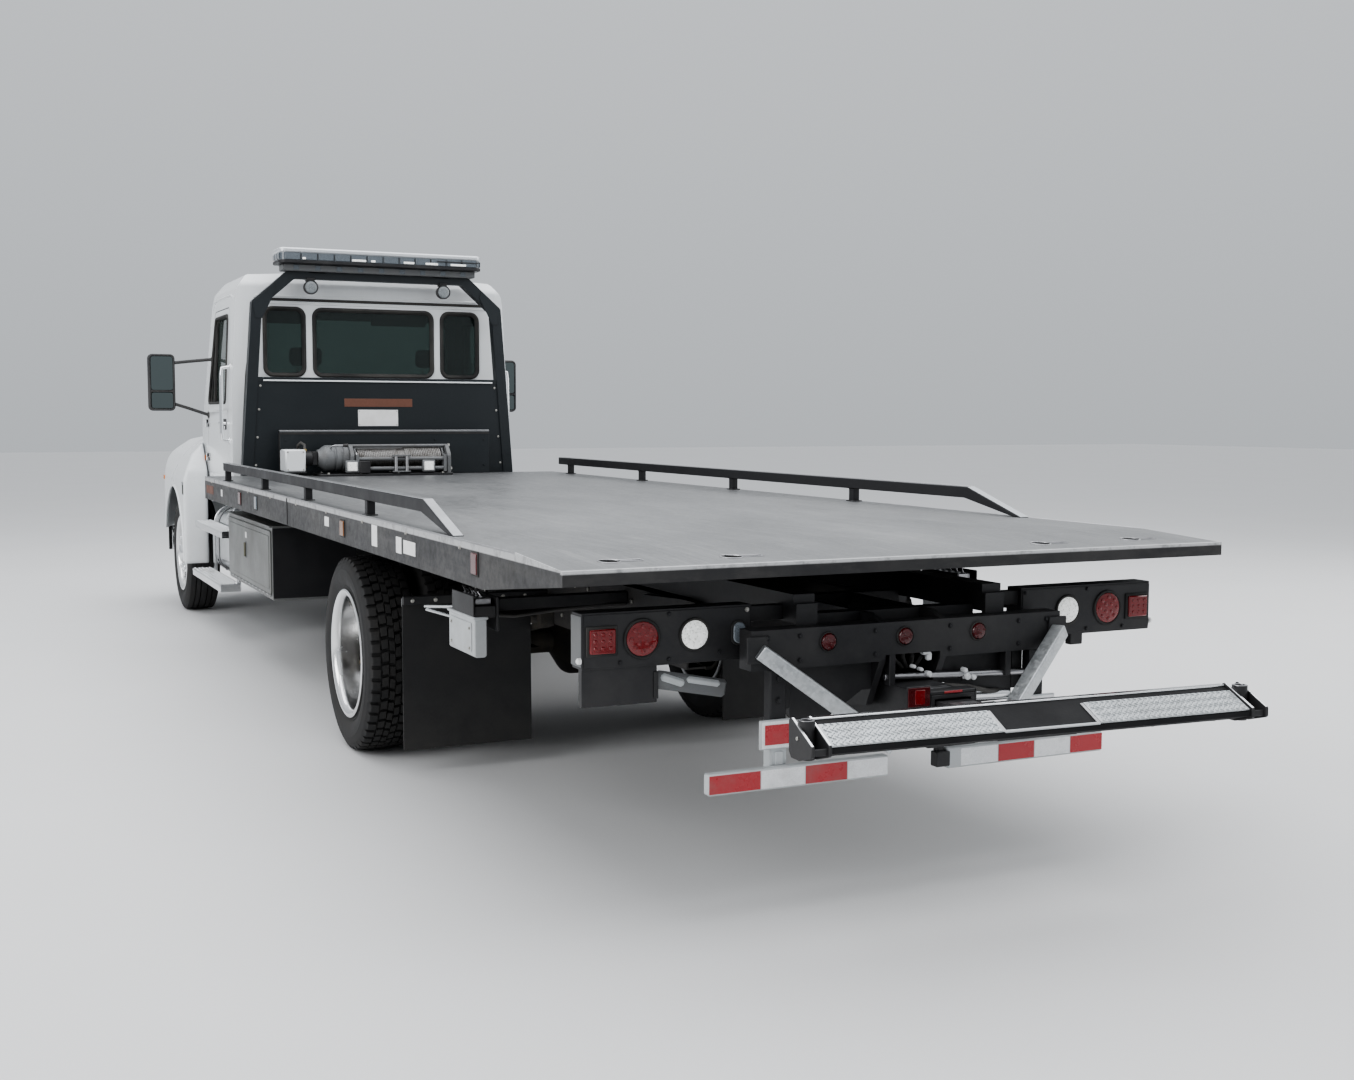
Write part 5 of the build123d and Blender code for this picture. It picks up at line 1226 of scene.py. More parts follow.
# ------------------------------------------------------------------ deck fittings and winch
deck_kit = Kit()
for s in (1, -1):
    x = 1.295
    out = (s, 0, 0)
    for y0, y1, z0, z1, mat in (
        (-2.180, -1.880, 1.070, 1.125, "orange"), (-1.560, -1.500, 1.075, 1.120, "label"), (-0.870, -0.790, 1.060, 1.135, "red_dim"),
        (-0.320, -0.260, 1.060, 1.135, "grey_lens"), (1.510, 1.600, 1.085, 1.130, "label"), (1.845, 1.915, 1.062, 1.132, "dull_amber"),
        (2.410, 2.500, 1.060, 1.150, "label"), (2.800, 2.880, 1.062, 1.128, "label"), (2.910, 3.080, 1.068, 1.122, "label"),
        (3.790, 3.850, 1.070, 1.145, "red_dim"),
    ):
        thick = 0.008 if mat in ("red", "red_dim", "dull_amber", "grey_lens") else 0.0012
        if thick > 0.002:
            deck_kit.box((s * x, s * (x + 0.0025)), (y0 - 0.006, y1 + 0.006), (z0 - 0.006, z1 + 0.006), "rubber", 0.001)
        deck_kit.box((s * x, s * (x + thick)), (y0, y1), (z0, z1), mat, 0.003 if thick > 0.002 else 0.0005)
    # seam of the channel and its stiffener pockets
    deck_kit.box((s * x, s * (x + 0.003)), (0.602, 0.618), (1.030, 1.172), "black", 0.001)
    for k in range(9):
        y = -1.95 + k * 0.70
        bolt_at(deck_kit, (s * x, y, 1.150), out, 0.0055, "bolt")
    # rubbing strip along the outer top edge
    deck_kit.box((s * 1.2915, s * 1.2965), (-2.250, 4.225), (1.1735, 1.1812), "steel", 0.002)
    # feet under the rails' posts
    posts = (-1.440, -0.160, 1.010, 2.270) if s > 0 else (-1.760, -0.470, 0.840, 2.170)
    for y in posts:
        deck_kit.box((s * 1.238, s * 1.2945), (y - 0.034, y + 0.034), (1.1795, 1.1855), "black", 0.002)
    # rubbed metal on top of the side rails with a painted sky sheen, brighter still where they slope down as a painted
    # reflection
    y0 = -1.495 if s > 0 else -1.955
    deck_kit.beam((s * 1.266, y0, 1.2962), (s * 1.266, 3.150, 1.2962), 0.036, 0.0022, "rail_top", b=0.0008)
    # painted highlight: a thin bright strip stands for the sky's reflection along the rail's outer top edge
    deck_kit.beam((s * 1.2855, y0, 1.2966), (s * 1.2855, 3.152, 1.2966), 0.0045, 0.0026, "aluminium", b=0.0008)
    # painted reflection: lighter metal on the sloped part of each rail, where it would catch the sky
    deck_kit.beam((s * 1.266, 3.157, 1.2962), (s * 1.266, 3.540, 1.1828), 0.038, 0.0026, "rail_light" if s > 0 else "silver", up=(0, 0.28, 0.96), b=0.0008)
# bright top edge of the headboard, blank plate, bolts
deck_kit.box((-0.781, 0.781), (-2.2555, -2.2095), (1.4965, 1.5025), "steel", 0.002)
deck_kit.box((-0.779, 0.779), (-2.2150, -2.2120), (1.1830, 1.4880), "navy", 0.001)
deck_kit.box((-0.781, 0.781), (-2.2160, -2.2080), (1.4880, 1.5010), "grey_plastic", 0.002)
# white cover over the winch motor's wiring
deck_kit.box((0.655, 0.797), (-2.130, -1.935), (1.2130, 1.3700), "white", 0.010)
deck_kit.box((0.650, 0.802), (-2.135, -1.930), (1.2040, 1.2140), "black", 0.002)
for dz in (1.230, 1.352):
    for dx in (0.672, 0.780):
        bolt_at(deck_kit, (dx, -1.935, dz), (0, 1, 0), 0.004)
for x in (-0.74, -0.36, 0.36, 0.74):
    for z in (1.24, 1.43):
        bolt_at(deck_kit, (x, -2.2120, z), (0, 1, 0), 0.006, "navy")
# steel liners round the chain slots
for x, y in ((0.620, 4.495), (1.040, 4.485), (-0.620, 4.495), (-1.040, 4.485)):
    z = 1.180 - (y - 4.230) / (4.640 - 4.230) * (1.180 - 1.157)
    path = []
    for k in range(21):
        a = math.radians(-160 + 320 * k / 20)
        path.append((x + 0.040 + 0.0355 * math.cos(a), y + 0.0355 * math.sin(a)))
    path = [(x - 0.0715, y - 0.0135)] + path + [(x - 0.0715, y + 0.0135)]
    ring = [(px, py, 1.180 - (py - 4.230) / 0.410 * 0.023 + 0.0008) for px, py in path]
    deck_kit.sweep(ring, 0.0022, "steel", 8, closed=True)
deck_kit.make("deck_fittings", "bed", [], "deck_steel")

hitch = Kit()
WY, WZ = -2.040, 1.305
for x in (-0.380, 0.328):
    hitch.prism(rounded([(-2.150, 1.196, 0.0), (-2.150, 1.330, 0.05), (-2.085, 1.402, 0.05), (-1.990, 1.402, 0.05), (-1.925, 1.330, 0.05), (-1.925, 1.196, 0.0)], 6),
                "x", x - 0.014, x + 0.014, "winch", 0.002)
    hitch.lathe([(-0.022, 0.023), (-0.022, 0.050), (0.022, 0.050), (0.022, 0.023)], (x, WY, WZ), (1, 0, 0), "steel", 40)
for y, z in ((-2.125, 1.225), (-1.952, 1.225), (-2.010, 1.392)):
    hitch.rod((-0.392, y, z), (0.340, y, z), 0.011, "winch", 16)
    for x, d in ((-0.394, -1), (0.342, 1)):
        hitch.hexbolt((x, y, z), (d, 0, 0), 0.016, 0.012, "bolt")
# gear case, motor and clutch
hitch.lathe([(0.342, 0.0), (0.342, 0.088), (0.352, 0.092), (0.380, 0.092), (0.384, 0.086), (0.396, 0.086), (0.400, 0.0925), (0.430, 0.0925), (0.434, 0.086),
             (0.446, 0.086), (0.450, 0.0925), (0.500, 0.092), (0.520, 0.080), (0.540, 0.064), (0.556, 0.060), (0.560, 0.0)], (0, WY, WZ), (1, 0, 0), "winch", 48,
            closed=False)
for k in range(12):
    a = 2 * math.pi * k / 12
    hitch.hexbolt((0.500, WY + 0.084 * math.cos(a), WZ + 0.084 * math.sin(a)), (1, 0, 0), 0.006, 0.006, "bolt")
hitch.box((0.560, 0.596), (WY - 0.048, WY + 0.048), (WZ - 0.048, WZ + 0.048), "black", 0.004)
hitch.lathe([(0.596, 0.0), (0.596, 0.052), (0.680, 0.052), (0.690, 0.046), (0.694, 0.0)], (0, WY, WZ), (1, 0, 0), "black", 36, closed=False)
for dz in (-0.020, 0.020):
    hitch.hexbolt((0.640, WY, WZ + 0.050 if dz > 0 else WZ - 0.050), (0, 0, 1 if dz > 0 else -1), 0.013, 0.016, "brass")
hitch.sweep([(0.640, WY, WZ + 0.066), (0.640, WY - 0.01, WZ + 0.095), (0.655, WY - 0.06, WZ + 0.11), (0.665, WY - 0.11, WZ + 0.09), (0.665, WY - 0.150, WZ + 0.02),
             (0.660, WY - 0.170, WZ - 0.06), (0.650, WY - 0.185, WZ - 0.118)], 0.010, "hose", 12)
hitch.sweep([(0.640, WY, WZ - 0.066), (0.640, WY - 0.01, WZ - 0.085), (0.648, WY - 0.05, WZ - 0.103), (0.655, WY - 0.10, WZ - 0.108), (0.650, WY - 0.160, WZ - 0.112)],
            0.010, "hose", 12)
hitch.box((-0.398, 0.346), (-2.156, -2.122), (1.338, 1.386), "winch", 0.004)
hitch.box((-0.402, 0.562), (-2.171, -1.904), (1.1805, 1.1965), "black", 0.003)
for x in (-0.33, 0.0, 0.27, 0.50):
    for y in (-2.150, -1.924):
        bolt_at(hitch, (x, y, 1.1965), (0, 0, 1), 0.009)
# free-spool handle
hitch.sweep([(0.470, WY + 0.06, WZ + 0.070), (0.470, WY + 0.085, WZ + 0.085), (0.450, WY + 0.105, WZ + 0.092), (0.395, WY + 0.110, WZ + 0.092)], 0.006, "steel", 10)
hitch.lathe([(0, 0.0), (0, 0.010), (0.020, 0.013), (0.035, 0.010), (0.038, 0.0)], (0.395, WY + 0.110, WZ + 0.092), (-1, 0, 0), "plastic", 16, closed=False)
# four-way roller guide
for z in (1.232, 1.300):
    hitch.rod((-0.340, -1.928, z), (0.290, -1.928, z), 0.014, "winch", 18)
for x in (-0.345, 0.295):
    hitch.box((x - 0.010, x + 0.010), (-1.955, -1.905), (1.205, 1.330), "winch", 0.002)
for x in (-0.060, 0.020):
    hitch.rod((x, -1.910, 1.212), (x, -1.910, 1.322), 0.012, "steel", 16)
hitch.box((-0.085, 0.045), (-1.925, -1.896), (1.318, 1.328), "winch", 0.002)
hitch.box((-0.085, 0.045), (-1.925, -1.896), (1.204, 1.214), "winch", 0.002)
# work lights
for x in (0.336, -0.222):
    hitch.box((x - 0.046, x + 0.046), (-1.940, -1.902), (1.204, 1.290), "winch", 0.006)
    hitch.box((x - 0.036, x + 0.036), (-1.904, -1.896), (1.215, 1.279), "label", 0.012)
    hitch.box((x - 0.030, x + 0.030), (-1.898, -1.894), (1.219, 1.275), "led", 0.003)
hitch.box((0.208, 0.286), (-1.930, -1.894), (1.200, 1.286), "black", 0.004)
hitch.make("winch_frame", "bed", ["winch"], "steel")

spool = Kit()
spool.rod((-0.398, WY, WZ), (0.338, WY, WZ), 0.0215, "steel", 28)
spool.lathe([(-0.340, 0.0), (-0.340, 0.0560), (0.290, 0.0560), (0.290, 0.0)], (0, WY, WZ), (1, 0, 0), "steel", 40, closed=False)
for x0, x1 in ((-0.352, -0.340), (0.290, 0.304)):
    spool.lathe([(x0, 0.0), (x0, 0.075), (x0 + 0.003, 0.078), (x1 - 0.003, 0.078), (x1, 0.075), (x1, 0.0)], (0, WY, WZ), (1, 0, 0), "winch", 48, closed=False)
turns, per = 49, 20
path = [(-0.333 + 0.616 * i / (turns * per), WY + 0.0620 * math.cos(2 * math.pi * i / per), WZ + 0.0620 * math.sin(2 * math.pi * i / per)) for i in range(turns * per + 1)]
spool.sweep(path, 0.0063, "rope", 8)
turns = 21
path = [(-0.06 - 0.266 * i / (turns * per), WY + 0.0725 * math.cos(-2 * math.pi * i / per), WZ + 0.0725 * math.sin(-2 * math.pi * i / per)) for i in range(turns * per + 1)]
spool.sweep(path, 0.0063, "rope", 8)
spool.make("winch_rope_and_spool", "drum", ["winch_drum"], "steel")

# ------------------------------------------------------------------ tanks, steps, toolboxes, flaps, lever stands
side_kit = Kit()
for s in (1, -1):
    out = (s, 0, 0)
    # tank straps with rubber under them, drawn round the rounded section
    for y in (-3.350, -2.550):
        loop = rounded([(0.4655, 0.3805, 0.1445), (1.0445, 0.3805, 0.1445), (1.0445, 0.9045, 0.1445), (0.4655, 0.9045, 0.1445)], 10)
        inner = rounded([(0.4680, 0.3830, 0.1420), (1.0420, 0.3830, 0.1420), (1.0420, 0.9020, 0.1420), (0.4680, 0.9020, 0.1420)], 10)
        for ring, width, mat, grow in ((inner, 0.036, "rubber", 0.0), (loop, 0.026, "steel", 0.0)):
            n = len(ring)
            base = [(s * px, y - width, pz) for px, pz in ring] + [(s * px, y + width, pz) for px, pz in ring]
            small = inset(ring, 0.003)
            base += [(s * px, y - width, pz) for px, pz in small] + [(s * px, y + width, pz) for px, pz in small]
            faces = []
            for i in range(n):
                j = (i + 1) % n
                faces += [[i, n + i, n + j, j], [2 * n + i, 2 * n + j, 3 * n + j, 3 * n + i], [i, j, 2 * n + j, 2 * n + i],
                          [n + i, 3 * n + i, 3 * n + j, n + j]]
            side_kit.add(base, [f if s > 0 else f[::-1] for f in faces], mat)
        side_kit.hexbolt((s * 0.75, y, 0.905), (0, 0, 1), 0.010, 0.010, "bolt", 0.006)
    # end seams and filler
    for y in (-3.545, -2.355):
        ring = rounded([(0.4680, 0.3830, 0.1420), (1.0420, 0.3830, 0.1420), (1.0420, 0.9020, 0.1420), (0.4680, 0.9020, 0.1420)], 8)
        side_kit.sweep([(s * px, y, pz) for px, pz in ring], 0.0035, "aluminium", 8, closed=True)
    if s > 0:
        fill = Vector((0.985, -2.950, 0.862))
        ax = Vector((0.72, 0, 0.70)).normalized()
        side_kit.lathe([(-0.03, 0.0), (-0.03, 0.046), (0.012, 0.046), (0.012, 0.052), (0.030, 0.052), (0.034, 0.048), (0.036, 0.0)], fill, ax, "aluminium", 36,
                       closed=False)
        side_kit.frame_box(fill + ax * 0.040, Vector((0, 1, 0)), ax.cross(Vector((0, 1, 0))), ax, 0.040, 0.006, 0.006, "aluminium", 0.002)
    # step treads: grip lips and drain holes
    for x0, x1, y0, y1, z in ((1.060, 1.198, -3.630, -2.310, 0.4055), (1.060, 1.182, -3.550, -2.310, 0.7855)):
        rows = 5 if z < 0.5 else 4
        cols = int((y1 - y0) / 0.060)
        for i in range(cols):
            for j in range(rows):
                cx = x0 + (x1 - x0) * (j + 0.5) / rows
                cy = y0 + (y1 - y0) * (i + 0.5) / cols + (0.012 if j % 2 else -0.012)
                side_kit.lathe([(0, 0.0095), (0.0042, 0.0082), (0.0042, 0.0060), (-0.001, 0.0052)], (s * cx, cy, z - 0.0005), (0, 0, 1), "aluminium", 14)
                side_kit.lathe([(0.0004, 0.0060), (0.0004, 0.0)], (s * cx, cy, z - 0.0004), (0, 0, 1), "rubber", 10, closed=False)
        side_kit.box((s * (x1 + 0.001), s * (x1 + 0.006)), (y0 + 0.01, y1 - 0.01), (z - 0.020, z - 0.004), "aluminium", 0.002)
side_kit.make("tank_straps_and_step_grips", "chassis", [], "aluminium")

boxes = Kit()
for s in (1, -1):
    out = (s, 0, 0)
    x = 1.200
    # drop-down door with folded edge, hinge and slam locks
    boxes.prism(rounded([(-1.820, 0.545, 0.015), (-0.355, 0.545, 0.015), (-0.355, 0.925, 0.015), (-1.820, 0.925, 0.015)], 5), "x", *sorted((s * x, s * (x + 0.010))),
                "toolbox", 0.003)
    boxes.prism(rounded([(-1.790, 0.575, 0.010), (-0.385, 0.575, 0.010), (-0.385, 0.895, 0.010), (-1.790, 0.895, 0.010)], 4), "x",
                *sorted((s * (x + 0.009), s * (x + 0.0125))), "toolbox", 0.003)
    boxes.rod((s * (x + 0.005), -1.800, 0.538), (s * (x + 0.005), -0.375, 0.538), 0.0055, "steel", 12)
    for k in range(12):
        y = -1.77 + k * 0.122
        boxes.rod((s * (x + 0.005), y, 0.538), (s * (x + 0.005), y + 0.05, 0.538), 0.0068, "toolbox", 12)
    boxes.box((s * (x + 0.012), s * (x + 0.0145)), (-1.160, -1.112), (0.828, 0.866), "label", 0.001)
    # one recessed latch plate with its olive pull
    boxes.prism(rounded([(-1.180, 0.700, 0.012), (-1.112, 0.700, 0.012), (-1.112, 0.806, 0.012), (-1.180, 0.806, 0.012)], 5), "x",
                *sorted((s * (x + 0.012), s * (x + 0.015))), "grey_plastic", 0.0015)
    boxes.box((s * (x + 0.015), s * (x + 0.025)), (-1.158, -1.134), (0.708, 0.798), "olive", 0.003)
    # black end faces
    boxes.box((s * 0.702, s * 1.198), (-1.8535, -1.8495), (0.524, 0.941), "rail", 0.001)
    boxes.box((s * 0.702, s * 1.198), (-0.3255, -0.3215), (0.524, 0.941), "rail", 0.001)
    # drip gutter and hanger bolts
    boxes.box((s * 1.190, s * 1.216), (-1.840, -0.335), (0.9465, 0.9565), "toolbox", 0.002)
    for y in (-1.700, -0.900):
        for dz in (-0.016, 0.016):
            bolt_at(boxes, (s * 0.700, y, 0.73 + dz), (-s, 0, 0), 0.008)
boxes.make("toolbox_doors", "chassis", [], "galvanised")

flaps = Kit()
for s in (1, -1):
    # soft ribbed flap, very slightly bowed, with its clamp bar
    cols, rows = 13, 22
    for face_y, flip in ((2.1962, False), (2.1858, True)):
        pts = []
        for i in range(rows):
            z = 0.112 + (0.796 - 0.112) * i / (rows - 1)
            for j in range(cols):
                x = 0.502 + (1.108 - 0.502) * j / (cols - 1)
                wave = 0.0035 * math.sin(3.0 * x + 2.0 * z) * (1 - i / (rows - 1)) + 0.0025 * math.sin(9 * z)
                pts.append((s * x, face_y + wave * (1 - i / (rows - 1)), z))
        flaps.grid(pts, rows, cols, "flap", flip=flip ^ (s > 0) ^ True)
    for edge in range(2):
        pts = []
        for i in range(rows):
            z = 0.112 + (0.796 - 0.112) * i / (rows - 1)
            x = 0.502 if edge == 0 else 1.108
            wave = 0.0035 * math.sin(3.0 * x + 2.0 * z) * (1 - i / (rows - 1)) + 0.0025 * math.sin(9 * z)
            w = wave * (1 - i / (rows - 1))
            pts += [(s * x, 2.1858 + w, z), (s * x, 2.1962 + w, z)]
        flaps.grid(pts, rows, 2, "flap", flip=(edge == 0) ^ (s > 0))
    pts = []
    for j in range(cols):
        x = 0.502 + (1.108 - 0.502) * j / (cols - 1)
        wave = 0.0035 * math.sin(3.0 * x + 2.0 * 0.112) + 0.0025 * math.sin(9 * 0.112)
        pts += [(s * x, 2.1858 + wave, 0.112), (s * x, 2.1962 + wave, 0.112)]
    flaps.grid(pts, cols, 2, "flap", flip=s > 0)
    flaps.box((s * 0.430, s * 1.110), (2.1965, 2.2255), (0.7705, 0.8095), "black", 0.003)
    flaps.box((s * 0.502, s * 1.108), (2.1790, 2.1860), (0.760, 0.798), "steel", 0.002)
    for k in range(6):
        x = 0.54 + k * 0.106
        bolt_at(flaps, (s * x, 2.1790, 0.779), (0, -1, 0), 0.007)
        bolt_at(flaps, (s * x, 2.2255, 0.790), (0, 1, 0), 0.007)
flaps.make("mud_flap_sheets", "chassis", ["mud_flaps"], "rubber")

levers = Kit()
for s in (1, -1):
    levers.beam((s * 0.432, 3.130, 0.875), (s * 1.064, 3.130, 0.875), 0.050, 0.050, "black")
    levers.box((s * 1.062, s * 1.150), (3.090, 3.355), (0.8505, 0.9000), "black", 0.004)
    levers.box((s * 1.050, s * 1.062), (3.090, 3.355), (0.800, 0.9300), "black", 0.003)
    # valve bank with five short dark handles
    for k in range(5):
        y = 3.130 + k * 0.046
        levers.box((s * 1.075, s * 1.140), (y - 0.020, y + 0.020), (0.900, 0.926), "steel", 0.003)
        levers.rod((s * 1.108, y, 0.926), (s * 1.112, y, 0.9340), 0.008, "steel", 12)
        levers.rod((s * 1.110, y, 0.9330), (s * (1.118 + 0.006 * (k % 2)), y - 0.004 * k, 0.9520), 0.0045, "steel", 10)
        levers.lathe([(0, 0.0), (0.001, 0.006), (0.006, 0.0085), (0.010, 0.006), (0.011, 0.0)], (s * (1.118 + 0.006 * (k % 2)), y - 0.004 * k, 0.9475), (0, 0, 1),
                     "rubber", 14, closed=False)
    levers.box((s * 1.150, s * 1.156), (3.096, 3.362), (0.862, 0.940), "black", 0.002)
    # light grey guard box and the two long bright rods ahead of it
    levers.prism(rounded([(1.098, 0.702, 0.012), (1.148, 0.702, 0.012), (1.148, 0.856, 0.006), (1.098, 0.856, 0.006)], 5) if s > 0 else
                 rounded([(-1.148, 0.702, 0.012), (-1.098, 0.702, 0.012), (-1.098, 0.856, 0.006), (-1.148, 0.856, 0.006)], 5),
                 "y", 3.030, 3.350, "grey", 0.004)
    levers.box((s * 1.094, s * 1.154), (3.022, 3.358), (0.846, 0.858), "grey", 0.003)
    levers.box((s * 1.148, s * 1.152), (3.060, 3.320), (0.722, 0.832), "grey", 0.003)
    for dy, dz in ((0.012, 0.012), (0.012, 0.088), (0.238, 0.012), (0.238, 0.088)):
        bolt_at(levers, (s * 1.152, 3.065 + dy, 0.722 + dz), (s, 0, 0), 0.005)
    levers.rod((s * 1.110, 3.105, 0.868), (s * 1.118, 2.600, 0.812), 0.0085, "aluminium", 14)
    levers.rod((s * 1.110, 3.000, 0.812), (s * 1.118, 2.620, 0.800), 0.0075, "aluminium", 14)
    levers.lathe([(-0.012, 0.0), (-0.012, 0.014), (0.012, 0.014), (0.012, 0.0)], (s * 1.110, 3.020, 0.852), (s, 0, 0), "steel", 20, closed=False)
    for k in range(4):
        levers.sweep([(s * 1.055, 3.08 + k * 0.05, 0.86), (s * 1.02, 3.08 + k * 0.05, 0.845), (s * 0.93, 3.07 + k * 0.035, 0.83), (s * 0.75, 3.06 + k * 0.03, 0.84),
                      (s * 0.55, 3.06 + k * 0.03, 0.85), (s * 0.445, 3.07 + k * 0.03, 0.85)], 0.008, "hose", 10)
levers.make("lever_stands", "chassis", ["control_stations"], "steel")

# ------------------------------------------------------------------ cab trim, lamps, mirrors, glass
def side_x(z):
    """Outer face of the cab's left side at height z."""
    return 1.050 if z < 1.680 else 1.050 - (z - 1.680) / 0.760 * 0.038


def screen_y(z):
    return -3.900 + (z - 1.640) / 0.800 * 0.300


SCREEN_N = Vector((0, -0.800, 0.300)).normalized()

trim = Kit()
# seals of the three rear windows
for x0, x1 in ((-0.450, 0.450), (0.520, 0.810), (-0.810, -0.520)):
    ring = rounded(rrect((x0, x1), (1.900, 2.390), 0.060), 8)
    trim.sweep([(px, -2.5600, pz) for px, pz in ring], 0.0125, "rubber", 10, closed=True)
    ring = rounded(rrect((x0 + 0.010, x1 - 0.010), (1.910, 2.380), 0.052), 8)
    trim.sweep([(px, -2.5680, pz) for px, pz in ring], 0.010, "rubber", 8, closed=True)
# pressed ribs above and below the rear windows
for z in (2.425, 2.478):
    trim.box((-0.870, 0.870), (-2.564, -2.553), (z - 0.008, z + 0.008), "white", 0.004)
trim.box((-0.880, 0.880), (-2.5595, -2.5545), (2.441, 2.462), "rubber", 0.002)
trim.box((-0.980, 0.980), (-2.562, -2.552), (1.205, 1.217), "white", 0.004)
# windscreen seal and its bright insert
ring = rounded([(0.925, 1.705, 0.07), (0.885, 2.385, 0.07), (-0.885, 2.385, 0.07), (-0.925, 1.705, 0.07)], 8)
trim.sweep([tuple(Vector((px, screen_y(pz), pz)) + SCREEN_N * 0.001) for px, pz in ring], 0.0130, "rubber", 10, closed=True)
# drip rails over the doors and roof seam
for s in (1, -1):
    path = [(s * 1.0135, -3.640, 2.300), (s * 1.0135, -3.535, 2.440), (s * 1.0080, -3.450, 2.478), (s * 1.0050, -3.300, 2.486), (s * 1.0050, -2.760, 2.486),
            (s * 1.0080, -2.700, 2.470)]
    trim.sweep(path, 0.008, "white", 10)
# five amber roof markers
for x in (-0.72, -0.28, 0.0, 0.28, 0.72):
    z = 2.632 if abs(x) < 0.5 else 2.618
    trim.box((x - 0.062, x + 0.062), (-3.500, -3.400), (z - 0.015, z + 0.018), "chrome", 0.008)
    trim.prism(rounded([(-3.498, z + 0.014, 0.0), (-3.470, z + 0.056, 0.016), (-3.425, z + 0.052, 0.016), (-3.404, z + 0.014, 0.0)], 5), "x", x - 0.050, x + 0.050,
               "amber", 0.006)
# wipers
for s in (1, -1):
    foot = Vector((s * 0.52, screen_y(1.668) - 0.018, 1.668))
    knee = Vector((s * 0.30, screen_y(1.760) - 0.030, 1.760))
    tip = Vector((s * 0.12 if s > 0 else -0.70, screen_y(1.800) - 0.022, 1.800))
    tip = Vector((s * 0.05, screen_y(1.795) - 0.022, 1.795))
    trim.lathe([(0, 0.0), (0, 0.019), (0.016, 0.017), (0.020, 0.0)], foot - SCREEN_N * 0.004, SCREEN_N, "plastic", 20, closed=False)
    trim.sweep([foot + SCREEN_N * 0.012, (foot + knee) / 2 + SCREEN_N * 0.016, knee + SCREEN_N * 0.004], 0.006, "plastic", 10)
    a, b = Vector((s * 0.60, screen_y(1.735) - 0.014, 1.735)), Vector((s * 0.02, screen_y(1.790) - 0.014, 1.790))
    trim.beam(a, b, 0.007, 0.014, "rubber", up=SCREEN_N, b=0.002)
# cowl vent under the windscreen
trim.box((-0.78, 0.78), (-3.985, -3.925), (1.598, 1.612), "plastic", 0.004)
for k in range(38):
    x = -0.74 + k * 0.040
    trim.box((x - 0.012, x + 0.012), (-3.980, -3.935), (1.6115, 1.6160), "rubber", 0.001)
# grab handles behind the doors and steps' lamps
for s in (1, -1):
    path = [(s * 1.052, -2.700, 1.420), (s * 1.098, -2.700, 1.430), (s * 1.104, -2.700, 1.480), (s * 1.100, -2.700, 1.900), (s * 1.094, -2.700, 1.950), (s * 1.036, -2.700, 1.960)]
    trim.sweep(path, 0.013, "chrome", 14)
    for z in (1.420, 1.960):
        trim.lathe([(0, 0.0), (0, 0.026), (0.006, 0.024), (0.008, 0.0)], (s * (side_x(z) - 0.002), -2.700, z), (s, 0, 0), "chrome", 20, closed=False)
    # side turn lamp
    trim.box((s * 1.049, s * 1.060), (-3.850, -3.770), (1.250, 1.290), "amber", 0.004)
    # bright sill plate under the door
    trim.box((s * 1.0490, s * 1.0535), (-3.700, -2.740), (0.958, 0.990), "aluminium", 0.002)
trim.make("cab_trim_and_seals", "chassis", [], "dark_trim")

# glass: panes bedded in their seals
pane = Kit()
ring = rounded([(0.915, 1.715, 0.06), (0.876, 2.376, 0.06), (-0.876, 2.376, 0.06), (-0.915, 1.715, 0.06)], 8)


def bowed(ring, place, thick_dir, mat, cols=24, rows=12, thick=0.006):
    """A pane between an outline's left and right edges, as two skins and a rim."""
    zs = [p[1] for p in ring]
    z0, z1 = min(zs), max(zs)

    def span(z):
        hits = []
        m = len(ring)
        for i in range(m):
            (ax, az), (bx_, bz) = ring[i], ring[(i + 1) % m]
            if (az - z) * (bz - z) <= 0 and abs(az - bz) > 1e-9:
                hits.append(ax + (bx_ - ax) * (z - az) / (bz - az))
        return (min(hits), max(hits)) if hits else (0, 0)

    front, back = [], []
    for i in range(rows):
        t = i / (rows - 1)
        z = z0 + (z1 - z0) * (0.5 - 0.5 * math.cos(math.pi * t)) if rows > 2 else z0
        z = min(max(z, z0 + 1e-5), z1 - 1e-5)
        lo, hi = span(z)
        for j in range(cols):
            x = lo + (hi - lo) * j / (cols - 1)
            p = Vector(place(x, z))
            front.append(p + thick_dir * thick / 2)
            back.append(p - thick_dir * thick / 2)
    n = rows * cols
    faces = []
    for i in range(rows - 1):
        for j in range(cols - 1):
            q = [i * cols + j, i * cols + j + 1, (i + 1) * cols + j + 1, (i + 1) * cols + j]
            faces += [q, [n + v for v in q[::-1]]]
    rim_loop = list(range(cols)) + [i * cols + cols - 1 for i in range(1, rows)] + [(rows - 1) * cols + j for j in range(cols - 2, -1, -1)] + [
        i * cols for i in range(rows - 2, 0, -1)]
    for a, b in zip(rim_loop, rim_loop[1:] + rim_loop[:1]):
        faces.append([b, a, n + a, n + b])
    return front + back, faces


def add_pane(kit, ring, place, thick_dir, mat, **kw):
    verts, faces = bowed(ring, place, thick_dir, mat, **kw)
    a, b, c = Vector(verts[0]), Vector(verts[1]), Vector(verts[kw.get("cols", 24)])
    if (b - a).cross(c - a).dot(thick_dir) < 0:
        faces = [f[::-1] for f in faces]
    kit.add(verts, faces, mat)


add_pane(pane, ring, lambda x, z: Vector((x, screen_y(z), z)) - SCREEN_N * (0.004 + 0.014 * (x / 0.915) ** 2), SCREEN_N, "glass")
for x0, x1 in ((-0.450, 0.450), (0.520, 0.810), (-0.810, -0.520)):
    ring = rounded(rrect((x0 + 0.006, x1 - 0.006), (1.906, 2.384), 0.055), 8)
    add_pane(pane, ring, lambda x, z: Vector((x, -2.5780, z)), Vector((0, 1, 0)), "dark_glass")
pane.make("cab_panes", "chassis", ["cab_windows"], "glass", weighted=False)

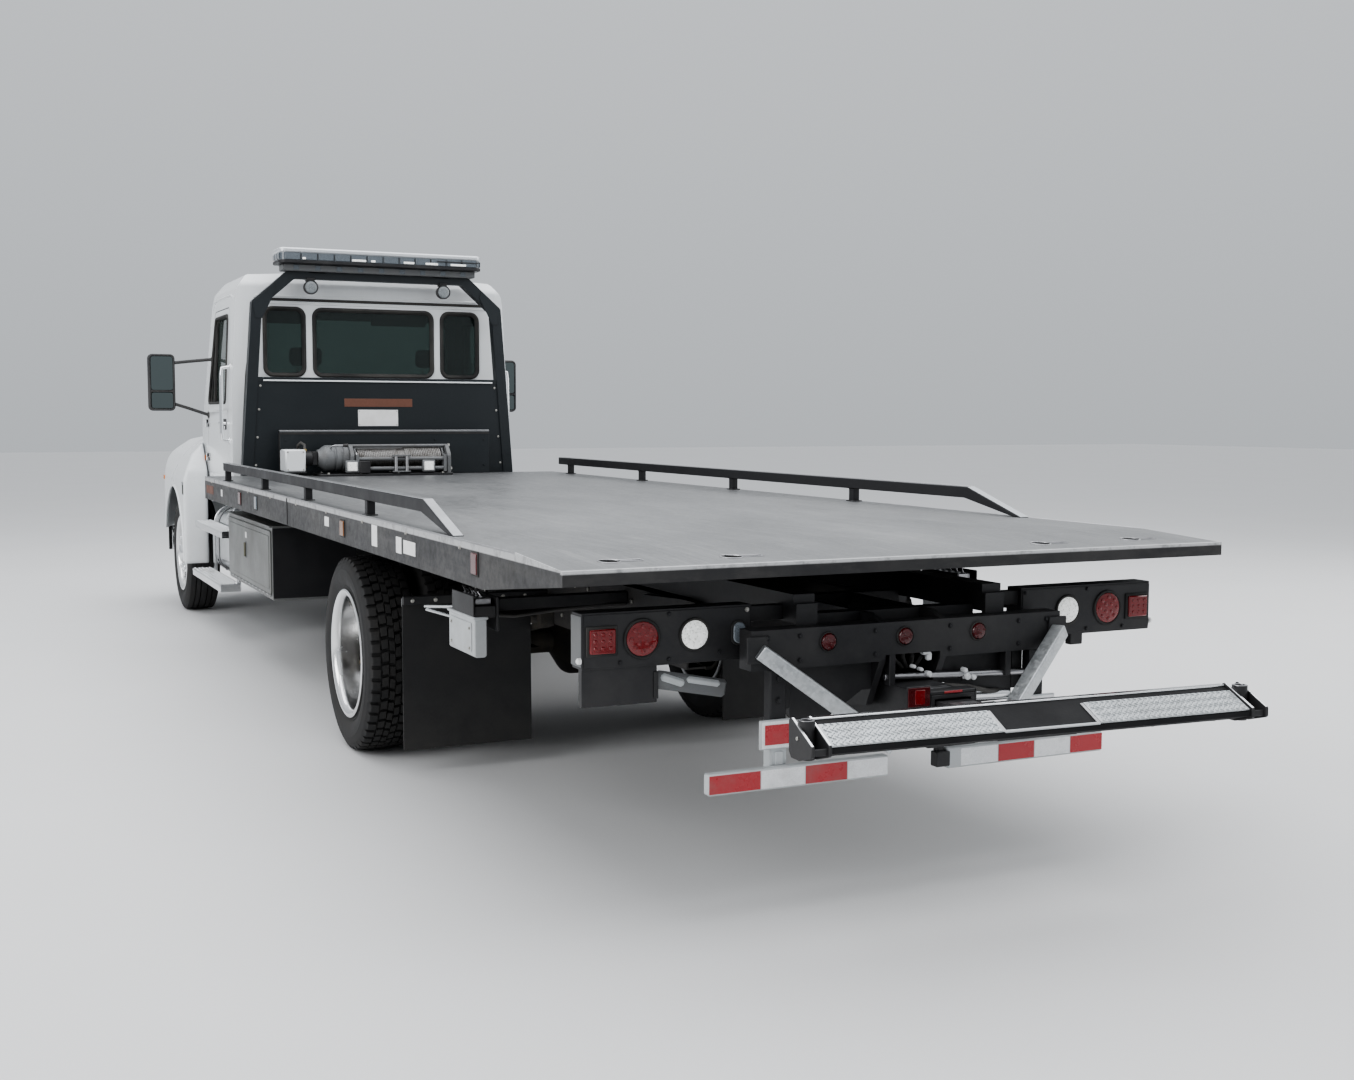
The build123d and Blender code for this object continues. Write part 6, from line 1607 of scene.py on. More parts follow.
for s, name, body in ((1, "left", "left_door"), (-1, "right", "right_door")):
    k = Kit()
    ring = rounded([(-3.612, 1.706, 0.03), (-3.384, 2.338, 0.05), (-2.838, 2.338, 0.05), (-2.838, 1.706, 0.04)], 8)
    normal = Vector((s * 0.998, 0, 0.05)).normalized()
    add_pane(k, ring, lambda y, z: Vector((s * (side_x(z) - 0.027), y, z)), normal, "glass")
    k.make(f"{name}_door_pane", body, [f"door_glass_{name}"], "glass", weighted=False)

    d = Kit()
    ring = rounded([(-3.622, 1.700, 0.03), (-3.390, 2.345, 0.05), (-2.832, 2.345, 0.05), (-2.832, 1.700, 0.04)], 8)
    d.sweep([(s * (side_x(z) + 0.001), y, z) for y, z in ring], 0.0105, "rubber", 10, closed=True)
    d.sweep([(s * (side_x(z) - 0.018), y, z) for y, z in ring], 0.012, "rubber", 8, closed=True)
    # quarter bar, handle, lock, mouldings
    d.beam((s * (side_x(1.70) - 0.012), -3.405, 1.702), (s * (side_x(2.30) - 0.012), -3.405, 2.300), 0.022, 0.020, "rubber", b=0.003)
    d.prism(rounded([(-2.960, 1.500, 0.018), (-2.810, 1.500, 0.018), (-2.810, 1.580, 0.018), (-2.960, 1.580, 0.018)], 6), "x", *sorted((s * 1.049, s * 1.053)),
            "plastic", 0.0015)
    d.sweep([(s * 1.052, -2.945, 1.548), (s * 1.082, -2.935, 1.548), (s * 1.086, -2.885, 1.548), (s * 1.082, -2.835, 1.548), (s * 1.052, -2.825, 1.548)], 0.010,
            "chrome", 12)
    d.lathe([(0, 0.0), (0, 0.014), (0.004, 0.013), (0.005, 0.0)], (s * 1.052, -2.885, 1.512), (s, 0, 0), "chrome", 20, closed=False)
    d.box((s * 1.0485, s * 1.0545), (-3.650, -2.800), (1.628, 1.642), "white", 0.0028)
    d.box((s * 1.0485, s * 1.0525), (-3.640, -2.810), (1.030, 1.160), "white", 0.002)
    # inner panel: pad, pull, crank and speaker
    d.prism(rounded([(-3.640, 1.060, 0.03), (-2.815, 1.060, 0.03), (-2.815, 1.660, 0.03), (-3.640, 1.660, 0.03)], 6), "x", *sorted((s * 0.9895, s * 0.978)),
            "plastic", 0.004)
    d.prism(rounded([(-3.560, 1.390, 0.03), (-2.900, 1.390, 0.03), (-2.900, 1.470, 0.03), (-3.560, 1.470, 0.03)], 6), "x", *sorted((s * 0.979, s * 0.930)),
            "vinyl", 0.015)
    d.lathe([(0, 0.075), (0.006, 0.072), (0.004, 0.062), (0.002, 0.0)], (s * 0.978, -3.500, 1.200), (-s, 0, 0), "plastic", 32, closed=False)
    d.sweep([(s * 0.976, -3.100, 1.540), (s * 0.950, -3.110, 1.545), (s * 0.946, -3.170, 1.545), (s * 0.950, -3.230, 1.545), (s * 0.976, -3.240, 1.540)], 0.008,
            "chrome", 10)
    d.make(f"{name}_door_trim", body, [], "dark_trim")

    # mirror: housing with a flat and a convex glass facing aft, on two arms
    m = Kit()
    hx, hz = (1.300, 1.500), (1.640, 2.080)
    outline_ = rounded([(hx[0], hz[0], 0.035), (hx[1], hz[0], 0.035), (hx[1], hz[1], 0.035), (hx[0], hz[1], 0.035)], 6)
    outline_ = [(s * a, b) for a, b in outline_]
    m.prism(outline_, "y", -3.690, -3.622, "plastic", 0.016)
    ring_ = rounded([(hx[0] + 0.010, hz[0] + 0.010, 0.028), (hx[1] - 0.010, hz[0] + 0.010, 0.028), (hx[1] - 0.010, hz[1] - 0.010, 0.028),
                     (hx[0] + 0.010, hz[1] - 0.010, 0.028)], 6)
    m.sweep([(s * a, -3.620, b) for a, b in ring_], 0.008, "plastic", 8, closed=True)
    m.prism([(s * a, b) for a, b in rounded([(1.318, 1.800, 0.02), (1.482, 1.800, 0.02), (1.482, 2.062, 0.02), (1.318, 2.062, 0.02)], 5)], "y", -3.623, -3.6165, "mirror",
            0.0012)
    m.prism([(s * a, b) for a, b in rounded([(1.318, 1.658, 0.02), (1.482, 1.658, 0.02), (1.482, 1.784, 0.02), (1.318, 1.784, 0.02)], 5)], "y", -3.623, -3.6150, "mirror",
            0.0030)
    m.box((s * 1.312, s * 1.488), (-3.623, -3.6140), (1.786, 1.797), "plastic", 0.002)
    m.sweep([(s * 1.052, -3.640, 1.610), (s * 1.090, -3.640, 1.622), (s * 1.200, -3.643, 1.660), (s * 1.300, -3.648, 1.692), (s * 1.335, -3.652, 1.704)], 0.0125, "plastic", 14)
    m.sweep([(s * 1.036, -3.520, 2.040), (s * 1.080, -3.536, 2.036), (s * 1.200, -3.586, 2.024), (s * 1.300, -3.628, 2.013), (s * 1.335, -3.645, 2.010)], 0.0125, "plastic", 14)
    m.rod((s * 1.335, -3.656, 1.690), (s * 1.335, -3.656, 2.020), 0.012, "plastic", 14)
    m.lathe([(0, 0.0), (0, 0.030), (0.008, 0.028), (0.012, 0.020), (0.014, 0.0)], (s * 1.0485, -3.640, 1.610), (s, 0, 0), "plastic", 24, closed=False)
    m.lathe([(0, 0.0), (0, 0.026), (0.008, 0.024), (0.012, 0.018), (0.014, 0.0)], (s * 1.0300, -3.519, 2.040), (s, 0, 0.05), "plastic", 24, closed=False)
    m.make(f"{name}_mirror_head", f"{name}_door", [f"mirror_{name}"], "dark_trim")

# ------------------------------------------------------------------ pylon fittings and light bar
py = Kit()
# blank plate and bare strip, thin bright rail across
py.box((-0.123, 0.177), (-2.3680, -2.3655), (1.530, 1.650), "label", 0.001)
py.box((-0.233, 0.277), (-2.3680, -2.3660), (1.672, 1.732), "orange", 0.001)
for x, z in ((-0.113, 1.54), (0.167, 1.54), (-0.113, 1.64), (0.167, 1.64)):
    bolt_at(py, (x, -2.3655, z), (0, 1, 0), 0.003)
py.box((-0.860, 0.860), (-2.3630, -2.3560), (1.8530, 1.8640), "white", 0.002)
for s in (1, -1):
    for z in (1.25, 1.45, 1.65, 1.82):
        bolt_at(py, (s * (0.925 - 0.050 * (z - 1.2) / 0.68), -2.3680, z), (0, 1, 0), 0.0065)
    # gusset plates at the bends
    py.prism([(s * 0.860, 2.300), (s * 0.905, 2.300), (s * 0.925, 2.410), (s * 0.780, 2.548), (s * 0.760, 2.500)], "y", -2.3585, -2.3540, "navy", 0.001)
    py.box((s * 0.955, s * 1.015), (-2.4380, -2.3550), (1.0920, 1.1010), "navy", 0.002)
for s in (1, -1):
    # round lamps in their shells
    x = 0.512 if s > 0 else -0.476
    py.lathe([(-2.4150, 0.0), (-2.4150, 0.024), (-2.4050, 0.038), (-2.3850, 0.048), (-2.3500, 0.051), (-2.3380, 0.052), (-2.3320, 0.050), (-2.3320, 0.046),
              (-2.3400, 0.044)], (x, 0, 2.530), (0, 1, 0), "plastic", 40, closed=False)
    py.lathe([(-2.3395, 0.045), (-2.3340, 0.040), (-2.3310, 0.024), (-2.3302, 0.0)], (x, 0, 2.530), (0, 1, 0), "work_lens", 40, closed=False)
    for k in range(6):
        a = math.pi * k / 3
        py.lathe([(-2.345, 0.011), (-2.333, 0.010), (-2.330, 0.0)], (x + 0.025 * math.cos(a), 0, 2.530 + 0.025 * math.sin(a)), (0, 1, 0), "work_lens", 14, closed=False)
    py.box((x - 0.028, x + 0.028), (-2.412, -2.346), (2.574, 2.600), "black", 0.003)
    py.hexbolt((x, -2.398, 2.574), (0, 0, -1), 0.009, 0.008, "bolt")
    # feet of the light bar
    py.prism(rounded([(s * 0.395, 2.630, 0.006), (s * 0.525, 2.630, 0.006), (s * 0.510, 2.700, 0.004), (s * 0.410, 2.700, 0.004)] if s > 0 else
                     [(s * 0.525, 2.630, 0.006), (s * 0.395, 2.630, 0.006), (s * 0.410, 2.700, 0.004), (s * 0.510, 2.700, 0.004)], 3), "y", -2.440, -2.360, "black", 0.004)
# bar: dark tray, lamp modules under clear covers, silver top
tray = rounded([(-0.750, -2.545, 0.050), (0.750, -2.545, 0.050), (0.750, -2.255, 0.050), (-0.750, -2.255, 0.050)], 8)
py.prism(tray, "z", 2.690, 2.7140, "black", 0.004)
# grey mounting tray between the bar and the pylon's beam
py.box((-0.715, 0.715), (-2.462, -2.318), (2.6420, 2.6905), "grey_plastic", 0.006)
for k in range(9):
    py.box((-0.640 + k * 0.155, -0.600 + k * 0.155), (-2.3185, -2.3145), (2.650, 2.683), "bar_lens", 0.002)
small = rounded([(-0.742, -2.537, 0.045), (0.742, -2.537, 0.045), (0.742, -2.263, 0.045), (-0.742, -2.263, 0.045)], 8)
py.prism(small, "z", 2.7130, 2.7700, "bar_lens", 0.002)
py.prism(tray, "z", 2.7640, 2.8000, "silver", 0.010)
for face, d in ((-2.262, 1), (-2.538, -1)):
    for k in range(12):
        x = -0.655 + k * 0.119
        py.box((x - 0.052, x + 0.052), (face, face + d * 0.005), (2.7165, 2.7610), "bar_lens", 0.002)
        py.box((x - 0.0575, x - 0.0545), (face, face + d * 0.006), (2.7150, 2.7630), "black", 0.001)
    for x, w in ((0.576, 0.012), (0.180, 0.052), (0.076, 0.016), (-0.190, 0.040), (-0.362, 0.048), (-0.566, 0.060)):
        py.box((x - w, x + w), (face + d * 0.003, face + d * 0.010), (2.7185, 2.7340), "led", 0.003)
    py.box((-0.735, -0.400), (face + d * 0.002, face + d * 0.012), (2.7440, 2.7500), "black", 0.001)
for s in (1, -1):
    for k in range(3):
        y = -2.480 + k * 0.080
        py.box((s * 0.7400, s * 0.7485), (y - 0.030, y + 0.030), (2.7200, 2.7600), "bar_lens", 0.003)
py.sweep([(0.44, -2.420, 2.690), (0.44, -2.440, 2.670), (0.45, -2.452, 2.640), (0.60, -2.452, 2.600), (0.72, -2.452, 2.560), (0.90, -2.452, 2.380), (0.965, -2.452, 1.9),
          (0.998, -2.452, 1.4), (1.005, -2.448, 1.12)], 0.007, "hose", 8)
py.make("light_bar_and_pylon_lamps", "chassis", ["pylon_lights"], "light_bar")

# ------------------------------------------------------------------ hood fittings, grille, lamps, bumper
nose = Kit()
# grille: chrome surround with an inner lip, bars and a mesh behind them
gx, g0, g1 = 0.556, 0.794, 1.211
outer = rounded([(-gx, g0, 0.030), (gx, g0, 0.030), (gx, g1, 0.045), (-gx, g1, 0.045)], 7)
innr = rounded([(-gx + 0.034, g0 + 0.034, 0.018), (gx - 0.034, g0 + 0.034, 0.018), (gx - 0.034, g1 - 0.034, 0.022), (-gx + 0.034, g1 - 0.034, 0.022)], 7)


def frame_ring(kit, outer, innr, y0, y1, mat, b=0.006):
    n = len(outer)
    o2, i2 = inset(outer, b), inset(innr, -b)
    rows = [(outer, y1 + 0.0), (outer, y0 + b), (o2, y0), (i2, y0), (innr, y0 + b), (innr, y1)]
    verts = [(a, y, c) for ring, y in rows for a, c in ring]
    faces = []
    for k in range(len(rows)):
        l = (k + 1) % len(rows)
        for i in range(n):
            j = (i + 1) % n
            faces.append([k * n + i, k * n + j, l * n + j, l * n + i])
    kit.add(verts, faces, mat)


frame_ring(nose, outer, innr, -5.2520, -5.2150, "chrome", 0.009)
for k in range(9):
    z = g0 + 0.062 + k * 0.0365
    nose.prism([(-5.2470, z), (-5.2440, z + 0.011), (-5.2180, z + 0.013), (-5.2180, z - 0.002), (-5.2440, z - 0.001)], "x", -gx + 0.030, gx - 0.030, "chrome", 0.0)
for x in (-0.26, 0.0, 0.26):
    nose.box((x - 0.006, x + 0.006), (-5.236, -5.219), (g0 + 0.030, g1 - 0.030), "black", 0.002)
nose.box((-gx + 0.020, gx - 0.020), (-5.2175, -5.2145), (g0 + 0.020, g1 - 0.020), "black", 0.001)
for k in range(48):
    x = -gx + 0.045 + k * (2 * gx - 0.09) / 47
    nose.box((x - 0.0015, x + 0.0015), (-5.2205, -5.2170), (g0 + 0.032, g1 - 0.032), "rubber", 0.0005)
for k in range(18):
    z = g0 + 0.045 + k * 0.0198
    nose.box((-gx + 0.032, gx - 0.032), (-5.2205, -5.2170), (z - 0.0015, z + 0.0015), "rubber", 0.0005)
nose.make("grille_bars_and_mesh", "hood_assembly", ["grille"], "chrome")

lamp_kit = Kit()
for s in (1, -1):
    # bezel and bowls that follow the fender's rounded corner
    def corner(x, z, off):
        """Front skin of the fender at x, moved out by off."""
        if x < 0.70:
            y = -5.235
        elif x < 1.060:
            y = -5.235 + (x - 0.70) / 0.360 * 0.045
        else:
            y = -5.190 + (x - 1.060) / 0.135 * 0.130
        return y - off
    ring = rounded([(0.752, 0.862, 0.030), (0.998, 0.862, 0.030), (0.998, 1.018, 0.036), (0.752, 1.018, 0.030)], 7)
    lamp_kit.sweep([(s * a, corner(a, c, 0.001), c) for a, c in ring], 0.0095, "chrome", 10, closed=True)
    for x, r in ((0.818, 0.056), (0.934, 0.056)):
        y = corner(x, 0.94, 0.0)
        lamp_kit.lathe([(0.0015, 0.0), (0.0010, r * 0.30), (0.0030, r * 0.62), (0.0060, r * 0.90), (0.0070, r), (0.0030, r * 1.05), (-0.004, r * 1.06)],
                       (s * x, y, 0.940), (s * 0.12, -1, 0), "chrome", 40, closed=False)
        lamp_kit.lathe([(0.0010, r * 0.34), (0.0080, r * 0.30), (0.0110, r * 0.18), (0.0120, 0.0)], (s * x, y, 0.940), (s * 0.12, -1, 0), "clear", 30, closed=False)
    # amber turn lamp at the outer end
    for k in range(5):
        z = 0.880 + k * 0.030
        lamp_kit.box((s * 0.980, s * 0.990), (corner(0.985, z, 0.006), corner(0.985, z, -0.004)), (z - 0.011, z + 0.011), "amber", 0.002)
    # fender side marker and rubber latch with its catch on the cowl
    lamp_kit.box((s * 1.2470, s * 1.2560), (-4.900, -4.820), (1.060, 1.095), "amber", 0.003)
    lamp_kit.box((s * 1.2480, s * 1.2530), (-3.760, -3.715), (0.980, 1.080), "rubber", 0.002)
    lamp_kit.box((s * 1.2480, s * 1.2590), (-3.768, -3.708), (1.060, 1.078), "chrome", 0.003)
    # raised side vent of the bonnet
    for k in range(5):
        z = 1.205 + k * 0.034
        x = 0.906 - (z - 1.0) / 0.43 * 0.040 - 0.012
        lamp_kit.box((s * (x - 0.004), s * (x + 0.010)), (-4.200, -4.040), (z - 0.0050, z + 0.0050), "plastic", 0.0030)
    # arch lip
    path = []
    for k in range(41):
        a = math.radians(-2 + 163 * k / 40)
        path.append((s * 1.2480, FRONT_Y + 0.562 * math.cos(a), AXLE_Z + 0.562 * math.sin(a)))
    lamp_kit.sweep(path, 0.0105, "white", 10)
# centre crease and washer jets of the bonnet
lamp_kit.sweep([(0.0, -5.205, 1.324), (0.0, -4.90, 1.398), (0.0, -4.50, 1.489), (0.0, -4.08, 1.5835)], 0.010, "white", 10)
for x in (-0.33, 0.33):
    lamp_kit.box((x - 0.014, x + 0.014), (-4.140, -4.105), (1.568, 1.584), "plastic", 0.004)
lamp_kit.make("headlamp_bezels_and_hood_trim", "hood_assembly", [], "chrome")

bump_kit = Kit()
for s in (1, -1):
    # fog lamps in the bumper's windows
    bump_kit.lathe([(-5.338, 0.0), (-5.344, 0.024), (-5.350, 0.026), (-5.352, 0.020), (-5.354, 0.0)], (s * 0.670, 0, 0.530), (0, 1, 0), "clear", 28, closed=False)
    bump_kit.box((s * 0.632, s * 0.768), (-5.350, -5.338), (0.508, 0.552), "black", 0.004)
    bump_kit.lathe([(0.0, 0.020), (0.006, 0.019), (0.008, 0.0)], (s * 0.665, -5.350, 0.530), (0, -1, 0), "clear", 24, closed=False)
    bump_kit.lathe([(0.0, 0.020), (0.006, 0.019), (0.008, 0.0)], (s * 0.735, -5.350, 0.530), (0, -1, 0), "amber", 24, closed=False)
    # tow loops through the bumper
    path = [(s * 0.440, -5.250, 0.600), (s * 0.440, -5.330, 0.606), (s * 0.440, -5.3570, 0.622), (s * 0.440, -5.3570, 0.644), (s * 0.440, -5.330, 0.660), (s * 0.440, -5.250, 0.666)]
    for x in (0.28, 0.50, 0.90, 1.05):
        bolt_at(bump_kit, (s * x, -5.3600 if x < 0.95 else -5.342, 0.640), (0, -1, 0) if x < 0.95 else (s * 0.40, -0.92, 0), 0.007, "chrome")
# blank number plate on its bracket
bump_kit.box((-0.165, 0.165), (-5.3625, -5.3590), (0.475, 0.635), "label", 0.001)
bump_kit.box((-0.172, 0.172), (-5.3605, -5.3580), (0.468, 0.642), "chrome", 0.002)
bump_kit.box((-0.980, 0.980), (-5.352, -5.262), (0.6885, 0.6925), "rubber", 0.001)
for k in range(60):
    x = -0.965 + k * 1.93 / 59
    bump_kit.box((x - 0.004, x + 0.004), (-5.348, -5.268), (0.6920, 0.6945), "rubber", 0.001)
bump_kit.make("bumper_lamps_and_step_pad", "chassis", [], "chrome")

# ------------------------------------------------------------------ cab inside
def puffed(verts, faces, pressure, cap, frames=14, voxel=0.013):
    """A padded form: remeshed, blown up by cloth pressure with its travel capped, then read back as a mesh."""
    mesh = bpy.data.meshes.new("pad")
    mesh.from_pydata([tuple(v) for v in verts], [], faces)
    o = bpy.data.objects.new("pad", mesh)
    bpy.context.scene.collection.objects.link(o)
    r = o.modifiers.new("remesh", "REMESH")
    r.mode = "VOXEL"
    r.voxel_size = voxel
    dg = bpy.context.evaluated_depsgraph_get()
    base = bpy.data.meshes.new_from_object(o.evaluated_get(dg))
    o.modifiers.clear()
    o.data = base
    start = np.empty(len(base.vertices) * 3)
    base.vertices.foreach_get("co", start)
    result = start.copy()
    c = o.modifiers.new("cloth", "CLOTH")
    c.settings.use_pressure = True
    c.settings.uniform_pressure_force = pressure
    c.settings.effector_weights.gravity = 0
    c.settings.mass = 0.3
    c.settings.quality = 5
    c.settings.tension_stiffness = c.settings.compression_stiffness = 12
    c.point_cache.frame_start, c.point_cache.frame_end = 1, frames
    for f in range(1, frames + 1):
        bpy.context.scene.frame_set(f)
    blown = o.evaluated_get(bpy.context.evaluated_depsgraph_get()).data
    result = np.empty(len(blown.vertices) * 3)
    blown.vertices.foreach_get("co", result)
    bpy.context.scene.frame_set(1)
    move = (result - start).reshape(-1, 3)
    size = np.linalg.norm(move, axis=1, keepdims=True)
    move *= np.minimum(1.0, cap / np.maximum(size, 1e-9))
    done = start.reshape(-1, 3) + move
    out_faces = [list(p.vertices) for p in base.polygons]
    bpy.data.objects.remove(o)
    return done, out_faces


def slab(c, ax, ay, az, hx, hy, hz, cuts=5, crown=0.0):
    """A rounded block as a starting form for a pad."""
    k = Kit()
    k.frame_box(Vector(c), Vector(ax), Vector(ay), Vector(az), hx, hy, hz, "cloth", 0.028)
    return np.concatenate(k.v), k.f


UP, ALONG = Vector((0, 0, 1)), Vector((0, 1, 0))
lean = Vector((0, 0.175, 0.985)).normalized()
lean_n = Vector((1, 0, 0)).cross(lean)
seat_forms = {
    "seat_cushion": (slab((0, -3.005, 1.290), (1, 0, 0), ALONG, UP, 0.215, 0.175, 0.050), 4.0, 0.016),
    "seat_back": (slab(Vector((0, -2.806, 1.650)), (1, 0, 0), lean_n, lean, 0.205, 0.048, 0.285), 4.0, 0.016),
    "head_rest": (slab(Vector((0, -2.722, 2.045)), (1, 0, 0), lean_n, lean, 0.125, 0.034, 0.072), 3.0, 0.010),
}
padding = {name: puffed(form[0], form[1], p, cap) for name, (form, p, cap) in seat_forms.items()}

for s, word in ((1, "driver"), (-1, "passenger")):
    x = s * 0.480
    base = Kit()
    for z in range(5):
        base.box((x - 0.150 + 0.006 * (z % 2), x + 0.150 - 0.006 * (z % 2)), (-3.080, -2.780), (1.040 + 0.028 * z, 1.066 + 0.028 * z), "rubber", 0.010)
    base.box((x - 0.170, x + 0.170), (-3.120, -2.730), (1.011, 1.040), "black", 0.004)
    base.box((x - 0.215, x + 0.215), (-3.150, -2.730), (1.185, 1.232), "plastic", 0.012)
    base.frame_box(Vector((x, -2.742, 1.640)), Vector((1, 0, 0)), lean_n, lean, 0.195, 0.014, 0.290, "plastic", 0.012)
    for dx in (-0.055, 0.055):
        base.rod((x + dx, -2.758, 1.900), (x + dx, -2.736, 2.030), 0.006, "chrome", 12)
    # belt buckle, lever and fold-up arm rest
    base.sweep([(x - s * 0.225, -2.860, 1.220), (x - s * 0.235, -2.880, 1.300), (x - s * 0.236, -2.905, 1.390)], 0.010, "plastic", 10)
    base.box((x - s * 0.220, x - s * 0.252), (-2.935, -2.885), (1.390, 1.440), "tape_red", 0.006)
    base.prism(rounded([(-3.080, 1.520, 0.030), (-2.800, 1.520, 0.025), (-2.800, 1.575, 0.025), (-3.080, 1.575, 0.030)], 6), "x",
               *sorted((x - s * 0.222, x - s * 0.262)), "vinyl", 0.012)
    base.make(f"{word}_seat_frame", "chassis", ["seats"] if s > 0 else [], "seat_cloth")
    pads = []
    for name, (verts, faces) in padding.items():
        k = Kit()
        moved = verts.copy()
        moved[:, 0] = moved[:, 0] + x
        # sewn channels pressed into the middle panel
        if name != "head_rest":
            local = verts[:, 0]
            t = verts[:, 1] if name == "seat_cushion" else verts[:, 2]
            t0 = -3.005 if name == "seat_cushion" else 1.650
            normal = np.array(UP if name == "seat_cushion" else -lean_n)
            if name == "seat_back":
                normal = np.array(lean_n) if lean_n.y < 0 else -np.array(lean_n)
            centre = np.array(seat_forms[name][0][0]).mean(axis=0)
            facing = ((verts - centre) @ normal) > 0.015
            groove = np.zeros(len(verts))
            for at in (-0.115, 0.115):
                groove = np.maximum(groove, np.exp(-((local - at) / 0.006) ** 2))
            for j in range(-2, 3):
                inside = 1 / (1 + np.exp((np.abs(local) - 0.110) / 0.004))
                groove = np.maximum(groove, inside * np.exp(-((t - t0 - j * (0.062 if name == "seat_cushion" else 0.095)) / 0.007) ** 2))
            moved -= (groove * facing * 0.0075)[:, None] * normal[None, :]
        k.add(moved, faces, "cloth")
        o = k.make(f"{word}_{name}", "chassis", [], "seat_cloth", angle=80, weighted=False, subdiv=1)
    # shoulder belt from the pillar
k = Kit()
for s in (1, -1):
    x = s * 0.480
    path = [Vector((s * 0.940, -2.700, 2.020)), Vector((s * 0.940, -2.690, 1.700)), Vector((s * 0.945, -2.690, 1.350)), Vector((s * 0.945, -2.700, 1.060))]
    for a, b in zip(path, path[1:]):
        k.beam(a, b, 0.046, 0.0025, "cloth", up=(1, 0, 0), b=0.0008)
    k.box((s * 0.930, s * 0.952), (-2.730, -2.660), (2.010, 2.050), "plastic", 0.005)
    k.box((s * 0.925, s * 0.955), (-2.740, -2.650), (1.045, 1.120), "plastic", 0.008)
# floor mat, pedals, levers
k.box((-0.940, 0.940), (-3.925, -2.630), (1.0015, 1.0085), "carpet", 0.002)
k.box((-0.180, 0.180), (-3.900, -3.050), (1.008, 1.120), "carpet", 0.040)
for x, w, z in ((0.640, 0.028, 1.115), (0.500, 0.040, 1.130), (0.360, 0.040, 1.130)):
    k.frame_box(Vector((x, -3.700, z)), Vector((1, 0, 0)), Vector((0, 0.5, 0.866)), Vector((0, -0.866, 0.5)), w, 0.055, 0.007, "rubber", 0.003)
    k.sweep([(x, -3.705, z), (x, -3.760, z + 0.06), (x, -3.840, z + 0.12), (x, -3.900, z + 0.16)], 0.008, "black", 10)
k.lathe([(0, 0.055), (0.012, 0.050), (0.030, 0.034), (0.055, 0.020), (0.060, 0.010)], (0.080, -3.260, 1.115), (0, 0, 1), "rubber", 28, closed=False)
k.sweep([(0.080, -3.260, 1.120), (0.082, -3.262, 1.240), (0.090, -3.270, 1.340)], 0.008, "chrome", 12)
k.lathe([(0, 0.006), (0.004, 0.018), (0.020, 0.025), (0.038, 0.024), (0.050, 0.014), (0.053, 0.0)], (0.090, -3.270, 1.330), (0, -0.08, 1), "plastic", 24, closed=False)
# centre console box
k.box((-0.130, 0.130), (-3.060, -2.720), (1.009, 1.240), "plastic", 0.020)
k.box((-0.120, 0.120), (-3.050, -2.730), (1.240, 1.262), "vinyl", 0.010)
# dash: hooded dials in front of the driver, switch panels, vents, radio
k.prism(rounded([(-3.760, 1.565, 0.02), (-3.600, 1.505, 0.02), (-3.585, 1.570, 0.02), (-3.640, 1.640, 0.03), (-3.760, 1.640, 0.03)], 6), "x", 0.250, 0.710, "plastic", 0.012)
face_n = Vector((0, 0.93, 0.36)).normalized()
face_u = Vector((1, 0, 0)).cross(face_n)
face_u = face_u if face_u.z > 0 else -face_u


def on_dash(x, t):
    """A point of the dash's aft face: x across, t up from its lower edge."""
    a, b = Vector((0, -3.640, 1.245)), Vector((0, -3.611, 1.480))
    p = a + (b - a) * t
    return Vector((x, p.y + 0.002, p.z))


dn = Vector((0, 0.992, -0.122))
for x in (0.365, 0.480, 0.595):
    r = 0.048 if x != 0.480 else 0.034
    p = Vector((x, -3.586, 1.550))
    k.lathe([(0.0, r * 1.08), (0.006, r * 1.08), (0.006, r), (0.002, r * 0.98), (0.002, 0.0)], p, (0, 0.98, 0.20), "black", 36, closed=False)
    k.lathe([(0.0005, r * 1.10), (0.0075, r * 1.08), (0.0075, r * 1.0), (0.0005, r * 0.99)], p, (0, 0.98, 0.20), "chrome", 36)
    u = Vector((0, 0.98, 0.20)).normalized()
    v = u.cross(Vector((1, 0, 0))).normalized()
    v = v if v.z > 0 else -v
    for j in range(11):
        a = math.radians(-130 + 26 * j)
        d = Vector((1, 0, 0)) * math.sin(a) + v * math.cos(a)
        c = p + u * 0.0026 + d * r * 0.84
        k.frame_box(c, d, u.cross(d), u, r * 0.09, 0.0009, 0.0005, "label", 0.0002)
    d = Vector((1, 0, 0)) * math.sin(-1.5) + v * math.cos(-1.5)
    k.frame_box(p + u * 0.0034 + d * r * 0.32, d, u.cross(d), u, r * 0.42, 0.0011, 0.0006, "tape_red", 0.0003)
    k.lathe([(0.002, 0.005), (0.005, 0.004), (0.006, 0.0)], p, u, "black", 14, closed=False)
for x in (-0.820, -0.200, 0.190, 0.850):
    for j in range(5):
        p = on_dash(x, 0.62 + 0.062 * j)
        k.frame_box(p, Vector((1, 0, 0)), dn, Vector((1, 0, 0)).cross(dn), 0.052, 0.004, 0.0035, "black", 0.001)
k.frame_box(on_dash(-0.005, 0.72), Vector((1, 0, 0)), dn, Vector((1, 0, 0)).cross(dn), 0.094, 0.006, 0.030, "black", 0.003)
k.frame_box(on_dash(-0.005, 0.72) + dn * 0.007, Vector((1, 0, 0)), dn, Vector((1, 0, 0)).cross(dn), 0.055, 0.001, 0.014, "grey_lens", 0.0005)
for dx in (-0.078, 0.068):
    k.lathe([(0.0, 0.012), (0.016, 0.011), (0.018, 0.0)], on_dash(dx, 0.72) + dn * 0.005, dn, "plastic", 20, closed=False)
for j in range(2):
    for i in range(6):
        p = on_dash(-0.060 + 0.024 * i, 0.20 + 0.17 * j)
        k.frame_box(p + dn * 0.003, Vector((1, 0, 0)), dn, Vector((1, 0, 0)).cross(dn), 0.009, 0.005, 0.014, "black", 0.002)
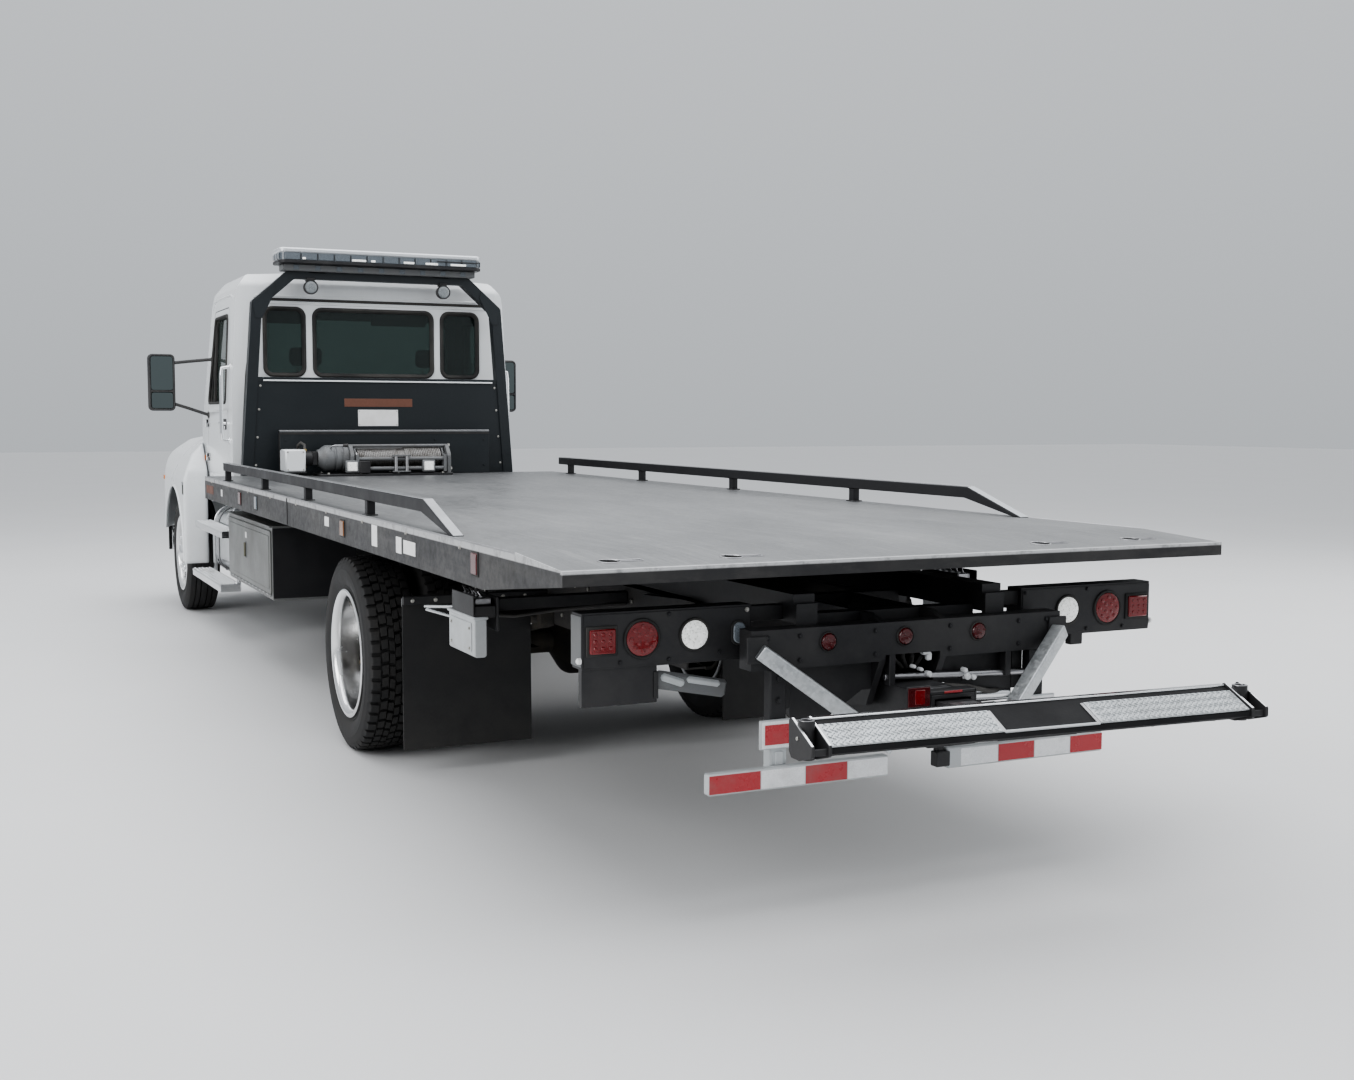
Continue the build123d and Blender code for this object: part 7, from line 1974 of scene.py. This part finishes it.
for dx in (-0.10, 0.0, 0.10):
    k.lathe([(0.0, 0.018), (0.016, 0.016), (0.019, 0.0)], on_dash(-0.420 + dx, 0.35), dn, "plastic", 24, closed=False)
k.prism(rounded([(-0.830, 1.300, 0.02), (-0.520, 1.300, 0.02), (-0.520, 1.400, 0.02), (-0.830, 1.400, 0.02)], 5), "y", -3.634, -3.618, "plastic", 0.005)
# sun visors, inner mirror strip, dome lamp, stalks
for s in (1, -1):
    k.frame_box(Vector((s * 0.450, -3.500, 2.400)), Vector((1, 0, 0)), Vector((0, 0.50, 0.866)), Vector((0, -0.866, 0.50)), 0.230, 0.075, 0.010, "vinyl", 0.008)
    k.rod((s * 0.690, -3.525, 2.455), (s * 0.225, -3.525, 2.455), 0.006, "chrome", 10)
k.box((-0.100, 0.100), (-3.080, -2.980), (2.578, 2.594), "led", 0.006)
k.sweep([(0.480 + 0.05, -3.560, 1.437), (0.60, -3.520, 1.470), (0.655, -3.500, 1.485)], 0.006, "plastic", 10)
k.sweep([(0.480 - 0.05, -3.560, 1.437), (0.360, -3.520, 1.470), (0.310, -3.500, 1.485)], 0.006, "plastic", 10)
k.make("cab_fittings", "chassis", [], "dark_trim")

# ------------------------------------------------------------------ under the truck and under the hood
u = Kit()
# bolt rows along the frame rails
for s in (1, -1):
    for k_ in range(56):
        y = -5.02 + k_ * 0.155
        if y > 3.66:
            break
        for z in (0.715, 0.865):
            u.hexbolt((s * 0.430, y, z), (s, 0, 0), 0.0095, 0.008, "bolt")
    # spring clamps: four-legged U-bolts round each axle seat, shackle eyes and dampers
    for x0, x1, y, zt, zb in ((0.362, 0.428, FRONT_Y, 0.496, 0.405), (0.434, 0.496, REAR_Y, 0.612, 0.400)):
        for dy in (-0.052, 0.052):
            for x in (x0 - 0.008, x1 + 0.008):
                u.rod((s * x, y + dy, zb), (s * x, y + dy, zt + 0.020), 0.0085, "bolt", 12)
                u.hexbolt((s * x, y + dy, zb), (0, 0, -1), 0.014, 0.014, "bolt")
            u.rod((s * (x0 - 0.008), y + dy, zt + 0.018), (s * (x1 + 0.008), y + dy, zt + 0.018), 0.0085, "bolt", 12)
        u.box((s * (x0 - 0.020), s * (x1 + 0.020)), (y - 0.080, y + 0.080), (zt - 0.008, zt + 0.012), "cast", 0.004)
        u.box((s * (x0 - 0.020), s * (x1 + 0.020)), (y - 0.080, y + 0.080), (zb - 0.004, zb + 0.018), "cast", 0.004)
        # leaf edges
    for i, (length, low) in enumerate(((0.56, 0.0), (0.46, 0.014), (0.36, 0.028), (0.26, 0.042))):
        u.box((s * 0.4325, s * 0.4975), (REAR_Y - length, REAR_Y + length), (0.528 - low - 0.010 + 0.010, 0.528 - low), "cast", 0.002)
    u.rod((s * 0.300, FRONT_Y + 0.120, 0.520), (s * 0.330, FRONT_Y + 0.330, 0.880), 0.034, "black", 20)
    u.rod((s * 0.298, FRONT_Y + 0.100, 0.480), (s * 0.305, FRONT_Y + 0.160, 0.590), 0.026, "steel", 16)
    # brake chambers of the rear axle
    c = Vector((s * 0.585, REAR_Y - 0.215, 0.560))
    u.lathe([(-0.060, 0.0), (-0.060, 0.052), (-0.048, 0.068), (-0.006, 0.074), (-0.004, 0.080), (0.006, 0.080), (0.008, 0.074), (0.040, 0.070), (0.056, 0.050),
             (0.062, 0.0)], c, (0, 1, 0.25), "black", 32, closed=False)
    u.lathe([(-0.180, 0.0), (-0.180, 0.046), (-0.168, 0.064), (-0.126, 0.072), (-0.120, 0.078), (-0.110, 0.078), (-0.104, 0.072), (-0.060, 0.068)], c, (0, 1, 0.25),
            "black", 32, closed=False)
    u.rod(c + Vector((0, 0.055, 0.014)), (s * 0.585, REAR_Y - 0.060, 0.590), 0.010, "steel", 12)
    u.beam((s * 0.585, REAR_Y - 0.060, 0.600), (s * 0.600, REAR_Y - 0.040, 0.480), 0.022, 0.034, "cast", b=0.004)
    u.sweep([c + Vector((0, -0.12, 0.030)), (s * 0.560, REAR_Y - 0.34, 0.70), (s * 0.500, REAR_Y - 0.42, 0.76), (s * 0.436, REAR_Y - 0.46, 0.78)], 0.008, "hose", 10)
    # front brake chambers
    c = Vector((s * 0.780, FRONT_Y + 0.150, 0.590))
    u.lathe([(-0.050, 0.0), (-0.050, 0.050), (-0.040, 0.064), (-0.004, 0.070), (-0.002, 0.076), (0.008, 0.076), (0.010, 0.070), (0.036, 0.066), (0.050, 0.0)], c,
            (0, 1, 0), "black", 28, closed=False)
# air tanks between the rails, with straps
for x in (-0.185, 0.185):
    u.lathe([(2.480, 0.0), (2.484, 0.060), (2.500, 0.096), (2.520, 0.110), (3.180, 0.110), (3.200, 0.096), (3.216, 0.060), (3.220, 0.0)], (x, 0, 0.765), (0, 1, 0),
            "black", 40, closed=False)
    for y in (2.640, 3.060):
        u.lathe([(y - 0.016, 0.1095), (y - 0.016, 0.1135), (y + 0.016, 0.1135), (y + 0.016, 0.1095)], (x, 0, 0.765), (0, 1, 0), "steel", 40)
        u.box((x - 0.012, x + 0.012), (y - 0.016, y + 0.016), (0.876, 0.892), "steel", 0.002)
    u.hexbolt((x, 2.482, 0.765), (0, -1, 0), 0.016, 0.014, "brass")
    u.sweep([(x, 2.470, 0.765), (x, 2.420, 0.780), (x * 1.3, 2.400, 0.830), (x * 1.55, 2.20, 0.850), (x * 1.75, 1.6, 0.850), (x * 1.80, 0.9, 0.840)], 0.007, "hose", 8)
# long lines clipped inside the left rail
for i, r in enumerate((0.012, 0.012, 0.008, 0.008)):
    u.sweep([(0.405 - 0.0, 3.40 - 0.1 * i, 0.700 + 0.026 * i), (0.402, 1.0, 0.700 + 0.026 * i), (0.402, -1.35, 0.700 + 0.026 * i), (0.402, -2.60, 0.700 + 0.026 * i)], r,
            "hose", 8)
for k_ in range(8):
    u.box((0.388, 0.421), (-2.3 + k_ * 0.72, -2.27 + k_ * 0.72), (0.682, 0.806), "steel", 0.002)
# hydraulic tank with its filter, on the right rail ahead of the axle
u.box((-0.445, -0.690), (-0.235, 0.255), (0.560, 0.900), "black", 0.014)
u.lathe([(0, 0.0), (0, 0.040), (0.014, 0.040), (0.018, 0.032), (0.050, 0.030), (0.054, 0.0)], (-0.580, -0.120, 0.896), (0, 0, 1), "steel", 28, closed=False)
# driveshaft joints
for y, z in ((-2.996, 0.620), (1.326, 0.480)):
    u.lathe([(-0.040, 0.0), (-0.040, 0.062), (-0.026, 0.062), (-0.024, 0.034), (0.024, 0.034), (0.026, 0.062), (0.040, 0.062), (0.040, 0.0)], (0, y, z), (0, 1, 0), "cast", 32,
            closed=False)
    u.rod((-0.058, y, z), (0.058, y, z), 0.016, "cast", 14)
# muffler bands, hangers and tail spout
for y in (-1.86, -1.04):
    u.lathe([(y - 0.014, 0.099), (y - 0.014, 0.104), (y + 0.014, 0.104), (y + 0.014, 0.099)], (-0.200, 0, 0.590), (0, 1, 0), "steel", 40)
for y in (-2.45, -0.55, 0.42):
    u.lathe([(y - 0.016, 0.0345), (y - 0.016, 0.040), (y + 0.016, 0.040), (y + 0.016, 0.0345)], (-0.200, 0, 0.590), (0, 1, 0), "steel", 28)
    u.box((-0.212, -0.188), (y - 0.003, y + 0.003), (0.628, 0.660), "steel", 0.001)
    u.box((-0.345, -0.188), (y - 0.010, y + 0.010), (0.655, 0.668), "steel", 0.002)
u.sweep([(-0.200, 0.590, 0.590), (-0.205, 0.640, 0.588), (-0.240, 0.690, 0.582), (-0.310, 0.725, 0.570), (-0.420, 0.735, 0.555), (-0.560, 0.735, 0.545)], 0.035, "rust", 24)
u.make("chassis_fittings", "chassis", [], "chassis_paint")

e = Kit()
# engine dressed: rocker cover, head, manifolds, filter, fan, radiator core, hoses
e.box((-0.170, 0.170), (-4.880, -4.110), (1.250, 1.300), "engine", 0.016)
e.box((-0.130, 0.130), (-4.850, -4.140), (1.298, 1.330), "grey_plastic", 0.014)
for k_ in range(7):
    e.hexbolt((0.150, -4.84 + k_ * 0.115, 1.300), (0, 0, 1), 0.008, 0.008, "bolt")
    e.hexbolt((-0.150, -4.84 + k_ * 0.115, 1.300), (0, 0, 1), 0.008, 0.008, "bolt")
e.lathe([(0, 0.0), (0, 0.036), (0.016, 0.036), (0.020, 0.030), (0.026, 0.0)], (0.050, -4.780, 1.330), (0, 0, 1), "black", 24, closed=False)
for k_ in range(6):
    e.sweep([(0.295, -4.85 + k_ * 0.13, 1.130), (0.330, -4.85 + k_ * 0.13, 1.135), (0.350, -4.84 + k_ * 0.125, 1.120)], 0.024, "rust", 14)
    e.box((-0.345, -0.300), (-4.885 + k_ * 0.13, -4.815 + k_ * 0.13), (1.120, 1.190), "engine", 0.010)
e.rod((0.352, -4.880, 1.118), (0.352, -4.170, 1.118), 0.036, "rust", 20)
e.rod((-0.352, -4.900, 1.155), (-0.352, -4.150, 1.155), 0.034, "engine", 20)
e.lathe([(-0.05, 0.0), (-0.05, 0.060), (-0.03, 0.085), (0.03, 0.085), (0.05, 0.060), (0.055, 0.0)], (0.390, -4.520, 1.020), (0, 1, 0), "cast", 32, closed=False)
# fan and its shroud ring
e.lathe([(-5.058, 0.270), (-5.058, 0.290), (-4.985, 0.290), (-4.985, 0.278), (-5.050, 0.270)], (0, 0, 0.960), (0, 1, 0), "plastic", 56)
for k_ in range(9):
    a = 2 * math.pi * k_ / 9
    d = Vector((math.cos(a), 0, math.sin(a)))
    t = Vector((-math.sin(a), 0.45, math.cos(a))).normalized()
    e.frame_box(Vector((0, -5.010, 0.960)) + d * 0.160, d, t, d.cross(t), 0.092, 0.036, 0.003, "plastic", 0.001)
e.lathe([(-5.035, 0.0), (-5.035, 0.070), (-4.990, 0.072), (-4.950, 0.060), (-4.950, 0.0)], (0, 0, 0.960), (0, 1, 0), "cast", 32, closed=False)
for k_ in range(46):
    z = 0.735 + k_ * 0.0102
    e.box((-0.322, 0.322), (-5.1435, -5.1395), (z - 0.0022, z + 0.0022), "steel", 0.0006)
for s in (1, -1):
    e.box((s * 0.318, s * 0.346), (-5.1450, -5.0560), (0.706, 1.224), "black", 0.004)
e.box((-0.340, 0.340), (-5.1440, -5.0570), (1.196, 1.240), "plastic", 0.012)
e.sweep([(0.200, -5.060, 1.200), (0.210, -4.990, 1.205), (0.215, -4.930, 1.225), (0.190, -4.880, 1.262)], 0.028, "hose", 16)
e.sweep([(-0.200, -5.060, 0.760), (-0.240, -4.990, 0.750), (-0.260, -4.930, 0.780), (-0.270, -4.900, 0.840)], 0.028, "hose", 16)
e.sweep([(-0.352, -4.150, 1.155), (-0.360, -4.090, 1.170), (-0.370, -4.060, 1.190), (-0.360, -4.045, 1.240)], 0.030, "hose", 16)
for k_ in range(4):
    z = 0.700 + k_ * 0.12
    e.box((-0.306, 0.306), (-4.944, -4.036), (z - 0.008, z + 0.008), "engine", 0.004)
e.lathe([(-4.975, 0.0), (-4.975, 0.090), (-4.960, 0.094), (-4.955, 0.088), (-4.950, 0.0)], (0, 0, 0.720), (0, 1, 0), "black", 40, closed=False)
e.lathe([(-4.975, 0.0), (-4.975, 0.046), (-4.950, 0.048), (-4.950, 0.0)], (0.210, 0, 1.060), (0, 1, 0), "black", 30, closed=False)
path = []
for cx, cz, r, a0, a1 in ((0.0, 0.720, 0.094, 180, 330), (0.210, 1.060, 0.050, -30, 60), (0.0, 0.960, 0.072, 60, 180)):
    for j in range(9):
        a = math.radians(a0 + (a1 - a0) * j / 8)
        path.append((cx + r * math.cos(a), -4.965, cz + r * math.sin(a)))
e.sweep(path, 0.006, "rubber", 8, closed=True)
# bell housing and gearbox ribs, pan
e.lathe([(-4.040, 0.0), (-4.040, 0.215), (-4.020, 0.215), (-3.900, 0.180), (-3.600, 0.165), (-3.560, 0.150), (-3.100, 0.140), (-3.020, 0.100), (-2.998, 0.070), (-2.998, 0.0)],
        (0, 0, 0.690), (0, 1, 0), "engine", 48, closed=False)
e.box((-0.170, 0.170), (-4.800, -4.100), (0.560, 0.605), "black", 0.018)
for y in (-3.55, -3.35, -3.15):
    e.box((-0.206, 0.206), (y - 0.010, y + 0.010), (0.516, 0.866), "engine", 0.006)
e.make("engine_fittings", "chassis", [], "cast")
